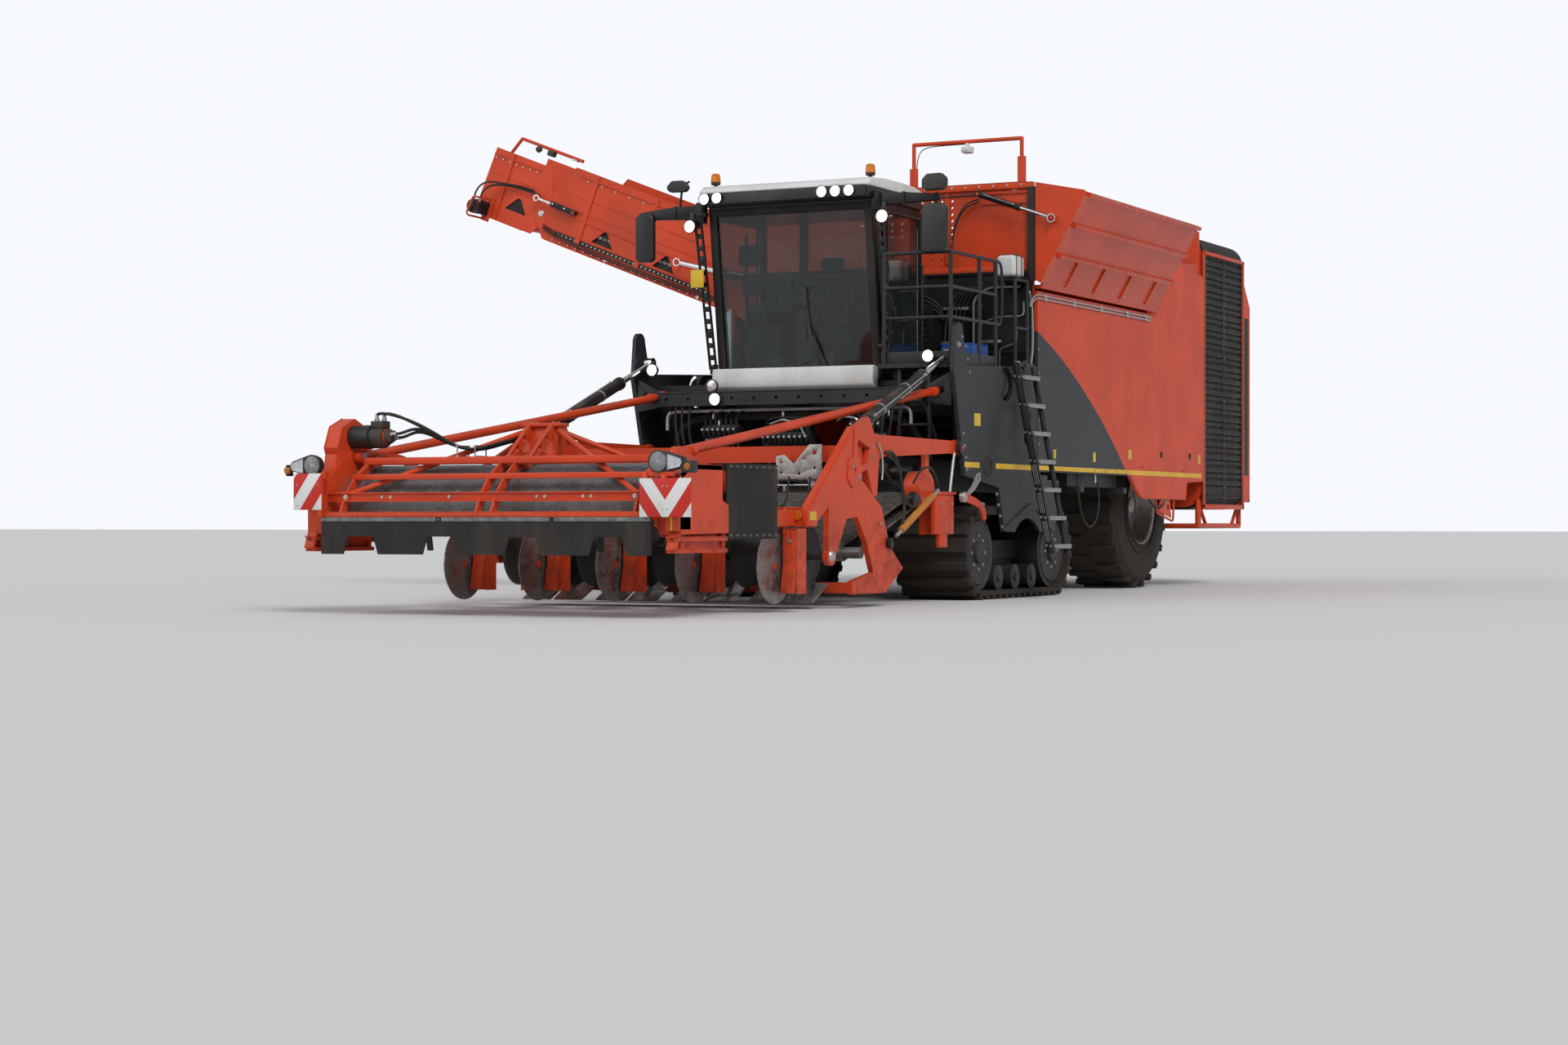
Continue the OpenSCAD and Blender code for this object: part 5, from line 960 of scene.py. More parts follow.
def cab_mirrors():
    """Arms and rounded heads, in place of the plain mirrors."""
    arms, heads, faces = Shape(), Shape(), Shape()

    def head(x, y, z, w, h, depth, tilt):
        shell = Shape()
        shell.plate([(-w / 2, 0.03), (-w / 2 + 0.03, 0), (w / 2 - 0.03, 0), (w / 2, 0.03), (w / 2, h - 0.05),
                     (w / 2 - 0.05, h), (-w / 2 + 0.05, h), (-w / 2, h - 0.05)], "Y", -depth / 2, depth / 2, (), 0.02,
                    4)
        shell.box((-w / 2 + 0.02, depth / 2 - 0.004, 0.025), (w / 2 - 0.02, depth / 2 + 0.003, h - 0.03), 0.002)
        glass = Shape()
        glass.box((-w / 2 + 0.028, depth / 2 + 0.0035, 0.033), (w / 2 - 0.028, depth / 2 + 0.0055, h - 0.038), 0.0005)
        place = Matrix.Translation((x, y, z)) @ Matrix.Rotation(tilt, 4, "Z")
        for part, into in ((shell, heads), (glass, faces)):
            part.turned(place)
            into.take(part.bm)

    for s, z0, z1, end in ((-1, 3.64, 3.76, -1.56), (1, 3.675, 3.775, 1.56)):
        arms.plate([(s * 0.89, z0 - 0.02), (s * 0.89, z1 + 0.01), (s * 1.25, z1), (end, z1 - 0.03), (end, z0 + 0.01),
                    (s * 1.25, z0)], "Y", -1.79, -1.74, (), 0.012, 3)
        arms.slab(s * 1.2, 0.02, (-1.8, z0 - 0.005), (-1.73, z1 + 0.008), 0.006)
        x0, x1 = sorted((s * 0.88, s * 0.97))
        arms.box((x0, -1.81, z0 - 0.05), (x1, -1.72, z1 + 0.03), 0.01)
    arms.rod((-1.52, -1.765, 3.72), (-1.52, -1.765, 3.28), 0.014)
    arms.rod((1.52, -1.765, 3.76), (1.52, -1.765, 3.24), 0.014)
    arms.rod((-1.16, -1.765, 3.75), (-1.14, -1.765, 3.92), 0.011)
    arms.pipe([(-1.14, -1.765, 3.91), (-1.12, -1.765, 3.97), (-1.05, -1.78, 4.0)], 0.01, 0.03)
    head(-1.52, -1.8, 3.24, 0.19, 0.48, 0.08, 0.12)
    head(1.52, -1.8, 3.2, 0.26, 0.46, 0.08, -0.12)
    head(1.52, -1.8, 3.775, 0.25, 0.155, 0.08, -0.12)
    head(-1.16, -1.8, 3.9, 0.22, 0.11, 0.07, 0.1)
    arms.piece("mirror_arms", "chassis", "cab_black", replaces=("mirrors",))
    heads.piece("mirror_heads", "chassis", "black_plastic", replaces=("mirrors",))
    faces.piece("mirror_glasses", "chassis", "reflector", slot="black_plastic")


def cab_inside():
    """Floor, rear wall, consoles, steering column, monitors, stick and pedals."""
    dark = Shape()
    dark.box((-0.785, -1.45, 2.141), (0.785, -0.715, 2.155), 0.003)
    dark.box((-0.78, -0.72, 2.155), (0.78, -0.69, 3.2), 0.006)
    dark.box((-0.4, -0.715, 3.2), (-0.31, -0.69, 3.7), 0.006)
    dark.box((-0.78, -0.86, 2.155), (-0.3, -0.72, 2.62), 0.02)
    dark.box((-0.72, -1.2, 2.155), (-0.36, -0.86, 2.72), 0.03)
    dark.box((-0.7, -1.32, 2.66), (-0.34, -0.92, 2.78), 0.03)
    dark.box((0.27, -1.2, 2.62), (0.36, -0.9, 2.7), 0.02)
    dark.plate([(-1.4, 2.155), (-1.3, 2.155), (-1.24, 2.72), (-1.3, 2.84), (-1.37, 2.8)], "X", -0.09, 0.09, (), 0.02, 3)
    dark.box((-0.19, -1.4, 2.79), (0.19, -1.27, 2.88), 0.02)
    # Monitors on a post, the stick and the pedals
    dark.rod((-0.62, -1.4, 2.2), (-0.6, -1.46, 3.5), 0.018)
    for x, y, z, w, h in ((-0.56, -1.43, 3.3, 0.26, 0.2), (-0.53, -1.42, 3.02, 0.24, 0.22),
                          (-0.5, -1.4, 2.76, 0.22, 0.18)):
        dark.box((x - w / 2, y - 0.025, z - h / 2), (x + w / 2, y + 0.02, z + h / 2), 0.012)
    dark.rod((-0.42, -1.16, 2.78), (-0.42, -1.19, 2.93), 0.016)
    dark.ball((-0.42, -1.19, 2.95), 0.034, (0.9, 0.9, 1.3))
    dark.box((-0.34, -1.45, 2.155), (-0.2, -1.4, 2.32), 0.01)
    dark.box((0.2, -1.45, 2.155), (0.32, -1.4, 2.3), 0.01)
    dark.piece("cab_inside", "chassis", "black_plastic")
    ring = Matrix.Translation((0, -1.25, 2.98)) @ Matrix.Rotation(math.radians(-25), 4, "X")
    loop = Shape()
    loop.lathe([(0.2 + 0.013 * math.cos(math.pi * k / 4), 0.013 * math.sin(math.pi * k / 4)) for k in range(9)],
               (0, 0, 0), "Z", 40)
    for i in range(3):
        a = math.radians(90 + 120 * i)
        loop.bar((0, 0, -0.02), (0.195 * math.cos(a), 0.195 * math.sin(a), 0), 0.03, 0.012, edge=0.003)
    loop.rod((0, 0, -0.16), (0, 0, 0.01), 0.036, sides=20, edge=0.006)
    loop.turned(ring).piece("steering_wheel", "chassis", "hose_rubber")
    screens = Shape()
    for x, y, z, w, h in ((-0.56, -1.409, 3.3, 0.23, 0.17), (-0.53, -1.399, 3.02, 0.21, 0.18),
                          (-0.5, -1.379, 2.76, 0.19, 0.15)):
        screens.box((x - w / 2, y - 0.001, z - h / 2), (x + w / 2, y + 0.0015, z + h / 2), 0.0005)
    screens.piece("cab_screens", "chassis", "screen_glass")


def settle(piece):
    """Gives an object the mesh that its modifiers make of it."""
    graph = bpy.context.evaluated_depsgraph_get()
    made = bpy.data.meshes.new_from_object(piece.evaluated_get(graph))
    old = piece.data
    piece.modifiers.clear()
    piece.data = made
    bpy.data.meshes.remove(old)


def stuffed(shape, name, cap=0.012, voxel=0.008):
    """A stuffed pad: the shape evened out, swollen as cloth by up to cap, and smoothed."""
    scene = bpy.context.scene
    mesh = bpy.data.meshes.new(name)
    bmesh.ops.translate(shape.bm, verts=list(shape.bm.verts), vec=OFFSET)
    shape.bm.to_mesh(mesh)
    shape.bm.free()
    pad = bpy.data.objects.new(name, mesh)
    scene.collection.objects.link(pad)
    even = pad.modifiers.new("even", "REMESH")
    even.mode = "VOXEL"
    even.voxel_size = voxel
    settle(pad)
    start = [v.co.copy() for v in pad.data.vertices]
    cloth = pad.modifiers.new("stuffing", "CLOTH")
    cloth.settings.use_pressure = True
    cloth.settings.uniform_pressure_force = 4
    cloth.settings.effector_weights.gravity = 0
    cloth.point_cache.frame_start = 1
    cloth.point_cache.frame_end = 20
    for number in range(1, 21):
        scene.frame_set(number)
    settle(pad)
    for vertex, before in zip(pad.data.vertices, start):
        move = vertex.co - before
        if move.length > cap:
            vertex.co = before + move.normalized() * cap
    scene.frame_set(1)
    for polygon in pad.data.polygons:
        polygon.use_smooth = True
    smooth = pad.modifiers.new("smooth", "SUBSURF")
    smooth.levels = smooth.render_levels = 1
    pad.data.materials.clear()
    pad.data.materials.append(finishes["seat_fabric"])
    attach(pad, "chassis")
    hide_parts("driver_seat")
    return pad


def driver_seat():
    """The seat: cushion, back and headrest on a bellows and a slide, with piping and armrests."""
    base_pad = Shape()
    base_pad.box((-0.17, -1.225, 2.505), (0.17, -0.79, 2.585), 0.03, 3)
    for s in (-1, 1):
        base_pad.slab(s * 0.2, 0.035, (-1.2, 2.505), (-0.8, 2.605), 0.028, 3)
    stuffed(base_pad, "driver_seat_cushion")
    back_pad = Shape()
    back_pad.bar((0, -0.825, 2.64), (0, -0.775, 3.15), 0.36, 0.075, (0, -1, 0), 0.03)
    for s in (-1, 1):
        back_pad.bar((s * 0.19, -0.845, 2.66), (s * 0.19, -0.79, 3.08), 0.07, 0.095, (0, -1, 0), 0.028)
    stuffed(back_pad, "driver_seat_back")
    head_pad = Shape()
    head_pad.bar((0, -0.79, 3.19), (0, -0.77, 3.31), 0.25, 0.07, (0, -1, 0), 0.028)
    stuffed(head_pad, "driver_seat_headrest", 0.008)
    piping = Shape()
    for s in (-1, 1):
        piping.pipe([(s * 0.165, -1.2, 2.603), (s * 0.165, -0.83, 2.603)], 0.004, 0.01, 6)
        piping.pipe([(s * 0.155, -0.88, 2.68), (s * 0.155, -0.83, 3.1)], 0.004, 0.01, 6)
    for z in (2.78, 2.92, 3.05):
        y = -0.8295 + (z - 2.64) * 0.098 - 0.052
        piping.pipe([(-0.14, y, z), (0.14, y, z)], 0.0035, 0.01, 6)
    piping.piece("driver_seat_piping", "chassis", "black_plastic")
    base = Shape()
    base.box((-0.2, -1.16, 2.156), (0.2, -0.84, 2.2), 0.01)
    for i in range(5):
        inset = 0.014 * (i % 2)
        base.box((-0.2 + inset, -1.15 + inset, 2.2 + i * 0.05), (0.2 - inset, -0.85 - inset, 2.252 + i * 0.05), 0.012)
    base.box((-0.23, -1.2, 2.45), (0.23, -0.8, 2.495), 0.01)
    base.bar((0, -0.765, 2.5), (0, -0.725, 3.16), 0.34, 0.02, (0, -1, 0), 0.006)
    for s in (-1, 1):
        base.slab(s * 0.29, 0.035, (-1.12, 2.76), (-0.82, 2.82), 0.02)
        base.bar((s * 0.27, -0.83, 2.6), (s * 0.27, -0.8, 2.79), 0.03, 0.05, (0, -1, 0), 0.006)
        base.rod((s * 0.06, -0.77, 3.13), (s * 0.06, -0.77, 3.22), 0.007, sides=10)
    base.piece("driver_seat_base", "chassis", "black_plastic", replaces=("driver_seat",))


def side_lines():
    """Stripe, seams, blank plates, plugs, pipes and bolts along the side plates and covers."""
    stripe = Shape()
    for y0, y1 in ((-1.525, -1.17), (-0.765, 0.295), (0.312, 5.47)):
        stripe.box((1.6994, y0, 1.24), (1.7012, y1, 1.29))
    stripe.both_sides().piece("side_stripe", "chassis", "stripe_yellow")
    blank = Shape()
    for y, z, w, h in ((-1.219, 1.689, 0.15, 0.117), (0.785, 1.414, 0.07, 0.09), (1.924, 1.406, 0.07, 0.1),
                       (3.023, 1.456, 0.1, 0.1), (5.395, 1.454, 0.085, 0.1)):
        blank.box((1.6994, y - w / 2, z - h / 2), (1.7013, y + w / 2, z + h / 2), 0.0006, 1)
    blank.both_sides().piece("blank_side_plates", "chassis", "plate_yellow")
    dark = Shape()
    dark.box((1.6994, 0.306, 2.212), (1.7009, 1.33, 2.218))
    for y in (4.05, 5.05):
        dark.lathe([(0, -0.004), (0.026, -0.003), (0.03, 0.003), (0.04, 0.003), (0.041, -0.004)], (1.7005, y, 1.48),
                   steps=24)
    for y, z in ((3.35, 1.33), (4.75, 1.31)):
        for k in (0, 0.05, 0.1):
            dark.rod((1.699, y + k, z), (1.702, y + k, z), 0.009, sides=10)
    dark.both_sides().piece("side_plugs", "chassis", "grille")
    grommet = Shape()
    grommet.lathe([(0, 0.0005), (0.085, 0.0005), (0.09, 0.006), (0.098, 0.006), (0.1, 0.0), (0, -0.002)],
                  (1.7005, -0.965, 1.256))
    grommet.both_sides().piece("side_grommets", "chassis", "hose_rubber")
    # Rubber edge and folded lips of the covers
    lips = Shape()
    outline = [(0.318, 3.0), (0.318, 1.242), (3.012, 1.242), (3.175, 1.122), (3.335, 1.033), (3.462, 0.997),
               (4.9, 0.997), (4.942, 1.19), (5.54, 1.21)]
    lips.pipe([(1.7, y, z) for y, z in outline], 0.006, 0.05, 6)
    lips.pipe([(1.7, y, z) for y, z in ((3.815, 3.0), (4.282, 3.3), (4.79, 3.65), (5.54, 3.55))], 0.007, 0.08, 6)
    lips.both_sides().piece("cover_lips", "chassis", "side_cover")
    pipes = Shape()
    for z in (2.935, 2.968):
        pipes.pipe([(1.668, 0.19, z - 0.09), (1.713, 0.2, z - 0.02), (1.713, 0.29, z), (1.713, 3.67, z)], 0.0085, 0.04)
    for y in (0.5, 1.3, 2.1, 2.9, 3.5):
        pipes.box((1.698, y - 0.02, 2.918), (1.7235, y + 0.02, 2.985), 0.004)
    pipes.pipe([(-1.33, -1.7, 1.62), (-1.33, -1.7, 1.8), (1.24, -1.7, 1.8), (1.24, -1.7, 1.64)], 0.0185, 0.09, 12)
    pipes.piece("silver_pipes", "chassis", "pipe_silver")
    fixings = Shape()
    for z in (1.22, 1.33, 1.44, 1.55):
        fixings.bolt((1.701, -1.455 - (z - 1.16) * 0.281, z), (1, 0, 0), 0.013)
    fixings.bolt((1.701, -1.681, 2.363), (1, 0, 0), 0.024)
    fixings.bolt((1.701, -1.59, 2.44), (1, 0, 0), 0.013)
    for y0, z0, y1, z1, count, size in (
            (-1.5, 2.36, -1.42, 2.12, 3, 0.012), (-0.62, 0.69, -0.75, 1.0, 4, 0.014), (0.35, 1.27, 2.9, 1.27, 9, 0.009),
            (0.34, 1.5, 0.34, 2.9, 7, 0.009), (5.5, 1.3, 5.5, 3.4, 9, 0.009)):
        fixings.bolts((1.701, y0, z0), (1.701, y1, z1), count, (1, 0, 0), size)
    fixings.lathe([(0, 0.045), (0.04, 0.045), (0.05, 0.035), (0.052, 0)], (1.7, -1.6, 0.965), steps=24)
    fixings.bolt((1.73, -1.16, 0.9), (1, 0, 0), 0.016)
    fixings.both_sides().piece("side_fixings", "chassis", "zinc")
    arm = Shape()
    arm.plate([(-1.62, 0.985), (-1.55, 1.005), (-1.3, 0.955), (-1.16, 0.915), (-1.08, 0.85), (-1.055, 0.775),
               (-1.1, 0.74), (-1.15, 0.77), (-1.2, 0.855), (-1.32, 0.885), (-1.58, 0.925), (-1.63, 0.95)], "X", 1.702,
              1.728, (), 0.006)
    arm.both_sides().piece("side_arms", "chassis", "red_panel")
    bracket = Shape()
    bracket.plate([(-1.245, 1.19), (-1.165, 1.2), (-1.15, 1.13), (-1.29, 1.035), (-1.5, 0.95), (-1.54, 0.975),
                   (-1.37, 1.07)], "X", 1.7, 1.709, [(-1.21, 1.15, 0.015, 10)], 0.002)
    bracket.both_sides().piece("side_brackets", "chassis", "galvanised")
    # Dished sensor pod in the tower's round hole, its drain block, the arch's ribs and the plate by the slot
    pod = Shape()
    pod.lathe([(0, 0.05), (0.07, 0.045), (0.13, 0.02), (0.158, -0.03), (0.16, -0.09), (0, -0.09)], (1.65, -0.505, 2.05))
    pod.rod((1.66, 0.42, 1.2), (1.66, 0.42, 1.14), 0.03, edge=0.006)
    pod.box((1.5, 0.38, 1.13), (1.69, 0.62, 1.2), 0.01)
    pod.both_sides().piece("tower_pods", "chassis", "black_plastic")
    ribs = Shape()
    for s in (-1, 1):
        ribs.plate([(-0.62, 0.66), (0.1, 0.92), (0.36, 0.9), (0.78, 0.66), (0.7, 0.64), (0.33, 0.84), (0.1, 0.86),
                    (-0.5, 0.64)], "X", s * 1.7, s * 1.712, (), 0.003)
    ribs.piece("arch_ribs", "chassis", "frame_dark")
    mark = Shape().plate([(0.12, 1.36), (0.21, 1.37), (0.24, 1.24), (0.17, 1.2)], "X", 1.7, 1.706, (), 0.002)
    mark.both_sides().piece("white_side_marks", "chassis", "white_plastic")


def under_cab():
    """Valve banks, fittings, pipes and hoses below the cab's front beam."""
    dark, metal, hoses, red = Shape(), Shape(), Shape(), Shape()
    for x0, count, z in ((-0.95, 7, 1.6), (-0.3, 9, 1.52), (0.62, 6, 1.63)):
        wide = count * 0.056
        dark.box((x0, -1.7, z - 0.065), (x0 + wide, -1.56, z + 0.065), 0.006)
        for i in range(count):
            x = x0 + 0.028 + i * 0.056
            dark.slab(x, 0.021, (-1.735, z - 0.04), (-1.7, z + 0.045), 0.005)
            dark.rod((x, -1.69, z + 0.06), (x, -1.69, z + 0.12), 0.018, sides=10)
            metal.rod((x, -1.735, z + 0.02), (x, -1.765, z + 0.02), 0.013, sides=6)
            metal.rod((x, -1.66, z - 0.065), (x, -1.66, z - 0.105), 0.015, sides=6)
            metal.rod((x, -1.6, z - 0.065), (x, -1.6, z - 0.09), 0.013, sides=6)
            side = -1 if i % 2 else 1
            low = 1.06 + 0.03 * (i % 4)
            hoses.hose([(x, -1.66, z - 0.1), (x + 0.01, -1.665, z - 0.22),
                        (x + side * 0.06, -1.72 - 0.01 * (i % 3), z - 0.34), (x + side * 0.16, -1.68, low + 0.03),
                        (x + side * 0.24, -1.6, low), (x + side * 0.3, -1.53, low + 0.02)], 0.011)
            if i % 2 == 0:
                hoses.hose([(x, -1.69, z + 0.11), (x, -1.7, z + 0.17), (x + side * 0.09, -1.73, z + 0.2),
                            (x + side * 0.2, -1.68, z + 0.21), (x + side * 0.32, -1.6, z + 0.2)], 0.009)
    # Long bundle that crosses under the beam, with its clips
    for i in range(6):
        z = 1.735 + 0.02 * (i % 3)
        y = -1.63 - 0.022 * (i // 3)
        hoses.hose([(-1.3, y + 0.03, z - 0.28), (-1.22, y, z - 0.08), (-1.0, y, z), (-0.4, y, z - 0.02),
                    (0.3, y, z - 0.01), (0.95, y, z), (1.2, y, z - 0.08), (1.32, y + 0.03, z - 0.28)], 0.0095)
    for x in (-0.85, -0.1, 0.55, 1.0):
        metal.slab(x, 0.012, (-1.672, 1.72), (-1.612, 1.79), 0.003)
    # Slack loops towards the cab, pump and filter
    for i, x in enumerate((-1.2, -1.13, -1.05, 1.02, 1.1, 1.19)):
        sag = 0.03 * i % 0.07
        hoses.hose([(x, -1.72, 1.9), (x, -1.8, 1.82), (x * 0.98, -1.83, 1.6 - sag), (x * 0.95, -1.8, 1.4),
                    (x * 0.93, -1.7, 1.32), (x * 0.92, -1.6, 1.34)], 0.012)
    dark.rod((-1.08, -1.6, 1.2), (-1.08, -1.6, 1.44), 0.06, sides=20, edge=0.01)
    metal.rod((-1.08, -1.6, 1.435), (-1.08, -1.6, 1.47), 0.066, sides=20, edge=0.006)
    dark.rod((1.0, -1.62, 1.2), (1.24, -1.62, 1.2), 0.07, sides=20, edge=0.01)
    dark.box((0.9, -1.7, 1.13), (1.01, -1.55, 1.28), 0.012)
    red.box((-0.62, -1.68, 1.36), (-0.56, -1.57, 1.45), 0.006)
    red.box((-0.02, -1.7, 1.34), (0.04, -1.6, 1.41), 0.006)
    red.box((0.36, -1.71, 1.3), (0.45, -1.6, 1.42), 0.006)
    metal.pipe([(-0.62, -1.7, 1.42), (-0.62, -1.77, 1.42), (-0.62, -1.77, 1.25), (-0.62, -1.64, 1.1)], 0.009, 0.03)
    metal.pipe([(-0.2, -1.75, 1.66), (-0.05, -1.78, 1.7), (0.12, -1.78, 1.66), (0.16, -1.74, 1.55)], 0.011, 0.04)
    metal.pipe([(0.5, -1.73, 1.68), (0.58, -1.78, 1.72), (0.72, -1.78, 1.7), (0.76, -1.74, 1.6)], 0.011, 0.04)
    dark.piece("under_cab_valves", "chassis", "cab_black")
    metal.piece("under_cab_fittings", "chassis", "zinc")
    hoses.piece("under_cab_hoses", "chassis", "hose_rubber")
    red.piece("under_cab_caps", "chassis", "red_panel")
    # Folded lips and gussets of the beam that carries the cab, with its fixings
    beam = Shape()
    beam.box((-1.385, -1.786, 1.97), (1.385, -1.7, 1.984), 0.004)
    beam.box((-1.385, -1.786, 1.846), (1.385, -1.72, 1.858), 0.004)
    for x in (-1.36, -0.95, -0.45, 0.45, 0.95, 1.36):
        beam.plate([(-1.782, 1.86), (-1.782, 1.968), (-1.6, 1.968), (-1.6, 1.86)], "X", x - 0.006, x + 0.006, (), 0.001)
    for s in (-1, 1):
        beam.plate([(s * 1.4, 1.99), (s * 1.65, 2.12), (s * 1.65, 1.8), (s * 1.4, 1.84)], "Y", -1.73, -1.715,
                   [(s * 1.55, 1.95, 0.035, 16)], 0.004)
    beam.piece("cab_beam_lips", "chassis", "frame_dark")
    studs = Shape().bolts((-1.3, -1.786, 1.915), (1.3, -1.786, 1.915), 12, (0, -1, 0), 0.01)
    studs.both_sides().piece("cab_beam_bolts", "chassis", "zinc")


def front_steps():
    """Fold-away steps that hang below the platform's front edge."""
    steps = Shape()
    for x in (1.12, 1.42):
        steps.slab(x, 0.018, (-1.7, 1.3), (-1.665, 2.16), 0.005)
    for z in (1.36, 1.62, 1.88):
        steps.box((1.13, -1.735, z), (1.41, -1.66, z + 0.024), 0.005)
    steps.bar((1.27, -1.68, 2.12), (1.5, -1.66, 1.42), 0.03, 0.03, (0, 1, 0), 0.006)
    steps.piece("front_steps", "chassis", "cab_black")


def ladder_parts():
    """Stringer channels, panels, perforated rungs and bolts of the ladder."""
    def at(f, y, out=0.0):
        return (1.755 + 0.36 * f + out * 0.981, y, 2.25 - 1.82 * f + out * 0.194)
    black, grey, steel, pins = Shape(), Shape(), Shape(), Shape()
    black.bar(at(0.0, -0.395), at(1.0, -0.395), 0.075, 0.03, (0, -1, 0), 0.006)
    black.bar(at(0.02, 0.046), at(0.98, 0.046), 0.05, 0.028, (0, 1, 0), 0.008)
    for i in range(6):
        low, high = 0.075 + 0.15 * i, 0.19 + 0.15 * i
        if i < 3 or i == 5:
            grey.bar(at(low, -0.411), at(high, -0.411), 0.046, 0.004, (0, -1, 0), 0.0015)
        if i >= 3:
            for k in (-0.018, 0, 0.018):
                steel.bar(at(low + 0.005, -0.4115, k), at(high - 0.005, -0.4115, k), 0.007, 0.005, (0, -1, 0), 0.001)
    for i in range(7):
        f = 0.06 + 0.15 * i
        x, z = 1.755 + 0.36 * f, 2.23 - 1.8 * f
        holes = [(x + dx, y, 0.0105, 8) for dx in (-0.024, 0.008, 0.04) for y in
                 [-0.35 + 0.052 * k for k in range(8)]]
        steel.plate([(x - 0.044, -0.378), (x + 0.062, -0.378), (x + 0.062, 0.03), (x - 0.044, 0.03)], "Z",
                    z + 0.014, z + 0.019, holes)
        steel.box((x + 0.058, -0.378, z - 0.02), (x + 0.064, 0.03, z + 0.021), 0.001)
        for y in (-0.376, 0.026):
            steel.box((x - 0.044, y - 0.003, z - 0.014), (x + 0.06, y + 0.003, z + 0.018), 0.001)
        pins.bolt((x - 0.025, -0.412, z + 0.01), (0, -1, 0), 0.01)
        pins.bolt((x + 0.02, -0.412, z + 0.004), (0, -1, 0), 0.01)
        pins.bolt((x, 0.062, z), (0, 1, 0), 0.01)
    pins.rod((1.735, -0.35, 2.27), (1.775, -0.35, 2.27), 0.012, sides=12)
    black.piece("ladder_channels", "ladder", "cab_black")
    grey.piece("ladder_panels", "ladder", "frame_dark")
    steel.piece("ladder_treads", "ladder", "galvanised")
    pins.piece("ladder_bolts", "ladder", "zinc")
    # Latch and hand loops at the platform's edge
    loops = Shape()
    loops.pipe([(1.655, 0.23, 2.22), (1.655, 0.3, 2.45), (1.655, 0.28, 2.85), (1.655, 0.2, 3.0)], 0.014, 0.1, 10)
    loops.pipe([(1.675, 0.33, 2.3), (1.69, 0.36, 2.42), (1.69, 0.36, 2.62), (1.675, 0.33, 2.72)], 0.009, 0.05)
    loops.piece("ladder_hand_loops", "chassis", "pipe_silver")


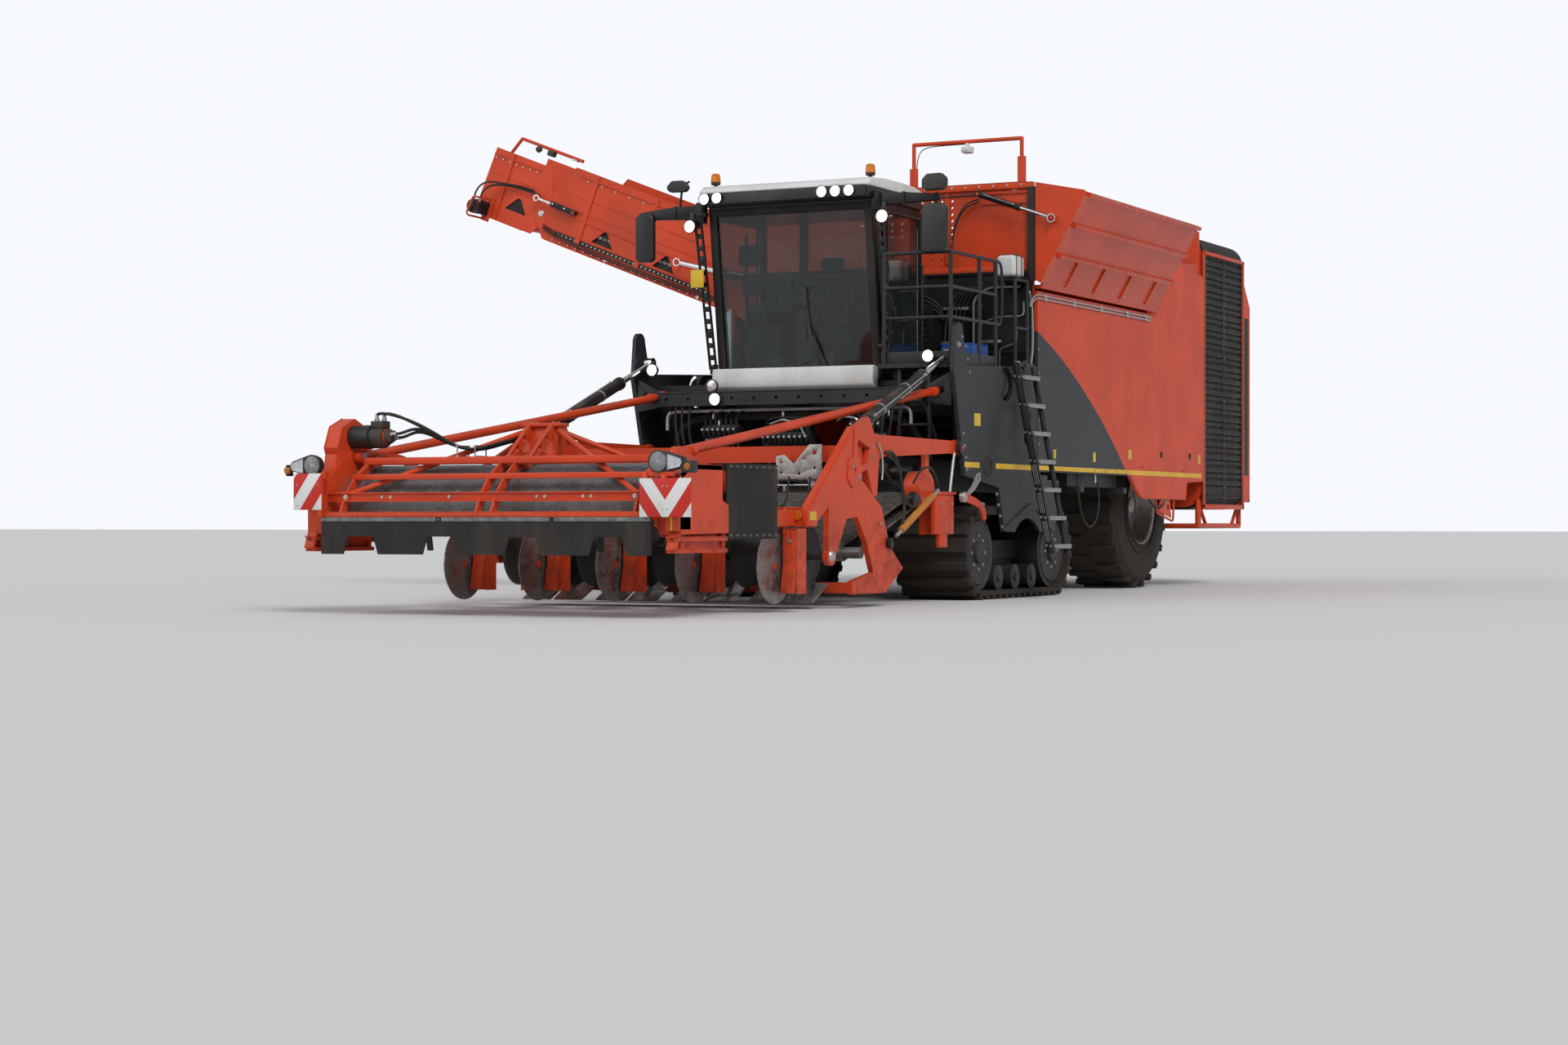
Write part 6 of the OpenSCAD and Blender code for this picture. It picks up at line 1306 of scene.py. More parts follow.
def platform_parts():
    """Anti-slip floor, toe boards, rail ends, crate and the fluid tank of the platform."""
    tread = Shape()
    for i in range(11):
        for j in range(29):
            x, y = 0.97 + i * 0.062 + (0.031 if j % 2 else 0), -1.62 + j * 0.062
            if x < 1.62:
                slant = 0.013 if (i + j) % 2 else -0.013
                tread.bar((x - 0.013, y - slant, 2.2), (x + 0.013, y + slant, 2.2), 0.008, 0.005)
    tread.piece("platform_tread", "chassis", "galvanised")
    edge = Shape()
    edge.box((1.642, -1.69, 2.2), (1.65, -0.62, 2.31), 0.002)
    edge.box((0.93, -1.697, 2.2), (1.645, -1.689, 2.31), 0.002)
    edge.box((1.642, -0.62, 2.165), (1.656, 0.25, 2.21), 0.003)
    edge.pipe([(1.64, -0.63, 2.62), (1.64, -0.5, 2.62), (1.64, -0.46, 2.75), (1.64, -0.46, 3.1), (1.64, -0.5, 3.22),
               (1.64, -0.63, 3.22)], 0.014, 0.09)
    edge.pipe([(0.97, -1.71, 2.9), (0.97, -1.66, 2.9), (0.97, -1.62, 3.0), (0.97, -1.62, 3.12), (0.97, -1.66, 3.22),
               (0.97, -1.71, 3.22)], 0.013, 0.05)
    for y in (-1.03, -0.63):
        edge.box((1.605, y - 0.045, 2.2), (1.652, y + 0.045, 2.212), 0.002)
    edge.piece("platform_edges", "chassis", "frame_dark")
    crate = Shape()
    crate.box((1.02, -0.5, 2.312), (1.34, -0.08, 2.32), 0.002)
    for x0, x1, y0, y1 in ((1.02, 1.026, -0.5, -0.08), (1.334, 1.34, -0.5, -0.08), (1.02, 1.34, -0.5, -0.494),
                           (1.02, 1.34, -0.086, -0.08)):
        crate.box((x0, y0, 2.312), (x1, y1, 2.452), 0.001)
    crate.pipe([(1.02, -0.5, 2.452), (1.34, -0.5, 2.452), (1.34, -0.08, 2.452), (1.02, -0.08, 2.452),
                (1.02, -0.5, 2.452)], 0.007, 0.02, 6)
    for y in (-0.42, -0.34, -0.26, -0.18):
        crate.box((1.339, y - 0.004, 2.33), (1.3435, y + 0.004, 2.44), 0.001)
    for x in (1.09, 1.18, 1.27):
        crate.slab(x, 0.004, (-0.5035, 2.33), (-0.499, 2.44), 0.001)
    crate.piece("tool_crate", "chassis", "crate_blue")
    shelf = Shape()
    shelf.box((1.0, -0.52, 2.2), (1.36, -0.06, 2.212), 0.003)
    for x in (1.012, 1.348):
        for y in (-0.508, -0.072):
            shelf.slab(x, 0.012, (y - 0.012, 2.2), (y + 0.012, 2.315), 0.002)
    shelf.box((1.0, -0.52, 2.298), (1.36, -0.06, 2.312), 0.003)
    shelf.piece("crate_shelf", "chassis", "frame_dark")
    tank = Shape()
    tank.box((1.4, -0.02, 3.13), (1.59, 0.258, 3.34), 0.035, 4)
    tank.rod((1.5, 0.2, 3.33), (1.5, 0.2, 3.35), 0.034, sides=20)
    tank.piece("washing_tank", "chassis", "white_plastic", replaces=("fluid_tank",))
    holder = Shape()
    holder.box((1.372, -0.032, 3.092), (1.612, 0.3, 3.104), 0.003)
    holder.box((1.372, 0.262, 3.092), (1.612, 0.304, 3.128), 0.003)
    for y in (0.03, 0.16):
        holder.pipe([(1.396, y, 3.1), (1.396, y, 3.33), (1.41, y, 3.344), (1.58, y, 3.344), (1.594, y, 3.33),
                     (1.594, y, 3.1)], 0.0045, 0.012, 6)
    holder.rod((1.5, 0.2, 3.348), (1.5, 0.2, 3.366), 0.029, sides=20, edge=0.004)
    for x, y in circle(1.5, 0.2, 0.029, 10):
        holder.slab(x, 0.003, (y - 0.003, 3.35), (y + 0.003, 3.364))
    holder.rod((1.46, -0.02, 3.16), (1.46, -0.045, 3.16), 0.011, sides=12)
    holder.piece("tank_holder", "chassis", "black_plastic", replaces=("fluid_tank",))
    # Pipes and a valve behind the rails
    pipes = Shape()
    pipes.pipe([(1.05, 0.24, 2.25), (1.05, 0.24, 2.95), (1.2, 0.24, 3.05), (1.55, 0.24, 3.05)], 0.013, 0.07)
    pipes.pipe([(1.12, 0.25, 2.2), (1.12, 0.25, 2.7), (1.3, 0.25, 2.76), (1.58, 0.25, 2.76), (1.58, 0.25, 2.9)], 0.009,
               0.05)
    pipes.pipe([(1.32, 0.26, 2.2), (1.32, 0.26, 2.44), (1.5, 0.26, 2.5), (1.5, 0.26, 2.66)], 0.009, 0.04)
    pipes.box((1.1, 0.225, 2.5), (1.35, 0.26, 2.53), 0.004)
    pipes.piece("platform_pipes", "chassis", "pipe_silver")


def painted_shade_sheet():
    """Painted shade: a dark sheet on the bunker's front wall, with ribs, boxes and lines, that stands for the red wall
    in deep shade.
    """
    dark = Shape()
    # Painted shade: this dark sheet over the bunker's red front wall stands for the wall in deep shade
    dark.box((-0.78, 0.289, 2.075), (1.655, 0.3, 3.205), 0.003)
    for x in SHADE_SHEET_RIBS:
        dark.slab(x, 0.018, (0.272, 2.1), (0.29, 3.2), 0.004)
    for z in (2.4, 2.8, 3.18):
        dark.box((-0.78, 0.276, z), (1.65, 0.29, z + 0.03), 0.003)
    dark.box((-0.55, 0.16, 2.45), (0.05, 0.28, 2.78), 0.015)
    dark.box((0.2, 0.18, 2.3), (0.62, 0.28, 2.9), 0.015)
    for k in range(9):
        dark.box((0.24, 0.172, 2.36 + k * 0.055), (0.58, 0.184, 2.385 + k * 0.055), 0.003)
    dark.piece("painted_shade_sheet", "chassis", "cab_black")
    lines = Shape()
    for k in range(5):
        x = 0.72 + 0.045 * k
        lines.hose([(x, 0.262, 2.1), (x, 0.262, 2.4), (x + 0.02, 0.258, 2.75), (x + 0.1, 0.25, 3.0),
                    (x + 0.28, 0.255, 3.08), (x + 0.42, 0.262, 3.06)], 0.011)
    for k in range(3):
        z = 2.95 + 0.04 * k
        lines.hose([(-0.7, 0.262, z), (-0.3, 0.25, z + 0.02), (0.15, 0.262, z - 0.02), (0.6, 0.255, z),
                    (0.72, 0.262, z - 0.2)], 0.009)
    lines.piece("shade_sheet_hoses", "chassis", "hose_rubber")
    studs = Shape()
    for x in SHADE_SHEET_RIBS:
        studs.bolts((x, 0.272, 2.2), (x, 0.272, 3.1), 5, (0, -1, 0), 0.009)
    studs.box((0.7, 0.245, 2.5), (0.93, 0.275, 2.53), 0.003)
    studs.box((0.72, 0.245, 2.84), (0.99, 0.275, 2.87), 0.003)
    studs.piece("shade_sheet_bolts", "chassis", "zinc")


def ring_parts():
    """Edge frames, strap and fixings of the ring elevator, its lower frame and the rear hood."""
    red = Shape()
    for y0, y1 in ((5.552, 5.606), (7.066, 7.12)):
        red.box((1.688, y0, 0.9), (1.703, y1, 3.86), 0.003)
        red.box((1.668, y0 + 0.02, 0.9), (1.703, y0 + 0.032, 3.86), 0.002)
    red.box((1.688, 5.552, 0.885), (1.703, 7.12, 0.94), 0.003)
    red.box((1.688, 5.56, 3.83), (1.703, 7.12, 3.87), 0.003)
    for y in (5.57, 7.1):
        red.bar((1.64, y, 0.72), (1.64, y, 0.95), 0.05, 0.012, (0, 1, 0), 0.002)
    red.bar((1.63, 5.56, 0.97), (1.63, 5.85, 0.71), 0.035, 0.035, (1, 0, 0), 0.006)
    red.bar((1.63, 7.11, 0.97), (1.63, 6.85, 0.71), 0.035, 0.035, (1, 0, 0), 0.006)
    red.pipe([(1.63, 5.8, 0.7), (1.63, 6.9, 0.7)], 0.022, 0.05, 10)
    # Bracket plate under the cover with its lower rail
    red.plate([(4.1, 1.02), (4.42, 1.02), (4.47, 0.78), (4.0, 0.86), (4.0, 0.9), (4.08, 0.93)], "X", 1.665, 1.677,
              [(4.36, 0.9, 0.035, 14), (4.2, 0.94, 0.02, 12)], 0.003)
    red.pipe([(1.685, 3.9, 1.0), (1.685, 3.94, 0.84), (1.685, 4.5, 0.74), (1.685, 4.53, 1.0)], 0.013, 0.05)
    red.both_sides().piece("ring_edge_frames", "chassis", "red_panel")
    dark = Shape()
    dark.box((1.6885, 6.318, 0.94), (1.697, 6.352, 3.85), 0.002)
    for y0, y1 in ((5.62, 5.644), (7.03, 7.054)):
        dark.box((1.6885, y0, 0.94), (1.696, y1, 3.85), 0.002)
    for i in range(20):
        z = 1.02 + i * 0.15
        dark.box((1.6885, 5.65, z), (1.6925, 7.02, z + 0.012), 0.001)
    dark.box((1.6, 4.1, 0.88), (1.66, 4.28, 1.02), 0.012)
    dark.rod((1.61, 4.36, 0.93), (1.67, 4.36, 0.93), 0.04, edge=0.01)
    dark.both_sides().piece("ring_straps", "chassis", "grille")
    metal = Shape()
    for i in range(12):
        for y in (5.585, 7.088):
            metal.bolt((1.703, y, 1.1 + i * 0.24), (1, 0, 0), 0.009)
    for i in range(6):
        metal.bolt((1.697, 6.335, 1.15 + i * 0.5), (1, 0, 0), 0.009)
    for y in (4.12, 4.2, 4.28):
        metal.rod((1.66, y, 0.97), (1.69, y, 0.97), 0.014, sides=6)
    metal.both_sides().piece("ring_bolts", "chassis", "zinc")
    hoses = Shape()
    for k in range(3):
        hoses.hose([(1.66, 4.12 + 0.06 * k, 0.96), (1.685, 4.08 + 0.05 * k, 0.9), (1.685, 3.98, 0.86 + 0.02 * k),
                    (1.69, 3.8, 0.9), (1.69, 3.62, 1.02)], 0.011)
    free_hose("low_side_loop", "chassis", "hose_dusty", [
        (1.665, 2.07, 1.222), (1.688, 2.08, 1.08), (1.695, 2.1, 0.92), (1.69, 2.02, 0.75), (1.68, 1.88, 0.67),
        (1.68, 1.72, 0.7), (1.67, 1.58, 0.86), (1.67, 1.52, 1.05), (1.665, 1.5, 1.222)], 0.012)
    hoses.both_sides().piece("low_side_hoses", "chassis", "hose_dusty")
    ends = Shape()
    for y, z in ((2.07, 1.16), (2.07, 1.21)):
        ends.rod((1.655, y, z - 0.02), (1.655, y, z + 0.03), 0.018, sides=6)
    ends.both_sides().piece("low_hose_ends", "chassis", "zinc")
    # Rear hood: frames, recess, grilles, lamps and the blank number plate
    hood = Shape()
    hood.box((-1.672, 7.438, 0.975), (1.672, 7.452, 1.05), 0.004)
    for x in (-1.67, -0.86, 0.8, 1.61):
        hood.box((x, 7.44, 1.0), (x + 0.06, 7.456, 3.33), 0.004)
    hood.box((-1.67, 7.44, 2.3), (1.67, 7.456, 2.36), 0.004)
    for s in (-1, 1):
        hood.slab(s * 1.668, 0.005, (7.16, 1.0), (7.2, 3.6), 0.002)
        hood.slab(s * 1.668, 0.005, (7.4, 1.0), (7.44, 3.35), 0.002)
    hood.piece("rear_hood_frames", "chassis", "red_panel")
    dark = Shape()
    for s in (-1, 1):
        dark.slab(s * 1.6705, 0.0015, (7.205, 1.3), (7.395, 3.2), 0.001)
    for x0, x1, z0, z1 in ((-0.79, 0.79, 2.4, 3.2), (-0.79, 0.79, 1.2, 2.25)):
        dark.box((x0, 7.444, z0), (x1, 7.452, z1), 0.003)
        for k in range(int((z1 - z0) / 0.05)):
            dark.bar((x0 + 0.02, 7.453, z0 + 0.03 + k * 0.05), (x1 - 0.02, 7.453, z0 + 0.03 + k * 0.05), 0.006, 0.03,
                     (0, 0.5, 1))
    for s in (-1, 1):
        dark.slab(s * 1.28, 0.24, (7.45, 1.1), (7.475, 1.27), 0.01)
        dark.slab(s * 1.28, 0.05, (7.45, 3.02), (7.48, 3.12), 0.008)
    dark.box((-0.27, 7.45, 1.08), (0.27, 7.462, 1.21), 0.003)
    dark.piece("rear_grilles", "chassis", "grille")
    for name, finish, places in (("rear_red_lenses", "red_lens", ((1.28, 0.05), (1.16, 0.055))),
                                 ("rear_amber_lenses", "amber_lens", ((1.42, 0.07),))):
        lens = Shape()
        for s in (-1, 1):
            for x, half in places:
                lens.slab(s * x, half, (7.472, 1.12), (7.486, 1.25), 0.008)
        lens.piece(name, "chassis", finish)
    lens = Shape()
    for s in (-1, 1):
        lens.rod((s * 1.28, 7.478, 3.07), (s * 1.28, 7.49, 3.07), 0.036, sides=20, edge=0.005)
    lens.piece("rear_work_lenses", "chassis", "clear_lens")
    plate = Shape().box((-0.25, 7.461, 1.09), (0.25, 7.4645, 1.2), 0.001)
    plate.piece("blank_number_plate", "chassis", "white_plastic")
    tow = Shape()
    tow.plate([(7.44, 0.76), (7.3, 0.76), (7.3, 0.9), (7.44, 0.9)], "X", -0.06, 0.06, (), 0.008)
    tow.rod((0, 7.4, 0.72), (0, 7.4, 0.96), 0.02, edge=0.004)
    tow.piece("tow_pin", "chassis", "zinc")


def bunker_parts():
    """Rim, hoop camera, hose runs and fixings of the bunker, and the wing's flanges."""
    red = Shape()
    red.box((-1.664, 0.264, 4.074), (1.6, 0.34, 4.086), 0.004)
    red.box((-1.664, 0.264, 4.02), (1.6, 0.27, 4.084), 0.002)
    for x in (-0.85, 0.72):
        red.box((x, 0.292, 3.3), (x + 0.05, 0.307, 4.03), 0.003)
    red.box((-1.6, 0.294, 3.21), (1.6, 0.307, 3.26), 0.003)
    red.box((-1.672, 1.53, 4.066), (-1.652, 5.5, 4.084), 0.004)
    for y in (2.2, 3.0, 3.8, 4.6):
        red.box((-1.676, y - 0.02, 3.66), (-1.668, y + 0.02, 4.07), 0.002)
    red.piece("bunker_rim_lips", "chassis", "red_panel")
    metal = Shape()
    metal.bolts((-1.55, 0.258, 4.052), (1.55, 0.258, 4.052), 22, (0, -1, 0), 0.009)
    metal.bolts((-0.6, 0.295, 3.235), (1.5, 0.295, 3.235), 13, (0, -1, 0), 0.009)
    for x in (0.43, 1.47):
        metal.slab(x, 0.03, (0.3, 4.0), (0.352, 4.015), 0.003)
    metal.piece("bunker_bolts", "chassis", "zinc")
    camera = Shape()
    camera.box((0.9, 0.27, 4.405), (1.0, 0.38, 4.47), 0.012)
    camera.rod((0.95, 0.272, 4.437), (0.95, 0.256, 4.437), 0.02, edge=0.003)
    camera.box((0.935, 0.31, 4.465), (0.965, 0.342, 4.505), 0.004)
    camera.piece("hoop_camera", "chassis", "white_plastic")
    hoses = Shape()
    for k in (0, 0.03):
        hoses.hose([(1.1, 0.255, 3.9 + k), (1.0, 0.235, 3.88 + k), (0.9, 0.25, 3.8 + k), (0.82, 0.262, 3.6 + k),
                    (0.8, 0.28, 3.4), (0.8, 0.3, 3.2), (0.78, 0.296, 3.0)], 0.008)
    hoses.hose([(0.95, 0.345, 4.5), (0.8, 0.352, 4.5), (0.55, 0.352, 4.502), (0.4, 0.352, 4.47), (0.385, 0.352, 4.3),
                (0.385, 0.352, 4.1)], 0.005, 6)
    hoses.hose([(-1.5, 0.25, 4.0), (-1.2, 0.24, 3.97), (-0.8, 0.25, 3.98), (-0.4, 0.24, 3.97), (0.1, 0.25, 3.98),
                (0.7, 0.24, 3.96), (1.1, 0.25, 3.97)], 0.009)
    hoses.piece("bunker_hoses", "chassis", "hose_rubber")
    Shape().box((1.61, 0.266, 3.1), (1.6985, 0.28, 4.03), 0.003).piece("wing_seal", "chassis", "rubber_flap")
    tilt = Matrix.Translation((1.726, 0, 3.048)) @ Matrix.Rotation(math.radians(29), 4, "Y")
    wing = Shape()
    for z in (0.33, 0.66):
        for y in (0.335, 3.762):
            wing.box((0.01, y - 0.006, z - 0.006), (0.054, y + 0.006, z + 0.046), 0.002)
        wing.box((0.047, 0.33, z + 0.001), (0.0525, 3.768, z + 0.008), 0.001)
        wing.box((0.047, 0.33, z + 0.032), (0.0525, 3.768, z + 0.039), 0.001)
    for y in (0.9, 1.7, 2.5, 3.3):
        wing.box((0.011, y - 0.005, 0.05), (0.03, y + 0.005, 0.33), 0.002)
    wing.turned(tilt).piece("wing_ribs", "bunker_wing", "red_panel")
    studs = Shape()
    studs.bolts((0.041, 0.5, 1.01), (0.041, 3.6, 1.01), 12, (1, 0, 0), 0.009)
    studs.bolts((0.053, 0.6, 0.35), (0.053, 3.5, 0.35), 8, (1, 0, 0), 0.008)
    studs.bolts((0.013, 0.5, 0.085), (0.013, 3.65, 0.085), 10, (1, 0, 0), 0.01)
    studs.turned(tilt).piece("wing_bolts", "bunker_wing", "zinc")
    strap = Shape()
    for y in (0.42, 2.05, 3.68):
        strap.box((-0.0145, y - 0.03, 0.02), (-0.0115, y + 0.03, 1.0), 0.001)
    strap.turned(tilt).piece("wing_wear_strips", "bunker_wing", "grey_sheet")


def elevator_parts():
    """Edges, drive chain, hoses, motor guard and cameras of the unloading elevator."""
    place = Matrix.Translation((-1.83, 0, 3.01)) @ Matrix.Rotation(math.radians(21), 4, "Y")
    red = Shape()
    for y0, y1 in ((0.352, 0.3665), (1.4655, 1.48)):
        red.box((-2.1, y0, 0.716), (0.08, y1, 0.73), 0.002)
        red.box((-2.3, y0, -0.062), (0.085, y1, -0.05), 0.002)
    for v in (0.35, 0.5):
        red.box((-2.3, 0.36, v), (0.06, 0.3665, v + 0.008), 0.002)
        red.box((-2.3, 1.4655, v), (0.06, 1.472, v + 0.008), 0.002)
    red.box((-2.3, 0.356, 0.26), (0.06, 0.3665, 0.272), 0.002)
    red.box((-2.3, 0.356, 0.078), (0.06, 0.3665, 0.09), 0.002)
    red.turned(place).piece("elevator_inner_edges", "elevator_inner", "red_panel")
    chain = Shape()
    for k in range(34):
        u = -0.15 - k * 0.06
        chain.rod((u, 0.377, 0.175), (u, 0.3935, 0.175), 0.02, sides=8)
        chain.bar((u, 0.3885, 0.175), (u - 0.06, 0.3885, 0.175), 0.006, 0.022)
    chain.turned(place).piece("elevator_chain", "elevator_inner", "web_steel")
    back = Shape()
    back.box((-2.28, 0.3945, 0.09), (-0.1, 0.3975, 0.26))
    back.box((-2.28, 1.4345, 0.09), (-0.1, 1.4375, 0.26))
    back.turned(place).piece("elevator_chain_guards", "elevator_inner", "belt_black")
    back = Shape()
    back.box((-3.1, 0.4, 0.085), (-2.62, 0.403, 0.265))
    back.box((-3.1, 1.429, 0.085), (-2.62, 1.432, 0.265))
    for k in range(7):
        back.rod((-2.64 - k * 0.06, 0.3945, 0.165), (-2.64 - k * 0.06, 0.401, 0.165), 0.019, sides=8)
    back.turned(place).piece("tip_chain_guards", "elevator_outer", "belt_black")
    # Lower chain run that shows below the windows
    run, links = Shape(), Shape()
    run.box((-2.2, 0.3625, 0.028), (-0.2, 0.3665, 0.068), 0.001)
    for k in range(36):
        links.rod((-0.23 - k * 0.055, 0.3605, 0.048), (-0.23 - k * 0.055, 0.366, 0.048), 0.009, sides=8)
    run.turned(place).piece("elevator_chain_run", "elevator_inner", "belt_black")
    links.turned(place).piece("elevator_chain_links", "elevator_inner", "zinc")
    studs = Shape()
    studs.bolts((-2.2, 0.352, -0.03), (0.0, 0.352, -0.03), 22, (0, -1, 0), 0.006)
    studs.bolts((-2.0, 0.3655, 0.69), (0.0, 0.3655, 0.69), 12, (0, -1, 0), 0.008)
    for u in (-0.3, -1.5):
        studs.rod((u, 0.352, -0.03), (u, 0.367, -0.03), 0.02, sides=12)
    studs.turned(place).piece("elevator_inner_bolts", "elevator_inner", "zinc")
    red = Shape()
    y0, y1 = 0.371, 0.3845
    red.box((-3.24, y0, 0.616), (-2.6, y1, 0.63), 0.002)
    red.box((-3.24, y0, -0.062), (-2.62, y1, -0.05), 0.002)
    for v in (0.3, 0.42):
        red.box((-3.2, 0.378, v), (-2.6, 0.3845, v + 0.008), 0.002)
    red.turned(place).piece("elevator_outer_edges", "elevator_outer", "red_panel")
    # Red guard hoop round the motor, with its bracket
    guard = Shape()
    guard.pipe([(-3.1, 0.384, 0.13), (-3.14, 0.14, 0.13), (-3.17, 0.115, 0.12), (-3.19, 0.115, -0.07),
                (-3.17, 0.14, -0.09), (-3.12, 0.384, -0.09)], 0.011, 0.05)
    guard.box((-3.16, 0.368, -0.11), (-3.06, 0.384, 0.15), 0.003)
    guard.turned(place).piece("tip_motor_guard", "elevator_outer", "red_panel")
    motor = Shape()
    for k in range(6):
        motor.lathe([(0.06, 0), (0.0785, 0.002), (0.0785, 0.009), (0.06, 0.011)], (-3.17, 0.17 + k * 0.022, 0.02), "Y",
                    24)
    motor.rod((-3.17, 0.152, 0.02), (-3.17, 0.372, 0.02), 0.0762, sides=32, edge=0.012)
    motor.box((-3.25, 0.31, -0.055), (-3.09, 0.372, 0.095), 0.012)
    motor.turned(place).piece("tip_motor_ribs", "elevator_outer", "cab_black")
    fit = Shape()
    for u, v in ((-3.13, 0.07), (-3.21, 0.07)):
        fit.rod((u, 0.2, v), (u, 0.2, v + 0.05), 0.014, sides=6)
    fit.bolts((-3.2, 0.37, 0.59), (-2.65, 0.37, 0.59), 7, (0, -1, 0), 0.008)
    fit.turned(place).piece("tip_fittings", "elevator_outer", "zinc")
    hoses = Shape()
    for k, u in enumerate((-3.13, -3.21)):
        hoses.hose([(u, 0.2, 0.11), (u - 0.01, 0.2, 0.2), (u + 0.05, 0.22, 0.3 + 0.02 * k), (u + 0.18, 0.3, 0.34),
                    (u + 0.3, 0.358, 0.36), (u + 0.45, 0.362, 0.37 + 0.02 * k), (u + 0.6, 0.362, 0.37 + 0.02 * k)],
                   0.01)
    hoses.turned(place).piece("tip_hoses", "elevator_outer", "hose_rubber")
    lamp = Shape()
    lamp.rod((-2.72, 0.396, 0.84), (-2.72, 0.36, 0.815), 0.034, sides=20, edge=0.006)
    lamp.box((-2.6, 0.36, 0.8), (-2.52, 0.44, 0.862), 0.01)
    lamp.turned(place).piece("tip_lamp", "elevator_outer", "lamp")
    eye = Shape()
    eye.rod((-2.56, 0.44, 0.83), (-2.56, 0.455, 0.828), 0.018, edge=0.003)
    eye.box((-2.3, 0.385, 0.842), (-2.22, 0.43, 0.862), 0.004)
    eye.turned(place).piece("tip_camera_eye", "elevator_outer", "pipe_silver")
    # Hoses along the inner section's lower edge and knee pin heads
    lines = Shape()
    for k in range(2):
        lines.hose([(0.02, 0.35, 0.02 + 0.03 * k), (-0.3, 0.346, -0.02 + 0.026 * k), (-0.9, 0.345, -0.02 + 0.026 * k),
                    (-1.6, 0.345, -0.02 + 0.026 * k), (-2.2, 0.345, 0.0 + 0.026 * k), (-2.36, 0.345, 0.06 + 0.026 * k)],
                   0.009)
    lines.turned(place).piece("elevator_hoses", "elevator_inner", "hose_rubber")
    pin = Shape().lathe([(0, -0.012), (0.03, -0.012), (0.036, -0.006), (0.036, 0.0)], (-2.44, 0.366, 0.19), "Y", 24)
    pin.turned(place).piece("knee_pin_head", "elevator_inner", "zinc")


